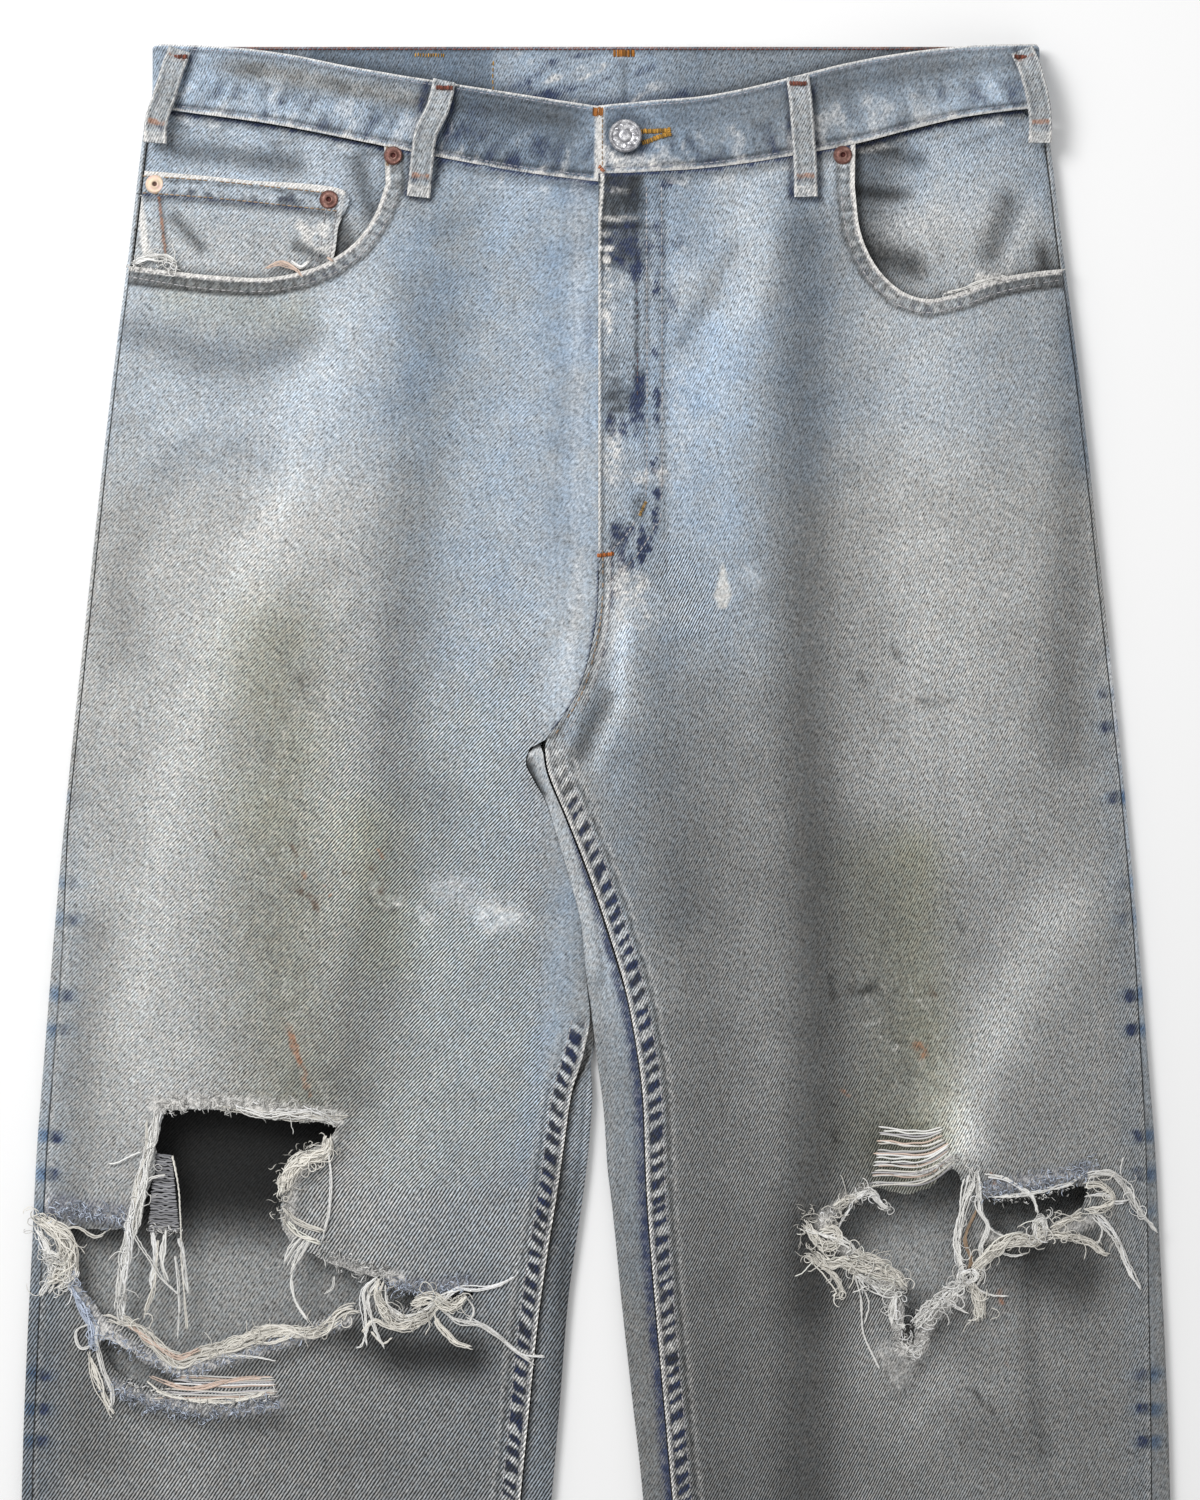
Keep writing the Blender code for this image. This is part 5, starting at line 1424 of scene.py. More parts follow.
def back_paint(leg, x, d, z):
    """The back's outer face, with the felled seams of its returned edges where they show."""
    p = Paint(leg, x, d)
    p.tone = np.where(z < 2.5, p.tone * 0.98, p.tone)
    away, _, _ = near(INSEAM_PATH[leg], x, d)
    shown = step(INSEAM_FROM[leg], INSEAM_FROM[leg] + 10, d) * (z > 2.5)
    wave = ripple(x, d, INSEAM_PATH[leg], 7.5, 47)
    p.bare += shown * 0.25 * bell(away - 3, 3) * (wave > 0.1)
    if leg == "left":
        fold = (z > 2.5) & (d > 300)
        wedge = 1.2 + 2.6 * step(385, 450, d)
        p.indigo += 1.3 * bell(away - 1.0, wedge) * step(374, 400, d) * fold
        ear = step(540, 372, d) * fold
        # Painted light: the turned-over strip is made lighter to make up for the shade that the
        # fronts cast on it.
        p.tone *= 1 + 0.16 * ear + 0.16 * bell(d - 440, 40) * fold
        p.blue += 0.06 * ear
        # Painted shade in the hollow at the top of the strip.
        hollow = near(((-34.5, 357), (-32.5, 364), (-28, 373)), x, d)[0]
        p.mark("dark", 1.5 * bell(hollow, 2.9) * fold)
        p.bare += 0.5 * step(362, 350, d) * fold
        p.rib *= np.where(fold, 0.35, 1)
        p.blue += 0.2 * fold * step(700, 400, d)
    else:
        p.tone *= 1 - 0.62 * shown * bell(away, 2.2)
        p.blue += 0.3 * shown
    away, _, _ = near(OUTSEAM_PATH[leg], x, d)
    faded = faded_from(leg, d) * bell(away - 1, 5)
    blots = faded * spots(x, d, OUTSEAM_PATH[leg], 19, 61)
    p.tone, p.blue = p.tone * (1 - 0.25 * blots), p.blue + 0.3 * faded + 2.4 * blots
    p.indigo += 0.45 * blots
    p.indigo += 0.5 * bell(d - HEM_EDGE, 1.5)
    p.bare += 0.7 * bell(d - LENGTH, 1.6)
    return p.values()


def sweep_back(name, leg, rows, material):
    sections = [back_section(leg, downs) for downs in rows]
    x, d, z = (np.array([row[k] for row in sections]) for k in range(3))
    hem = step(HEM_EDGE - 1, HEM_EDGE, d)
    thick = CLOTH + 0.25 * hem * (z > 2.5)
    outer, inner = back_paint(leg, x, d, z), inside_paint(x, d)
    first, second = (inner, outer) if leg == "left" else (outer, inner)
    return grid_shell(name, world(x, d, z), thick, first, second, material)


def yoke_seam(share):
    return YOKE_AT_SIDE + (YOKE_AT_CENTRE - YOKE_AT_SIDE) * share


def make_back(leg, material):
    lengths = np.unique(np.concatenate([
        np.linspace(0, 0.24, 28), np.linspace(0.24, 0.665, 132), np.linspace(0.665, 1, 28)
    ]))
    rows = [
        lambda share, length=length: yoke_seam(share) + SEAM_GAP
        + (LENGTH - yoke_seam(share) - SEAM_GAP) * length
        for length in lengths
    ]
    panel = sweep_back(f"denim_back_{leg}", leg, rows, material)
    top = BAND_HEIGHT + SEAM_GAP
    rows = [
        lambda share, length=length: top + (yoke_seam(share) - SEAM_GAP / 2 - top) * length
        for length in np.linspace(0, 1, 14)
    ]
    return panel, sweep_back(f"denim_yoke_{leg}", leg, rows, material)


def grown(path, centre, by):
    """A path moved away from a centre."""
    path = np.asarray(path, float)
    return path + unit(path - centre) * by


def patch_pocket(leg, material):
    """A five-sided pocket under the seat, with a plain double row pressed in along its edge."""
    side = SIDE[leg]
    corners = [(side * x, d) for x, d in BACK_POCKET]
    ring = corners + corners[:1]
    loop = np.array(edge_line(ring, 3.0)[:-1])

    def thick(x, d):
        away, _, _ = near(ring, x, d)
        opening, _, _ = near(corners[:2], x, d)
        return CLOTH - 0.25 * bell(away - 2, 0.8) - 0.25 * bell(away - 8, 0.8) * (opening > 20)

    def paint(x, d):
        p = Paint(leg, x, d)
        away, _, _ = near(ring, x, d)
        p.bare += 0.7 * bell(away, 1.3)
        p.indigo += 0.4 * bell(away - 5, 4) * step(0, 0.6, noise(x, d, 7, 95))
        return p.values()

    return plan_shell(
        f"denim_back_pocket_{leg}", [loop], level(3.0), level(0.0), thick, paint, material, (3.0,),
    )


BACK_POCKET = ((38, 128), (188, 114), (181, 236), (113, 268), (46, 250))
COIN_POCKET = ((-176, 68), (-125.5, 73.2), (-128, 92), (-131.5, 110), (-146, 127), (-180, 131))
FACING_CREASES = {
    "left": (
        (((132, 50), (160, 58)), 5, -1.3), (((128, 74), (150, 76)), 3, -0.7),
        (((136, 98), (146, 108), (160, 114)), 6, -1.4),
        (((205, 110), (212, 96), (218, 83)), 6, 1.6),
        (((196, 104), (204, 80)), 7, -0.8), (((222, 104), (223, 110)), 4, -1.0),
        (((150, 92), (190, 84)), 16, 1.0),
    ),
    "right": (
        (((-118, 60), (-112, 84)), 5, -1.0), (((-150, 120), (-190, 122)), 8, -0.8),
        (((-200, 96), (-160, 92)), 14, 0.8), (((-210, 52), (-150, 60)), 6, -0.5),
    ),
}


def facing_under(leg, x, d):
    total = top_layer(leg, x, d) - FACING_DROP
    for path, reach, height in FACING_CREASES[leg]:
        total += 0.8 * height * beside(path, x, d, reach)
    return total + 0.3 * noise(x, d, 16, 51, 2)


def make_facing(leg, material):
    side, foot = SIDE[leg], band_foot[leg]
    inner = smooth_path(POCKETS[leg][2:-1], 3.0)
    outline = [(side * 100, float(foot(side * 100)) + SEAM_GAP)]
    xs = np.arange(104, 214, 4.0) * side
    outline += [(float(x), float(foot(x)) + SEAM_GAP) for x in xs]
    outline += places_of(lambda d: seam_line(leg, d), 42, 131, -side * SEAM_GAP, 4.0)
    loop = np.concatenate([np.array(outline), grown(inner, (side * 178, 66), 17.0)])

    def paint(x, d):
        p = Paint(leg, x, d)
        away, _, _ = near(POCKETS[leg], x, d)
        edge = bell(away + 1, 4)
        # light: on the right, lighter patches; on the left, painted shade towards the pocket's inner
        # edge.
        if leg == "right":
            light = 1.0 + 0.08 * bell(x + 180, 16) + 0.06 * bell(np.hypot(x + 135, d - 62), 14)
        else:
            light = 1.0 - (0.24 + 0.16 * step(102, 84, d)) * step(162, 136, x)
            light = light - 0.03 * step(196, 215, x)
        # Painted shade: darker along the pocket's edge, where the front above casts shade.
        p.tone *= light * (1 - (0.18 if leg == "right" else 0.32) * edge)
        p.blue = 0.3 + 0.55 * step(112, 52, d) + 0.2 * noise(x, d, 12, 96)
        p.rib = p.rib * 0.9 + 0.3
        p.indigo += 0.30 * edge * step(-0.1, 0.6, noise(x, d, 6, 97, 2))
        p.bare += 0.2 * step(0.3, 0.8, noise(x, d * 0.6, 8, 99, 2))
        # Painted shade: a navy line and a darker band just under the waistband's lower edge.
        low = d - foot(x)
        streak = step(0.0, 0.7, noise(x * 0.45 + d * 0.3, d * 1.5, 4.5, 98, 2))
        p.indigo += 1.2 * step(2.2, 1.2, low)
        p.tone *= (1 - 0.30 * bell(low, 3.0)) * (1 - 0.24 * streak * bell(low - 6, 8))
        p.bare += 0.4 * bell(low - 4, 3) * step(-0.2, 0.4, noise(x, d, 6, 100))
        # Painted shade in the troughs of the creases.
        for path, reach, height in FACING_CREASES[leg]:
            amount = beside(path, x, d, reach)
            if height < 0:
                p.tone *= 1 - 0.36 * amount
            else:
                p.bare += 0.4 * amount
        # Painted shade in the folds near the pocket's edge, and along the coin pocket's edge and the
        # pocket's curve; the pale streak is wear.
        if leg == "left":
            p.tone *= 1 - 0.3 * beside(((129, 73), (155, 75)), x, d, 3.0)
            p.mark("dark", 0.55 * beside(((140, 106), (148, 104), (157, 108)), x, d, 6))
            p.mark("dark", 0.35 * beside(((222, 99), (224, 112)), x, d, 4))
            p.bare += 1.0 * beside(((191, 117), (205, 119)), x, d, 3.5)
        else:
            p.mark("dark", 0.9 * beside(((-126, 80), (-129, 108)), x, d, 1.8))
            p.mark("dark", 0.6 * beside(((-124, 92), (-124, 99)), x, d, 4))
            p.mark("dark", 0.65 * beside(((-142, 113), (-122, 104)), x, d, 6))
        return p.values()

    fine = 1.7
    return plan_shell(
        f"denim_facing_{leg}", [loop], level(fine), lambda x, d: facing_under(leg, x, d),
        level(CLOTH), paint, material, (fine,),
    )


def coin_under(x, d):
    return facing_under("right", x, d) + CLOTH + 0.4


def make_coin_pocket(material):
    inner = smooth_path(COIN_POCKET, 2.0)
    upper = edge_line([(float(seam_line("right", 62.5)) + 0.6, 62.5), COIN_POCKET[0]], 2.0)[:-1]
    outer = places_of(lambda d: seam_line("right", d), 66, 126, 0.6, 4.0)[::-1]
    loop = np.concatenate([inner, np.array(outer + upper)])
    hem = ((-227, 63), (-176, 68), (-125.5, 73.4))
    end = COIN_POCKET[1:5]

    def thick(x, d):
        away, _, _ = near(hem, x, d)
        side_away, _, _ = near(end, x, d)
        total = 0.6 * step(12.5, 11.5, away) + 0.3 * step(9, 8, side_away)
        total -= 0.4 * (bell(away - 2, 0.8) + bell(away - 10.5, 0.8))
        total -= 0.35 * (bell(side_away - 2, 0.8) + bell(side_away - 7.5, 0.8))
        return CLOTH + total + 0.25 * step(13, 12, away) * ripple(x, d, hem, 5.5, 53)

    def paint(x, d):
        p = Paint("right", x, d)
        away, _, _ = near(hem, x, d)
        side_away, _, _ = near(end, x, d)
        p.blue = 0.25 + 0.5 * step(104, 66, d)
        p.rib = p.rib * 0.9 + 0.35
        p.bare += 1.6 * step(2.0, 0.8, away) + 0.6 * bell(side_away, 1.5)
        p.tone *= 1 - 0.30 * bell(away - 3.2, 0.8)
        smudge = step(0.0, 0.6, noise(x, d, 4.5, 54, 2)) * bell(away - 7, 3.4)
        p.tone *= 1 - 0.5 * smudge
        p.indigo += 0.6 * smudge
        stitch_ = bell(away - 11.2, 1.0) * step(-128, -150, x)
        p.indigo += 0.8 * stitch_
        p.tone *= 1 - 0.3 * bell(away - 12.4, 2.0)
        down_ = step(72, 78, d)
        p.bare += 1.2 * beside(((-228, 74), (-223.7, 105)), x, d, 2.0) * down_
        p.rust += 0.9 * beside(((-217.6, 76), (-214, 105)), x, d, 1.0)
        p.tone *= 1 - 0.35 * beside(((-217, 76), (-213.4, 105)), x, d, 1.4)
        p.mark("dark", 0.55 * beside(((-210, 86), (-196, 102)), x, d, 3.2))
        worn = step(-0.3, 0.2, noise(x, d, 4, 55))
        for path, reach in ((((-147, 91), (-141, 98)), 3.6), (((-135, 92), (-135, 105)), 4.2)):
            p.bare += 0.8 * beside(path, x, d, reach) * worn
        # Painted shade near the front pocket's curve, under the front's edge.
        p.mark("dark", 0.6 * beside(((-149, 101), (-136, 106)), x, d, 3.0))
        p.tone *= 1 - 0.25 * bell(near(POCKETS["right"], x, d)[0] + 1, 4)
        return p.values()

    return plan_shell(
        "denim_coin_pocket", [loop], level(1.5), coin_under, thick, paint, material, (1.5,),
    )


# ---- the waistband and its loops ----


BAND_PITCH = 2.5  # from one station of the waistband to the next


def lap_lift(x):
    """How much higher the waistband lies where its end laps over the button's end."""
    return (BAND + 0.5) * step(52, 28, x)


def band_sway(x):
    return 0.4 * noise(x, x * 0, 26, 12)


def band_stations():
    """The waistband from its button end, round the back, to the end that laps over it.

    Rows of across, upper edge, lower edge, middle height, and the way of the outer face (x, z).
    """
    half = BAND / 2
    back_z = float(back_lift(10)) + half
    rows = []
    for leg, side in (("right", -1), ("left", 1)):
        front_z = float(band_height(leg, side * 210)) + half
        turn = (front_z - back_z) / 2
        start, stop = (26, -208.1) if leg == "right" else (208, 1.0)
        xs = np.arange(start, stop, -BAND_PITCH)
        z = band_height(leg, xs) + half
        if leg == "left":
            xs[-1] = FLY_EDGE
            z += lap_lift(xs)
        z += band_sway(xs)
        front = np.stack([xs, band_top[leg](xs), band_foot[leg](xs), z, xs * 0, xs * 0 + 1], axis=1)
        degrees = np.arange(75, -76, -10.0) * -side
        angle = np.radians(degrees)
        foot = 31.5 + (BAND_HEIGHT - 31.5) * (0.5 - degrees / 180)
        bent = np.stack([
            side * (216 + turn * 0.9 * np.cos(angle)), foot * 0, foot,
            (front_z + back_z) / 2 + turn * np.sin(angle), side * np.cos(angle), np.sin(angle),
        ], axis=1)
        if leg == "right":
            xs = np.arange(-206, 206.1, BAND_PITCH)
            o = np.zeros_like(xs)
            back = np.stack([xs, o, o + BAND_HEIGHT, o + back_z, o, o - 1], axis=1)
            rows += [front, bent, back]
        else:
            rows += [bent, front]
    return np.concatenate(rows)


def waves_low(x, share):
    """The crumples along the lower part of the waistband, from -1 to 1."""
    lean = np.where(x < 0, 0.5, -0.5)
    puckers = noise(x + lean * 30 * share, share * 13, 4.6, 111, 2)
    return np.clip(1.5 * puckers, -1, 1) * step(0.3, 0.6, share)


def band_relief(x, d, share, front):
    edge = np.minimum(share, 1 - share) * BAND_ACROSS
    rise_ = 0.75 * front * waves_low(x, share) + 0.35 * front * noise(x * 0.6, d, 15, 112, 2)
    rise_ += 0.2 * noise(x, share * 6, 4.5, 113) * step(0.75, 0.92, share)
    if np.ndim(front):
        pull = bell(np.hypot(x - BUTTON[0], d - BUTTON[1]), 15)
        rise_ = rise_ - 0.5 * front * pull + 0.5 * front * bell(np.hypot(x - 10, d - 37), 7)
    return rise_ - 0.3 * (bell(edge - 2.4, 0.7))


def band_paint(x, d, share, front):
    """The waistband's outer face; front is 1 on the front and 0 on the back."""
    right, left = Paint("right", x, d), Paint("left", x, d)
    p = right
    p.tone = np.where(x < 0, right.tone, left.tone) * 0.95
    p.blue = np.where(x < 0, right.blue, left.blue) + 0.36
    p.tone *= 1 + 0.10 * bell(x + 165, 50) + 0.20 * bell(x - 196, 22)
    p.tone *= 1 + 0.10 * bell(x + 206, 20)
    streak = bell(share - 0.3, 0.16) * step(-196, -166, x) * step(-72, -92, x)
    p.tone *= 1 - 0.34 * streak * step(-0.7, 0.3, noise(x, d * 1.6, 11, 117, 2))
    p.blue *= 1 - 0.8 * streak
    p.rib += 0.2
    waves = waves_low(x, share)
    p.indigo += 0.62 * step(0.0, -0.8, waves) * step(0.35, 0.7, share)
    p.tone *= 1 - 0.18 * step(0.15, -0.5, waves) * step(0.3, 0.55, share)
    p.bare += 0.42 * step(0.1, 0.7, waves)
    upper = bell(share - 0.26, 0.17)
    dark = 0.16 * step(90, 130, x) + 0.12
    dark += 0.2 * step(-88, -80, x) * step(0, -20, x)
    p.tone *= 1 - dark * upper
    p.blue -= 0.1 * upper
    p.indigo += 0.3 * upper * step(0.1, 0.7, noise(x, d, 11, 115, 2)) * (x < 0)
    shade_right = step(-90, -78, x) * step(2, -14, x)
    p.tone *= (1 - 0.19 * shade_right) * (1 - 0.12 * step(20, 40, x) * step(140, 120, x))
    p.indigo += 0.35 * shade_right * step(-0.1, 0.6, noise(x * 1.4, d, 9, 116, 2))
    top, low = share * BAND_ACROSS, (1 - share) * BAND_ACROSS
    p.bare += 1.2 * step(1.7, 0.7, top) + 1.2 * step(1.9, 0.9, low)
    p.tone *= (1 - 0.40 * bell(low - 3.6, 0.9)) * (1 - 0.22 * bell(top - 3.2, 1.1))
    p.bare += 1.2 * step(2.6, 2.0, x) * front * (d < 70) * (x > 0)
    ring = np.hypot(x - 15, d - 47)
    p.tone *= 1 - 0.30 * bell(ring - 9, 4) * (x > 2) * front
    p.indigo += 0.3 * bell(ring - 10, 5) * (x > 2) * front
    p.bare += 0.6 * beside(((4, 56), (12, 60), (30, 59)), x, d, 4) * front
    loop_shade(p, front)
    return p.values()


def band_inside_paint(x, d):
    """The waistband's inner face, seen inside the waist: navy at one stretch, pale elsewhere."""
    p = Paint("left", x, d * 0 + 60)
    navy = step(-146, -140, x) * step(-50, -53, x)
    p.tone *= (0.93 - 0.22 * navy) * (1 - 0.14 * step(10, 60, x))
    p.blue = p.blue * 0.6 + 0.5 + 0.35 * navy
    p.rib *= 0.8
    blots = noise(x + d, d * 1.6, 9, 121, 3)
    middle = step(-50, -40, x) * step(40, 20, x)
    p.indigo += 0.75 * step(0.0, -0.6, blots) * (0.35 + 0.65 * middle)
    p.bare += 0.75 * step(0.1, 0.6, blots) * (0.2 + 0.8 * middle)
    # Painted shade: darker and navy just under the front waistband's top edge.
    low = d - np.where(x < 0, band_top["right"](x), band_top["left"](x))
    p.indigo += 0.45 * bell(low + 3, 5) * step(-60, -40, x) * step(70, 50, x)
    p.tone *= 1 - 0.30 * bell(low + 1.5, 3.5)
    p.tone *= (1 - 0.30 * bell(d - 1.6, 1.2)) * (1 - 0.2 * bell(x - 14, 2) * (d > 6))
    p.rust += 0.75 * bell(d - 0.3, 1.1)
    return p.values()


def make_waistband(material):
    rows = band_stations()
    x, top, foot, z, ox, oz = rows.T
    out = np.stack([ox, 0 * ox, oz], axis=1)
    n = 22
    share = np.linspace(0, 1, n)[None, :] * np.ones((len(rows), 1))
    xx = x[:, None] * np.ones((1, n))
    d = top[:, None] + (foot - top)[:, None] * share
    front = (oz > 0)[:, None] * np.ones((1, n))
    relief = band_relief(xx, d, share, front)
    relief = np.where(front > 0, relief, 0.15 * relief)
    return band_sweep(
        "denim_waistband", world(x, top, z), world(x, foot, z), out, BAND, relief,
        band_paint(xx, d, share, front), band_inside_paint(xx, d), material,
    )


def band_surface(x, d):
    """Height of the outer face of the front waistband."""
    x, d = np.asarray(x, float), np.asarray(d, float)
    total = []
    for leg in ("right", "left"):
        z = band_height(leg, x) + BAND
        if leg == "left":
            z += lap_lift(x)
        top, foot = band_top[leg](x), band_foot[leg](x)
        share = (d - top) / (foot - top)
        total.append(z + band_relief(x, d, share, np.ones_like(x)))
    return np.where(x < FLY_EDGE, total[0], total[1]) + band_sway(x)


def loop_ground(leg, x, d):
    """Top of what lies under a belt loop."""
    low = top_layer(leg, x, d)
    on_band = np.maximum(low, band_height(leg, x)) + BAND
    return np.where(band_foot[leg](x) + 1 > d, on_band, low + front_thick(leg, x, d))


LOOP_WIDTH, LOOP_CLOTH = 11.5, 1.8


def make_loops(material):
    made = []
    for leg, name, path, stand in LOOPS + (("left", "back", ((0, 1), (0, 12), (0, 48)), 0),):
        centre = smooth_path(path, 1.0)
        count = len(centre)
        t = np.linspace(0, 1, count)
        along = unit(np.gradient(centre, axis=0))
        wide = np.stack([-along[:, 1], along[:, 0]], axis=1) * LOOP_WIDTH / 2
        if name == "back":
            z, out = np.full(count, LOOP_CLOTH / 2), (0, 0, -1)
        else:
            spots_ = [
                loop_ground(leg, centre[:, 0] + dx, centre[:, 1] + dd)
                for dx in (-5.7, 0, 5.7) for dd in (-4, 0, 4)
            ]
            z = np.max(spots_, axis=0) + 0.5 + LOOP_CLOTH / 2
            z += stand * np.minimum(1, 4 * np.sin(pi * t) ** 2)
            out = (0, 0, 1)
        n = 15
        s = np.linspace(0, 1, n)[None, :] * np.ones((count, 1))
        tt = t[:, None] * np.ones((1, n))
        edge = np.minimum(s, 1 - s) * LOOP_WIDTH
        length = np.arange(count)[:, None] * np.ones((1, n))
        foot = count - 1 - length
        relief = 0.25 * bell(edge - 0.8, 1.0) - 0.18 * bell(edge - 5.7, 2.2)
        relief = relief + 0.12 * noise(length, s * 12, 6, 131, 2) + 0.8 * step(6.5, 5, foot)
        relief = relief - 0.5 * bell(foot - 7.5, 0.9) - 0.3 * bell(length - 4.5, 1.2)
        p = Paint(leg, centre[:, 0:1] * np.ones((1, n)), centre[:, 1:2] * np.ones((1, n)))
        p.tone = 0.66 + 0.35 * (p.tone - 0.6) - 0.07 * bell(tt - 0.52, 0.18)
        p.tone *= 1 - 0.14 * bell(edge - 2.6, 0.9)
        p.tone += 0.04 * noise(length, s * 9, 7, 132, 2)
        p.rib += 0.1
        p.blue = p.blue * 0.15 + 0.2
        p.bare += 0.7 * bell(edge - 0.5, 0.9) + 0.45 * step(6.0, 5, foot)
        p.indigo += 0.35 * bell(edge - 3, 2) * step(0, 0.6, noise(length, s * 12, 5, 133))
        # Painted shade: navy along the loop's rims and in the groove by its folded lower end.
        p.indigo += 0.4 * bell(foot - 8, 1.2) + 0.7 * step(0.5, 0.1, edge)
        rusty = 0.95 * bell(foot - 10, 1.6) + 0.6 * bell(length - 4, 1.6)
        p.rust += rusty * (edge > 1.5)
        plain = {k: v * 0 if k in ("bare", "rust") else v for k, v in p.values().items()}
        middle = world(centre[:, 0], centre[:, 1], z)
        shift = np.stack([wide[:, 0], -wide[:, 1], 0 * t], axis=1)
        made.append((name, band_sweep(
            f"denim_belt_loop_{name}", middle + shift, middle - shift,
            np.tile(np.array(out, float), (count, 1)), LOOP_CLOTH, relief, p.values(), plain,
            material, edge=0.9,
        )))
    return made


# ---- stitches, bartacks and the buttonhole ----

PALE, TAN = (0.74, 0.73, 0.74), (0.70, 0.60, 0.50)
GOLD, RUST = (0.76, 0.58, 0.26), (0.63, 0.36, 0.20)
WHITE, CREAM, PEACH = (0.99, 0.985, 0.97), (0.97, 0.955, 0.92), (0.91, 0.82, 0.76)
BLUE_WHITE = (0.84, 0.88, 0.95)


def moved(path, by):
    """A path set off sideways; positive is to the right of its way on the plan."""
    p = np.asarray(path, float)
    along = unit(np.gradient(p, axis=0))
    return p + np.stack([-along[:, 1], along[:, 0]], axis=1) * by


class Stitcher:
    """Lays stitches of thread along paths on a surface."""

    def __init__(self, settings):
        self.yarns, self.pitch = Yarns(), settings.stitch_pitch / MM
        self.radius, self.rng = settings.thread_radius / MM, np.random.default_rng(settings.seed)

    def row(self, path, height, colour=PALE, pitch=None, size=1.0, missing=0.06, below=False):
        pitch = pitch or self.pitch
        line = smooth_path(path, pitch)
        a, b = line[:-1, None], line[1:, None]
        t = np.array([0.02, 0.18, 0.5, 0.70, 0.82])[None, :, None]
        p = a + (b - a) * t
        over = self.radius * np.array([-1.0, 0.5, 0.9, 0.5, -1.0]) * (-1 if below else 1)
        z = height(p[..., 0], p[..., 1]) + over
        for places, heights in zip(p, z):
            outside = np.abs(places[:, 0]).max() > float(half_width(places[0, 1])) - 0.6
            if self.rng.random() < missing or outside:
                continue
            tint = linear(np.array(colour) * self.rng.uniform(0.82, 1.08))
            line = world(places[:, 0], places[:, 1], heights)
            self.yarns.add(line, self.radius * size, tint, 3 if below else 4)

    def bartack(self, start, stop, width, height, colour=RUST, count=None):
        """Close satin stitches across a short line."""
        a, b = np.array(start, float), np.array(stop, float)
        size = float(np.linalg.norm(b - a))
        across = np.array([-(b - a)[1], (b - a)[0]]) / size * width / 2
        count = count or int(size / 0.55)
        k = np.arange(count + 1)[:, None, None] / count
        c = a + (b - a) * k + self.rng.normal(0, 0.12, (count + 1, 1, 2))
        p = c + across * np.array([-1, -0.7, 0, 0.7, 1])[:, None]
        z = height(p[..., 0], p[..., 1]) + self.radius * np.array([-0.6, 0.9, 1.5, 0.9, -0.6])
        for places, heights in zip(p, z):
            tint = linear(np.array(colour) * self.rng.uniform(0.65, 1.2))
            line = world(places[:, 0], places[:, 1], heights)
            self.yarns.add(line, self.radius * 1.1, tint, 4)

    def made(self, name, material):
        return self.yarns.made(name, material)


def stitch_fronts(s):
    for leg in ("right", "left"):
        side = SIDE[leg]

        def height(x, d, leg=leg):
            return front_top(leg, x, d)

        path = INSEAM_PATH[leg]
        for by in (2.0, 9.2):
            s.row(moved(path, -side * by), height, pitch=3.6, missing=0.14)
        pocket = smooth_path(POCKETS[leg][:-1], 3.0)
        centre = (side * 178, 66)
        for by in (1.9, 6.9):
            s.row(grown(pocket, centre, by), height, pitch=3.0, missing=0.1)
        hem = [(side * x, HEM_EDGE + 2) for x in np.arange(63, 264, 8.0)]
        s.row(hem, height, TAN, missing=0.02)

    def left(x, d):
        return front_top("left", x, d)

    for path in (J_PATH, J_INNER):
        s.row(path, left, pitch=3.0, missing=0.12)
    centre = np.array(CENTRE_PATH)
    s.row(moved(centre, -2.2), left, TAN, missing=0.2)
    s.row(moved(centre, -6.0), left, missing=0.2)
    s.row(((20.5, 176), (20.5, 146), (20, 116)), left, (0.44, 0.38, 0.40), missing=0.5)
    s.bartack((0.9, 255), (8.6, 254), 2.0, left, (0.72, 0.42, 0.20))
    s.bartack((21.6, 235), (24.6, 228.6), 1.5, left, (0.62, 0.50, 0.30))
    s.bartack((-103.5, 52), (-103.5, 61), 1.2, lambda x, d: front_top("right", x, d), TAN)


def stitch_pockets(s):
    def coin(x, d):
        return coin_under(x, d) + CLOTH + 0.6

    for by in (2, 10.5):
        s.row([(x, d + by) for x, d in ((-226, 63), (-176, 68), (-128, 73.2))], coin, TAN,
              pitch=2.8, missing=0.1)
    inner = np.array(COIN_POCKET[1:5])
    for by in (2.0, 7.5):
        s.row(inner - (by, 0), lambda x, d: coin(x, d) - 0.3, pitch=2.8)


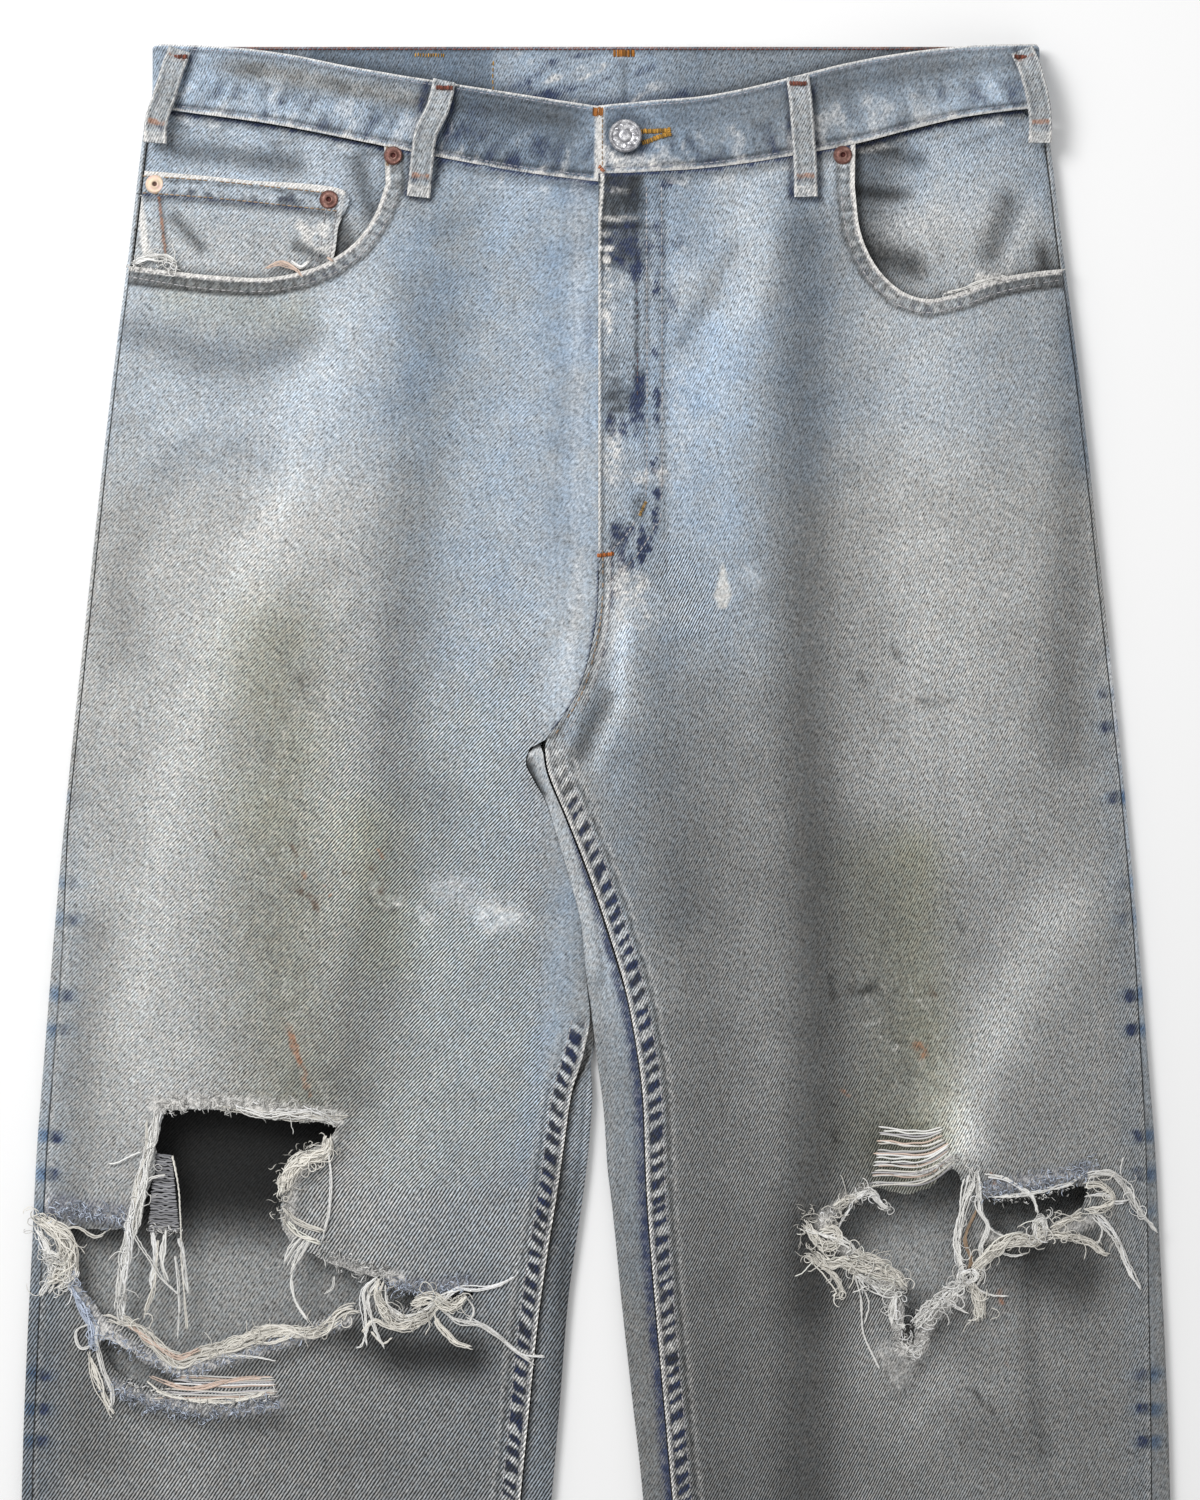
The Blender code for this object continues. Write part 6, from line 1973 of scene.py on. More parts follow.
def stitch_band(s):
    for leg, xs in (("right", np.arange(-206, 1, 5.0)), ("left", np.arange(4, 207, 5.0))):
        for curve, by in ((band_top[leg], 2.4), (band_foot[leg], -2.4)):
            path = [(float(x), float(curve(x)) + by) for x in xs]
            s.row(path, band_surface, (0.66, 0.66, 0.70), pitch=2.9, missing=0.08)
    s.row(((3.2, 36), (3.2, 62)), band_surface, TAN, pitch=2.6)
    s.bartack((-1.4, 34.8), (3.4, 35.2), 4.6, band_surface, (0.62, 0.40, 0.20))
    s.bartack((1.4, 62), (3.8, 64.5), 1.8, band_surface, (0.72, 0.48, 0.36))
    for a, b in (((21, 44.9), (36.5, 44.4)), ((23, 50.6), (36.5, 45.8))):
        s.bartack(a, b, 2.4, lambda x, d: band_surface(x, d) + 0.25, GOLD)
    s.bartack((36.0, 43.2), (36.6, 46.8), 1.6, lambda x, d: band_surface(x, d) + 0.3, GOLD)

    inside = level(float(back_lift(10)) + BAND)
    edge = [(float(x), 1.5) for x in np.arange(-206, 207, 6.0)]
    s.row(edge, inside, (0.50, 0.30, 0.28), pitch=2.4, size=1.2, missing=0.0)
    s.row(((-51, 4), (-51.5, 16), (-51, 26)), inside, GOLD, missing=0.35)
    s.bartack((-90, 4.2), (-76, 4.6), 2.0, inside, GOLD, count=11)
    s.bartack((9, 3.6), (19, 3.4), 4.0, inside, (0.70, 0.46, 0.18), count=13)
    for leg, _, path, _ in LOOPS:
        (x0, d0), (x1, d1) = path[0], path[-1]
        upward = unit(np.array(path[-2], float) - path[-1])

        def top(x, d, leg=leg):
            return loop_ground(leg, x, d) + 0.5 + LOOP_CLOTH + 1.2

        end = np.array((x1, d1)) + upward * 10
        s.bartack(end - (4.2, 0), end + (4.2, 0), 1.8, top, (0.66, 0.40, 0.22))
        s.bartack((x0 - 3.8, d0 + 3.6), (x0 + 3.8, d0 + 3.8), 2.2, top, (0.52, 0.30, 0.24))


def stitch_under(s):
    """The plain double rows of the sides that face down."""
    def under(x, d):
        return back_lift(d)

    for leg, side in SIDE.items():
        corners = [(side * x, d) for x, d in BACK_POCKET]
        middle = np.mean(corners, axis=0)
        for inset in (0.965, 0.91):
            ring = middle + (np.array(corners + corners[:1]) - middle) * inset
            for a, b in zip(ring, ring[1:]):
                s.row((a, b), level(0.1), TAN, below=True)
        for by in (2.4, 8.6):
            shares = np.linspace(0, 1, 9)
            seam = [(side * (215 - 211 * t), float(yoke_seam(t)) + by) for t in shares]
            s.row(seam, under, TAN, below=True)
            seat = [(side * by * 0.5, d) for d in np.arange(108, 345, 12.0)]
            if (leg == "left") or by < 3:
                s.row(seat, under, TAN, below=True)
        hem = [(side * x, HEM_EDGE + 2) for x in np.arange(52, 272, 8.0)]
        s.row(hem, under, TAN, below=True)
    for by in (2.4, BAND_HEIGHT - 2.4):
        xs = np.arange(-206, 207, 6.0)
        s.row([(float(x), by) for x in xs], under, TAN, below=True)


# ---- the frays ----

# cords of loose threads: path, width at its start, middle and end, strands, colour, lift
CORDS = {"right": (
    # right knee, along the upper edge
    (((-182, 526), (-166, 531), (-144, 530), (-128, 536)), (2, 5, 3), 7, WHITE, 2.6),
    (((-186, 528), (-150, 533), (-122, 533)), (2, 4, 2), 4, CREAM, 2.2),
    # the bundle across the opening's left side
    (((-217, 530), (-220, 546), (-225, 564), (-228, 580), (-232, 596), (-235, 612), (-236, 628),
     (-235, 636)), (4, 6, 4), 15, WHITE, 1.6),
    (((-222, 532), (-223, 550), (-228, 572), (-229, 590)), (1, 2, 1), 3, CREAM, 2),
    (((-213, 561), (-222, 564), (-225, 575), (-226, 586), (-228, 592), (-220, 605), (-215, 613),
     (-207, 621)), (1, 2, 1), 2, WHITE, 1.8),
    (((-225, 550), (-233, 553), (-237, 555), (-241, 556)), (0.5, 0.5, 0.5), 1, WHITE, 3),
    (((-213, 588), (-215, 605), (-213, 616)), (1, 2, 2), 4, WHITE, -0.5),
    (((-217, 594), (-220, 618), (-225, 634)), (1, 2, 2), 4, CREAM, -0.5),
    (((-207, 592), (-204, 612), (-203, 622)), (2, 2, 2), 4, WHITE, -0.5),
    (((-209, 602), (-207, 624), (-207.5, 644)), (1, 1.5, 1), 2, WHITE, -0.5),
    (((-206, 600), (-203.5, 639)), (0.5, 1, 1), 2, CREAM, -0.5),
    (((-220, 590), (-219, 604), (-222, 620)), (1, 2, 3), 5, WHITE, -0.5),
    (((-210, 552), (-206, 572), (-205.5, 600)), (0.5, 1, 0.5), 2, CREAM, -0.5),
    # the white flap at the right of the opening, and its loops
    (((-132, 542), (-134, 550), (-147, 556), (-153, 564), (-155, 572)), (3, 7, 4), 20, CREAM, 2.4),
    (((-132.5, 546), (-131.5, 564), (-132.5, 580), (-136, 594)), (1, 1.5, 1), 3, WHITE, 3),
    (((-145, 591), (-151, 598), (-155, 606)), (3, 4, 3), 5, WHITE, 0.8),
    (((-142, 592), (-148, 603), (-152, 611)), (2, 3, 2), 4, WHITE, 0.8),
    (((-144, 592), (-150.5, 608), (-149, 624), (-140.5, 638)), (1, 2, 1), 3, WHITE, 0.4),
    (((-136, 596), (-148, 590), (-154, 583)), (2, 3, 2), 4, CREAM, 1.8),
    (((-134, 590), (-146, 585), (-155, 577)), (2, 3, 2), 4, CREAM, 1.8),
    (((-130, 612), (-131, 618), (-135, 621)), (0.5, 1, 0.5), 2, WHITE, 0.2),
    # the lip below the opening
    (((-245, 633), (-238, 634), (-228, 638), (-217, 648), (-206, 655), (-198, 651.5), (-185, 648),
     (-172, 643.5), (-156, 639), (-142, 640.5), (-132, 636), (-124, 629.5), (-116, 629)), (5, 6, 4),
     26, CREAM, 1.8),
    (((-232, 636), (-219, 645), (-207, 652.5), (-196, 648)), (2, 3, 2), 6, PEACH, 3.2),
    (((-205, 657), (-190, 652), (-172, 652), (-158, 655)), (1, 2, 1), 3, WHITE, 1.8),
    (((-178, 644), (-163, 637), (-150, 639), (-160, 645), (-172, 645)), (1, 2, 1), 5, CREAM, 3.4),
    # loops right of the opening
    (((-107, 611), (-115.5, 620), (-115, 634), (-114, 647)), (1, 2, 1), 3, WHITE, 2),
    (((-106, 612), (-113, 622), (-110, 636), (-105, 648.5)), (1, 2, 1), 3, WHITE, 2),
    (((-112, 634), (-116, 646), (-119, 648)), (1, 1, 1), 2, WHITE, 2),
    (((-112, 640), (-106, 646), (-101, 643)), (1, 1, 1), 2, CREAM, 2),
    (((-107, 612), (-108.6, 624), (-99, 635.5), (-88, 634), (-77, 626)), (4, 7, 4), 16, CREAM, 1.8),
    (((-104, 614), (-104, 626), (-95, 633), (-84, 629), (-76, 622), (-66, 618)), (2, 3, 2), 5,
     WHITE, 2.4),
    (((-116, 640), (-110, 634), (-104, 637), (-96, 640)), (1, 2, 1), 4, CREAM, 2),
    (((-92, 626), (-82, 623), (-72, 627), (-64, 622)), (3, 7, 3), 14, CREAM, 2.6),
    (((-77, 626), (-69, 618.5), (-57.5, 618), (-49, 616.5), (-40.5, 612)), (1, 2, 1), 4, WHITE,
     2.4),
    (((-82, 624), (-70, 634), (-56, 637), (-42, 648), (-28.5, 658)), (2, 2, 1), 4, WHITE, 2.2),
    (((-64, 632), (-50, 641), (-38, 651), (-25.5, 653)), (1, 1.5, 0.6), 2, WHITE, 2.2),
    (((-80, 630), (-78, 637), (-70, 645), (-61, 648.5)), (1, 3, 2), 5, CREAM, 2),
    (((-66, 620), (-61, 628), (-63, 636)), (1, 1, 1), 2, WHITE, 2.6),
    # left of it
    (((-280, 584), (-268, 590), (-262, 601), (-265, 612), (-272, 618)), (4, 11, 7), 30, CREAM, 2.2),
    (((-276, 600), (-266, 606), (-262, 612), (-268, 620)), (3, 6, 3), 12, WHITE, 2.6),
    (((-279, 588), (-274, 600), (-271, 614), (-276, 624)), (3, 6, 4), 10, WHITE, 1.8),
    (((-266, 590), (-258, 588), (-248, 592), (-240, 588)), (1, 2, 1), 4, CREAM, 1.4),
    (((-260, 617), (-254, 630), (-250, 640), (-252, 650)), (2, 4, 3), 8, BLUE_WHITE, 1.6),
    (((-246, 634), (-248, 644), (-245, 658), (-240, 672), (-244, 683)), (1, 2, 2), 5, WHITE, 2),
    (((-252, 650), (-249, 662), (-242, 678), (-239, 682)), (2, 3, 2), 6, CREAM, 1.8),
    (((-250, 636), (-258, 640), (-256, 648), (-248, 646)), (1, 2, 1), 3, WHITE, 2.4),
    (((-262, 606), (-258, 613), (-256.5, 610)), (1, 1, 1), 2, WHITE, 2),
    # the strip of weft under the lip
    (((-224, 664), (-214, 671), (-196, 674), (-178, 674), (-160, 668)), (1, 2, 1), 5, CREAM, 1.2),
    (((-222, 662), (-202, 668), (-180, 664), (-160, 662)), (1, 2, 1), 4, PEACH, 1),
    # the edge of the pocket
    (((-164, 113), (-156, 110), (-149, 113), (-145, 117)), (1, 2, 1), 5, PEACH, 1.6),
    (((-151, 109), (-146, 112), (-142, 109)), (1, 2, 1), 4, WHITE, 1.8),
    (((-133, 107), (-130, 109)), (1, 1.5, 1), 3, PEACH, 1.8),
    (((-231, 109), (-222, 106), (-212, 108), (-207, 112)), (2, 4, 2), 9, WHITE, 1.4),
), "left": (
    # left knee: fringe, tangle and the bundle left of the opening
    (((127.5, 573.5), (135.5, 570.5), (140.5, 575.5), (146, 578.5)), (3, 3, 1), 8, WHITE, 2),
    (((118, 579), (124, 575), (130, 574)), (3, 4, 2), 8, CREAM, 2),
    (((126, 577), (122, 584), (119.5, 590)), (0.6, 1, 0.6), 2, WHITE, 2),
    (((109, 600), (116, 606), (123, 605), (137, 609), (149, 614), (154.5, 619)), (3, 7, 3), 20,
     CREAM, 2.2),
    (((126, 600), (138, 603), (149, 611), (154, 618)), (3, 4, 2), 10, CREAM, 2.6),
    (((128, 610), (137, 617), (145, 621), (153, 620)), (3, 5, 3), 12, WHITE, 2.2),
    (((103, 588), (112, 592), (120, 594), (127, 598), (124, 601)), (2, 4, 2), 6, WHITE, 2.8),
    (((104, 583), (108, 592), (114, 597), (120, 594), (118, 588), (110, 590)), (2, 4, 3), 9, CREAM,
     2.8),
    (((127.7, 608), (131.5, 624), (132.8, 641), (140.8, 658.5)), (1.2, 1, 0.5), 2, WHITE, 2),
    (((130, 614), (135.4, 625), (133.5, 636)), (1, 1, 0.6), 2, WHITE, 2),
    (((149.5, 620), (147, 630), (149, 637), (153.5, 636)), (4, 4, 1), 10, WHITE, 1.6),
    (((104, 602), (116, 611), (121, 620), (118, 623)), (2, 4, 3), 8, CREAM, 1.2),
    # its lower tip and right lip
    (((151, 645), (157, 649), (163, 644)), (3, 4, 2), 10, WHITE, 1.6),
    (((158, 637), (166, 629), (173, 623), (180, 618)), (4, 6, 5), 22, WHITE, 2),
    (((166, 630), (171, 624), (180, 628), (186, 631)), (1, 1, 1), 3, WHITE, 3),
    # the bundle across it, with its knot and fans
    (((188, 557), (186, 562), (181.5, 578), (179, 593), (181, 606), (184, 613)), (4, 4, 3), 9,
     WHITE, 2),
    (((189.5, 557), (190, 578), (194, 587), (190.5, 597), (190.5, 605), (185, 612)), (3, 2, 2), 5,
     WHITE, 2.6),
    (((189, 577), (183, 593), (186, 603), (184, 612)), (1, 2, 1), 4, TAN, 2),
    (((193, 585), (198, 590), (204, 592.5)), (1, 1, 0.6), 2, WHITE, 2.6),
    (((186, 608), (189, 612), (182, 616), (180, 611), (187, 609)), (2, 3, 2), 8, WHITE, 3.4),
    (((183, 613), (176, 621), (172, 627)), (3, 5, 5), 9, WHITE, 2.6),
    (((185, 613), (190, 624), (192, 634.5)), (3, 5, 5), 12, CREAM, 2.6),
    (((184, 614), (194, 620.5), (204.5, 621.5)), (1, 1, 0.6), 2, WHITE, 3),
    (((190, 600), (192, 610), (189, 617)), (1, 1, 1), 2, WHITE, 2.6),
    # the cord right of it
    (((186, 610), (196, 600), (202, 595), (212, 593.5), (218, 594.5), (220.5, 587)), (4, 6, 4), 22,
     CREAM, 2.4),
    (((217, 592), (217.5, 585), (221.5, 583), (222.5, 590), (218, 593)), (2, 3, 2), 9, WHITE, 3.4),
    (((191, 561), (202, 563.5), (209.5, 568), (216, 573), (219.5, 584)), (1.4, 2, 1), 4, WHITE,
     2.6),
    (((200, 600), (207, 602), (214, 600.5)), (0.6, 1, 0.6), 2, WHITE, 2),
    (((223, 591), (232, 591.5), (244, 594.5), (251, 600), (255.5, 601)), (2, 4, 2), 8, CREAM, 2.2),
    (((225, 588), (236, 583), (242, 580)), (2, 4, 3), 9, CREAM, 2),
    (((194, 573), (213, 571), (232, 566.5), (243, 561)), (1, 2, 1), 5, WHITE, 2.4),
    (((242, 562), (250, 561), (259, 563), (265.5, 572), (270.5, 580.5), (279.8, 591.5)), (2, 5, 1),
     8, WHITE, 2.6),
    (((241, 566), (250, 567), (256, 574), (249, 578), (241, 577)), (3, 4, 3), 9, CREAM, 2.6),
    (((241, 572), (252, 571), (258, 575), (266.5, 574.5)), (2, 2, 1), 4, WHITE, 2.6),
    (((242, 579), (250, 583.5), (258, 593.5), (264.5, 607.5), (272, 621.5)), (3, 3, 1), 6, WHITE,
     2.4),
    (((249, 584), (251, 590), (248, 597)), (1, 1, 1), 2, WHITE, 2.4),
    # the edge of the pocket
    (((170, 126), (181, 123), (192, 119), (205, 116)), (1, 1.6, 1), 4, WHITE, 0.8),
)}
# edges with short hairs: path, hairs for each millimetre, length, spread, colour, lift
HAIRS = {"right": (
    (((-218, 526), (-196, 524), (-170, 526), (-130, 532)), 4.5, 5, 3.4, WHITE, 1.6),
    (((-214, 529), (-185, 528), (-160, 531)), 3, 4, 1.6, WHITE, 1.4),
    (((-134, 545), (-146, 552), (-154, 562), (-155, 586)), 3.2, 7, 4, CREAM, 1.6),
    (((-137, 598), (-124, 606), (-110, 609), (-100, 611)), 4, 6, 4, WHITE, 1.6),
    (((-103, 617), (-84, 618), (-66, 615)), 6.5, 5, 4, BLUE_WHITE, 2.2),
    (((-270, 578), (-250, 580), (-232, 583)), 6.5, 6, 5, BLUE_WHITE, 2.2),
    (((-262, 592), (-262, 606), (-256, 622), (-248, 640)), 3.6, 5, 3, BLUE_WHITE, 1.6),
    (((-244, 640), (-228, 650), (-206, 661), (-186, 654), (-160, 646), (-126, 635)), 3.6, 4.2, 3,
     BLUE_WHITE, 1.2),
    (((-242, 668), (-222, 676), (-196, 681), (-180, 678), (-160, 676)), 6, 5, 3.4, BLUE_WHITE, 1.2),
    (((-236, 664), (-205, 674), (-180, 676), (-160, 672)), 3, 4, 2, WHITE, 1.4),
    (((-222, 587), (-214, 589), (-207, 590)), 4, 5, 1.6, WHITE, -0.5),
    (((-232, 110), (-214, 112), (-205, 113)), 3, 4, 2, WHITE, 1.2),
), "left": (
    (((112, 585), (118, 578), (128, 573), (137, 569)), 3.5, 5, 3, WHITE, 1.6),
    (((106, 580), (104, 592), (108, 602)), 4, 7, 4, CREAM, 1.6),
    (((120, 596), (132, 604), (146, 614), (152, 628)), 3.2, 5, 2.6, WHITE, 1.6),
    (((150, 640), (156, 650), (161, 642)), 6, 6, 4, WHITE, 1.6),
    (((160, 634), (170, 625), (180, 618)), 4.5, 5, 3.4, WHITE, 2),
    (((192, 568), (210, 567), (230, 563), (246, 557)), 7, 4.5, 5, BLUE_WHITE, 2.4),
    (((196, 574), (216, 573), (236, 568)), 3, 3.5, 1.6, WHITE, 1.8),
    (((196, 596), (214, 592), (222, 588)), 3.6, 4, 2.6, CREAM, 1.8),
    (((160, 561), (172, 556), (180, 552)), 3, 4, 2, WHITE, 1.6),
    (((165, 127), (180, 124), (206, 115)), 1.6, 2.4, 1.2, WHITE, 0.8),
)}


class Frayer:
    """Lays loose threads over the cloth and across its openings."""

    def __init__(self, seed):
        self.yarns, self.rng = Yarns(), np.random.default_rng(seed)

    def height(self, leg, x, d, lift):
        lying = top_layer(leg, x, d) + crumple(x, d) + 0.5 * creases(leg, x, d) + CLOTH
        return lying + np.where(lift > 0, lift * 0.6, lift * 3)

    def lay(self, leg, p, up, lift, colour, tints, radii, sides):
        """One thread through places on the plan, its tint and radius drawn from two ranges."""
        z = self.height(leg, p[:, 0], p[:, 1], np.float64(lift)) + up
        tint = linear(np.array(colour) * self.rng.uniform(*tints))
        radius = self.rng.uniform(*radii)
        self.yarns.add(world(p[:, 0], p[:, 1], z), radius, tint, sides)

    def cord(self, leg, path, widths, count, colour, lift):
        """Crimped threads that wind about one another along a path."""
        pitch = 1.05
        line = smooth_path(path, pitch)
        n = len(line)
        t, s = np.linspace(0, 1, n), np.arange(n) * pitch
        wide = np.interp(t, (0, 0.5, 1), widths) / 2
        along = unit(np.gradient(line, axis=0))
        across = np.stack([-along[:, 1], along[:, 0]], axis=1)
        for k in range(round(count * 1.25)):
            phase, seed = self.rng.uniform(0, 2 * pi), int(self.rng.integers(1 << 30))
            turns = self.rng.uniform(-0.6, 0.6)
            reach = np.sqrt(self.rng.uniform(0.02, 1.25))
            angle = phase + turns * s / 7 + 1.2 * noise(s, s * 0 + k, 9, seed + 1)
            crimp = self.rng.uniform(0.02, 0.20) * np.sin(
                s * self.rng.uniform(1.5, 2.3) + phase + noise(s, s * 0, 5, seed)
            )
            sway = noise(s, s * 0 + k, 8, seed) * 0.8
            off = wide * reach * np.cos(angle) + sway * np.clip(wide, 0.4, 2.0) + crimp
            up = wide * reach * np.sin(angle) * 0.5 + 0.6 * np.abs(crimp)
            first = int(n * self.rng.uniform(0, 0.16) * (count > 2))
            last = n - int(n * self.rng.uniform(0, 0.20) * (count > 2))
            if last - first < 4:
                continue
            p = (line + across * off[:, None])[first:last]
            self.lay(leg, p, up[first:last], lift, colour, (0.86, 1.05), (0.28, 0.44), 4)

    def curls(self, leg, path, widths, count, colour, lift):
        """Short ends that curl back on themselves, in and beside a cord."""
        line = smooth_path(path, 1.0)
        for _ in range(count):
            at = self.rng.random()
            wide = float(np.interp(at, (0, 0.5, 1), widths))
            start = line[int(at * (len(line) - 1))] + self.rng.normal(0, 0.28 * wide + 0.4, 2)
            steps = int(self.rng.integers(9, 17))
            bend = self.rng.choice((-1, 1)) * self.rng.uniform(0.10, 0.55)
            way = self.rng.uniform(0, 2 * pi) + np.cumsum(
                np.full(steps, bend) + self.rng.normal(0, 0.22, steps)
            )
            p = start + np.cumsum(np.stack([np.cos(way), np.sin(way)], axis=1) * 0.85, axis=0)
            up = self.rng.uniform(0.2, 1.9) + 0.8 * np.sin(np.linspace(0, 2.6, steps))
            self.lay(leg, p, up, lift, colour, (0.80, 1.05), (0.22, 0.34), 3)

    def hairs(self, leg, path, rate, length, spread, colour, lift):
        line = smooth_path(path, 1.0)
        count = int(rate * len(line) * 0.55)
        for _ in range(count):
            start = line[self.rng.integers(len(line))] + self.rng.normal(0, spread / 2, 2)
            way, bend = self.rng.uniform(0, 2 * pi), self.rng.normal(0, 0.6)
            steps = 5
            size = length * self.rng.uniform(0.4, 1.15) / steps
            turns = way + np.cumsum(np.full(steps, bend) + self.rng.normal(0, 0.45, steps))
            p = start + np.cumsum(np.stack([np.cos(turns), np.sin(turns)], axis=1) * size, axis=0)
            up = self.rng.uniform(-0.8, 0.9) + self.rng.uniform(0, 1.2) * np.sin(
                np.linspace(0, pi, steps)
            )
            self.lay(leg, p, up, lift, colour, (0.55, 1.06), (0.20, 0.34), 3)

    def ladder(self, leg, uppers, lowers, count, sag, colours, lift, fuzz=0.0, thick=0.45):
        """Bare weft: lines side by side, from between one pair of ends to between the other."""
        for k in range(count):
            t = k / (count - 1)
            (a0, a1), (b0, b1) = uppers, lowers
            a = np.array(a0) + (np.array(b0) - a0) * t + self.rng.normal(0, fuzz, 2)
            b = np.array(a1) + (np.array(b1) - a1) * t + self.rng.normal(0, fuzz, 2)
            s = np.linspace(0, 1, 26)
            p = a + (b - a) * s[:, None]
            dip = np.sin(pi * s ** 1.5) * sag * (0.35 + 0.65 * t)
            seed = int(self.rng.integers(1 << 30))
            p[:, 1] += dip + 0.6 * noise(s * 40, s * 0 + k, 7, seed)
            z = self.height(leg, p[:, 0], p[:, 1], np.float64(lift)) + 0.2 * noise(
                s * 40, s * 0, 5, seed + 1
            )
            tint = linear(np.array(colours[k % len(colours)]) * self.rng.uniform(0.85, 1.1))
            self.yarns.add(world(p[:, 0], p[:, 1], z), thick, tint, 4)

    def made(self, name, material):
        return self.yarns.made(name, material)


def fray_leg(leg, settings, material):
    f = Frayer(settings.seed + SIDE[leg])
    for path, widths, count, colour, lift in CORDS[leg]:
        f.cord(leg, path, widths, count, colour, lift)
        if count > 6:
            f.curls(leg, path, widths, round(count * 1.1), colour, lift)
    for row in HAIRS[leg]:
        f.hairs(leg, *row)
    if leg == "left":
        f.ladder(leg, ((141, 539), (171, 538)), ((136, 567), (177.5, 556)), 23, 6.0,
                 (WHITE, CREAM, PALE, WHITE, PEACH), 0.8, 0.8)
    else:
        grey_ = (0.55, 0.55, 0.57)
        f.ladder(leg, ((-219, 551), (-210, 552)), ((-222, 589), (-206.5, 589)), 38, 0.4,
                 (grey_, (0.66, 0.66, 0.67)), -0.7, 0.12, 0.5)
        f.ladder(leg, ((-206, 661), (-160, 663)), ((-222, 675), (-158, 672)), 12, 1.5,
                 (WHITE, PEACH, CREAM, PALE), 0.6, 0.5)
    return f.made(f"thread_fringe_{leg}", material)


# ---- the button and rivets ----


def turned_piece(name, centre, profile, material, sides=48, edit=None, pitted=False):
    """A turned piece; edit changes the heights of its rings for each angle."""
    profile = np.array(profile, float)
    angle = np.arange(sides) * 2 * pi / sides
    r, z = profile[:, 0:1] + 0 * angle, profile[:, 1:2] + 0 * angle
    if edit:
        z += edit(r, angle[None, :] + 0 * r)
    points = np.stack([
        centre[0] + r * np.cos(angle), TOP_Y - centre[1] + r * np.sin(angle), centre[2] + z
    ], axis=-1).reshape(-1, 3)
    index = np.arange(len(points)).reshape(len(profile), sides)
    nxt = np.roll(index, -1, axis=1)
    quads = np.stack([index[:-1], index[1:], nxt[1:], nxt[:-1]], axis=-1).reshape(-1, 4)
    faces = quads.tolist() + [index[0].tolist(), index[-1][::-1].tolist()]
    pit = step(1.5, 0.9, np.repeat(profile[:, 0], sides)) * (pitted * 1.0)
    return new_object(name, points, faces, {"pit": pit}, material, sharp=0.6)


def make_button(material):
    """A plain tack button: a centre disc in a ring with small raised bars, and a beaded rim."""
    low = float(band_height("left", BUTTON[0])) + (BAND + 0.5) + BAND + 0.3
    rings = [(0.6, 3.0), (1.6, 3.05), (2.6, 3.0), (3.2, 2.75), (3.5, 2.35), (3.8, 2.4)]
    rings += [(r, 2.45) for r in (4.2, 4.6, 5.0, 5.4, 5.8)]
    rings += [(6.1, 2.5), (6.4, 2.95), (6.9, 3.3), (7.4, 3.3), (7.9, 2.95), (8.2, 2.4), (8.2, 1.9),
              (7.4, 1.6), (3.4, 1.5), (3.4, 0.0)]

    def relief(r, angle):
        bars = np.sin(angle * 11) * step(0.1, 0.7, np.abs(np.sin(angle * 2 + 0.5)))
        return 0.45 * step(0, 0.5, bars) * step(4.0, 4.4, r) * step(6.0, 5.6, r) * (r > 3.9)

    return turned_piece("button_cap", (*BUTTON, low), rings, material, 88, relief)


RIVETS = (("pocket_right", (-100.5, 56.5)), ("pocket_left", (122.3, 56.2)),
          ("coin_outer", (-219.5, 69.5)), ("coin_inner", (-132.5, 78.0)))


def make_rivets(copper, pale):
    made = []
    for name, (x, d) in RIVETS:
        if name.startswith("coin"):
            low = float(coin_under(x, d)) + CLOTH + 0.9
        else:
            low = float(front_top(name[7:], x, d)) + 0.5
        rings = ((0.2, 0.5), (0.8, 0.6), (1.3, 1.5), (1.8, 1.6), (2.5, 1.1), (3.2, 1.0),
                 (3.9, 1.1), (4.4, 0.7), (4.7, 0.0))
        material = pale if name == "coin_outer" else copper
        made.append((name, turned_piece(
            f"rivet_cap_{name}", (x, d, low), rings, material, 28, pitted=True)))
    return made


# ---- the add-on: settings, operators, panel ----


class JeansClothSettings(bpy.types.PropertyGroup):
    fine_step: bpy.props.FloatProperty(
        name="Finest step", description="Spacing of points at seams and tears",
        default=0.0013, min=0.0005, unit="LENGTH",
    )
    twill_pitch: bpy.props.FloatProperty(
        name="Twill pitch", description="Distance between two ribs of the twill",
        default=0.00125, min=0.0001, unit="LENGTH",
    )
    twill_depth: bpy.props.FloatProperty(
        name="Twill depth", description="Height of a rib of the twill",
        default=0.00025, min=0.0, unit="LENGTH",
    )
    # The indigo colour serves for dye left in seams and puckers and also for painted shade lines:
    # under the waistband, beside the fly and round the belt loops.
    indigo: bpy.props.FloatVectorProperty(
        name="Indigo", description="Dye left in the seams and creases", subtype="COLOR",
        default=(0.020, 0.032, 0.085), min=0.0, max=1.0,
    )
    bare_cotton: bpy.props.FloatVectorProperty(
        name="Bare cotton", description="Cotton worn white at the edges", subtype="COLOR",
        default=(0.75, 0.73, 0.70), min=0.0, max=1.0,
    )


class JeansTrimSettings(bpy.types.PropertyGroup):
    stitch_pitch: bpy.props.FloatProperty(
        name="Stitch pitch", description="Distance from one stitch to the next",
        default=0.0032, min=0.001, unit="LENGTH",
    )
    thread_radius: bpy.props.FloatProperty(
        name="Thread radius", description="Half the thickness of the sewing thread",
        default=0.0003, min=0.0001, unit="LENGTH",
    )
    seed: bpy.props.IntProperty(
        name="Seed", description="Start of the random lie of stitches and threads", default=7,
    )


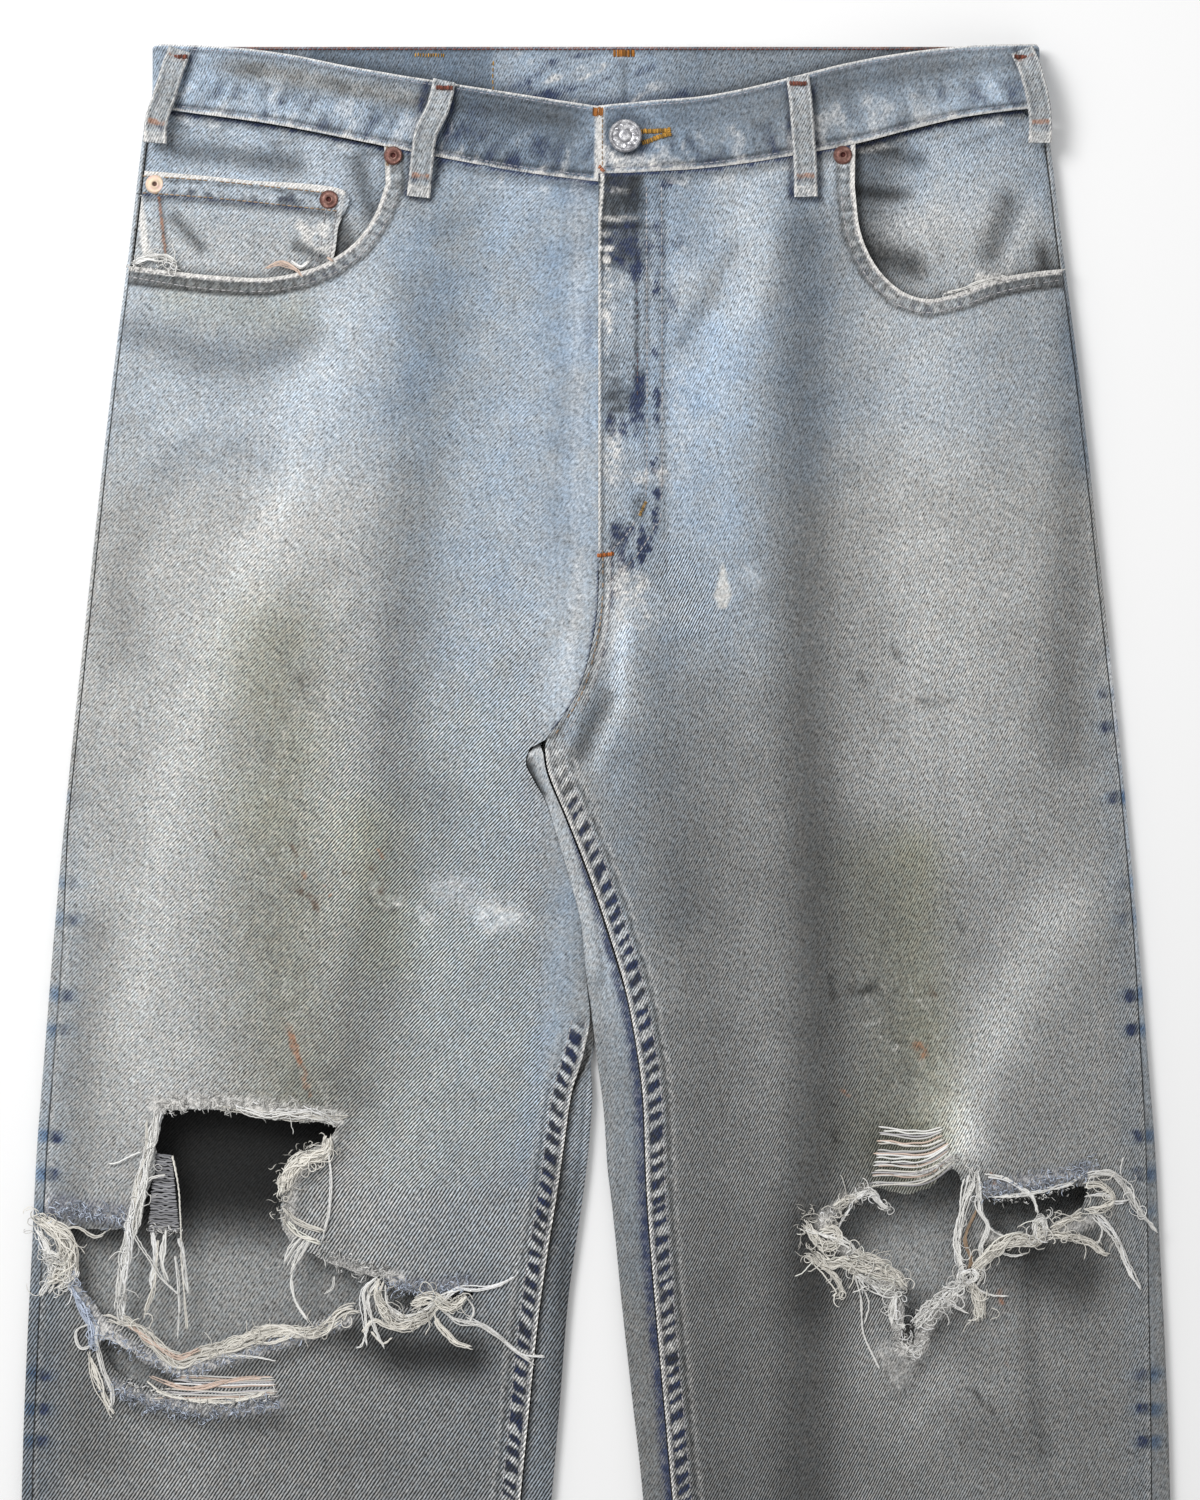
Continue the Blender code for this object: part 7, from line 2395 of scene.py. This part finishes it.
class JeansStageSettings(bpy.types.PropertyGroup):
    lens: bpy.props.FloatProperty(
        name="Lens", description="Focal length of the camera in millimetres", default=100.0,
        min=10.0,
    )
    camera_height: bpy.props.FloatProperty(
        name="Camera height", description="Height of the camera above the floor",
        default=2.083, min=0.5, unit="LENGTH",
    )
    key_power: bpy.props.FloatProperty(
        name="Key light", description="Power of the large light at the upper left",
        default=26.0, min=0.0, subtype="POWER", unit="POWER",
    )
    fill_strength: bpy.props.FloatProperty(
        name="Fill light", description="Strength of the even light from all round",
        default=0.55, min=0.0,
    )


def join_frame(thing, node):
    """The piece stands for its CAD node and rides with the garment."""
    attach(thing, "root")
    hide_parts(node)


# degrees from level, turn below the tear, and pitch as each leg lies
TWILL_LIE = {"right": (47.0, 0.19, 1.05), "left": (63.0, 0.0, 0.96)}


def denim_for(context, leg):
    """The denim of one leg, made once."""
    name = f"denim_{leg}"
    known = bpy.data.materials.get(name)
    return known or denim(context.scene.jeans_cloth, name, *TWILL_LIE[leg])


class JeansPieceOperator:
    """What the operators of the pieces share."""

    bl_options = {"REGISTER", "UNDO"}


class JEANS_OT_backs(JeansPieceOperator, bpy.types.Operator):
    """Make both back panels, yokes and back pockets"""

    bl_idname = "jeans.backs"
    bl_label = "Backs"

    def execute(self, context):
        for leg in SIDE:
            material = denim_for(context, leg)
            panel, yoke = make_back(leg, material)
            join_frame(panel, f"back_panel_{leg}")
            join_frame(yoke, f"yoke_{leg}")
            pocket = patch_pocket(leg, material)
            join_frame(pocket, f"back_pocket_{leg}")
        return {"FINISHED"}


class JEANS_OT_fronts(JeansPieceOperator, bpy.types.Operator):
    """Make both front panels with their torn knees"""

    bl_idname = "jeans.fronts"
    bl_label = "Fronts"

    def execute(self, context):
        for leg in SIDE:
            front = make_front(leg, context.scene.jeans_cloth, denim_for(context, leg))
            join_frame(front, f"front_panel_{leg}")
        return {"FINISHED"}


class JEANS_OT_pockets(JeansPieceOperator, bpy.types.Operator):
    """Make the facings of the front pockets, and the coin pocket"""

    bl_idname = "jeans.pockets"
    bl_label = "Front pockets"

    def execute(self, context):
        for leg in SIDE:
            facing = make_facing(leg, denim_for(context, leg))
            join_frame(facing, f"pocket_facing_{leg}")
        coin = make_coin_pocket(denim_for(context, "right"))
        join_frame(coin, "coin_pocket")
        return {"FINISHED"}


class JEANS_OT_waistband(JeansPieceOperator, bpy.types.Operator):
    """Make the waistband and its belt loops"""

    bl_idname = "jeans.waistband"
    bl_label = "Waistband"

    def execute(self, context):
        material = denim_for(context, "left")
        band = make_waistband(material)
        join_frame(band, "waistband")
        for name, loop in make_loops(material):
            join_frame(loop, f"belt_loop_{name}")
        return {"FINISHED"}


class JEANS_OT_stitches(JeansPieceOperator, bpy.types.Operator):
    """Sew the seams, bartacks and buttonhole"""

    bl_idname = "jeans.stitches"
    bl_label = "Stitches"

    def execute(self, context):
        material = yarn_material("thread_sewn")
        for name, sew in (("front", stitch_fronts), ("pocket", stitch_pockets),
                          ("band", stitch_band), ("under", stitch_under)):
            stitcher = Stitcher(context.scene.jeans_trim)
            sew(stitcher)
            thing = stitcher.made(f"stitches_{name}", material)
            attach(thing, "root")
        return {"FINISHED"}


class JEANS_OT_frays(JeansPieceOperator, bpy.types.Operator):
    """Lay the frayed threads of both knees and of the right pocket"""

    bl_idname = "jeans.frays"
    bl_label = "Frays"

    def execute(self, context):
        material = yarn_material("thread_frayed")
        for leg in SIDE:
            fringe = fray_leg(leg, context.scene.jeans_trim, material)
            join_frame(fringe, f"fringe_knee_{leg}")
        return {"FINISHED"}


class JEANS_OT_metal(JeansPieceOperator, bpy.types.Operator):
    """Make the waist button and the rivets"""

    bl_idname = "jeans.metal"
    bl_label = "Button and rivets"

    def execute(self, context):
        steel = metal_material("nickel_worn", rgb(0.62, 0.62, 0.64), rgb(0.93, 0.93, 0.94),
                               rgb(0.45, 0.44, 0.43), 0.22)
        copper = metal_material("copper_worn", rgb(0.44, 0.30, 0.27), rgb(0.62, 0.48, 0.44),
                                rgb(0.30, 0.16, 0.15), 0.35, 0.6)
        pale = metal_material("copper_pale", rgb(0.92, 0.84, 0.74), rgb(0.94, 0.80, 0.76),
                              rgb(0.80, 0.55, 0.48), 0.5, 0.3)
        join_frame(make_button(steel), "waist_button")
        for name, rivet in make_rivets(copper, pale):
            join_frame(rivet, f"rivet_{name}")
        return {"FINISHED"}


class JEANS_OT_stage(JeansPieceOperator, bpy.types.Operator):
    """Make the floor, the lights and the camera"""

    bl_idname = "jeans.stage"
    bl_label = "Stage"

    def execute(self, context):
        settings, scene = context.scene.jeans_stage, context.scene
        g = Graph("floor_white")
        place = Value(g, g.node("ShaderNodeTexCoord").outputs["Object"])
        uneven = g.noise(place, 3.0, 2.0)
        white = g.mix(uneven, grey(0.965), grey(0.985))
        material = g.finish(white, uneven, 0.9, 0.0001, 0.05)
        corners = [(-4e3, -4e3, -0.8), (4e3, -4e3, -0.8), (4e3, 4e3, -0.8), (-4e3, 4e3, -0.8)]
        floor = new_object("floor", corners, [(0, 1, 2, 3)], {}, material)
        area = bpy.data.lights.new("key", "AREA")
        area.shape, area.size, area.size_y = "RECTANGLE", 0.9, 0.9
        area.energy = settings.key_power
        key = bpy.data.objects.new("key", area)
        key.location = (-0.95, 1.05, 1.55)
        aim = Vector((0.0, 0.15, 0.0)) - key.location
        key.rotation_euler = aim.to_track_quat("-Z", "Y").to_euler()
        scene.collection.objects.link(key)
        world_ = bpy.data.worlds.new("fill")
        world_.use_nodes = True
        back = world_.node_tree.nodes["Background"]
        back.inputs["Color"].default_value = (1.0, 1.0, 1.0, 1.0)
        back.inputs["Strength"].default_value = settings.fill_strength
        scene.world = world_
        lens = bpy.data.cameras.new("camera")
        lens.lens, lens.sensor_width, lens.sensor_fit = settings.lens, 36.0, "AUTO"
        lens.clip_end = 20.0
        camera = bpy.data.objects.new("camera", lens)
        camera.location = (0.002, 0.1865, settings.camera_height)
        scene.collection.objects.link(camera)
        scene.camera = camera
        scene.view_settings.view_transform = "Standard"
        return {"FINISHED"}


class JEANS_PT_panel(bpy.types.Panel):
    """The settings and the steps, in order"""

    bl_idname = "JEANS_PT_panel"
    bl_label = "Ripped jeans"
    bl_space_type = "VIEW_3D"
    bl_region_type = "UI"
    bl_category = "Jeans"

    def draw(self, context):
        layout, scene = self.layout, context.scene
        for group in (scene.jeans_cloth, scene.jeans_trim, scene.jeans_stage):
            box = layout.box()
            for key in group.__annotations__:
                box.prop(group, key)
        for operator in OPERATORS:
            layout.operator(operator.bl_idname)


OPERATORS = (
    JEANS_OT_backs, JEANS_OT_fronts, JEANS_OT_pockets, JEANS_OT_waistband, JEANS_OT_stitches,
    JEANS_OT_frays, JEANS_OT_metal, JEANS_OT_stage,
)
GROUPS = {
    "jeans_cloth": JeansClothSettings, "jeans_trim": JeansTrimSettings,
    "jeans_stage": JeansStageSettings,
}


def register():
    for cls in (*GROUPS.values(), *OPERATORS, JEANS_PT_panel):
        bpy.utils.register_class(cls)
    for name, group in GROUPS.items():
        setattr(bpy.types.Scene, name, bpy.props.PointerProperty(type=group))


def unregister():
    for name in GROUPS:
        delattr(bpy.types.Scene, name)
    for cls in reversed((*GROUPS.values(), *OPERATORS, JEANS_PT_panel)):
        bpy.utils.unregister_class(cls)


def main():
    register()
    for operator in OPERATORS:
        getattr(bpy.ops.jeans, operator.bl_idname.split(".")[1])()


if __name__ == "__main__":
    main()
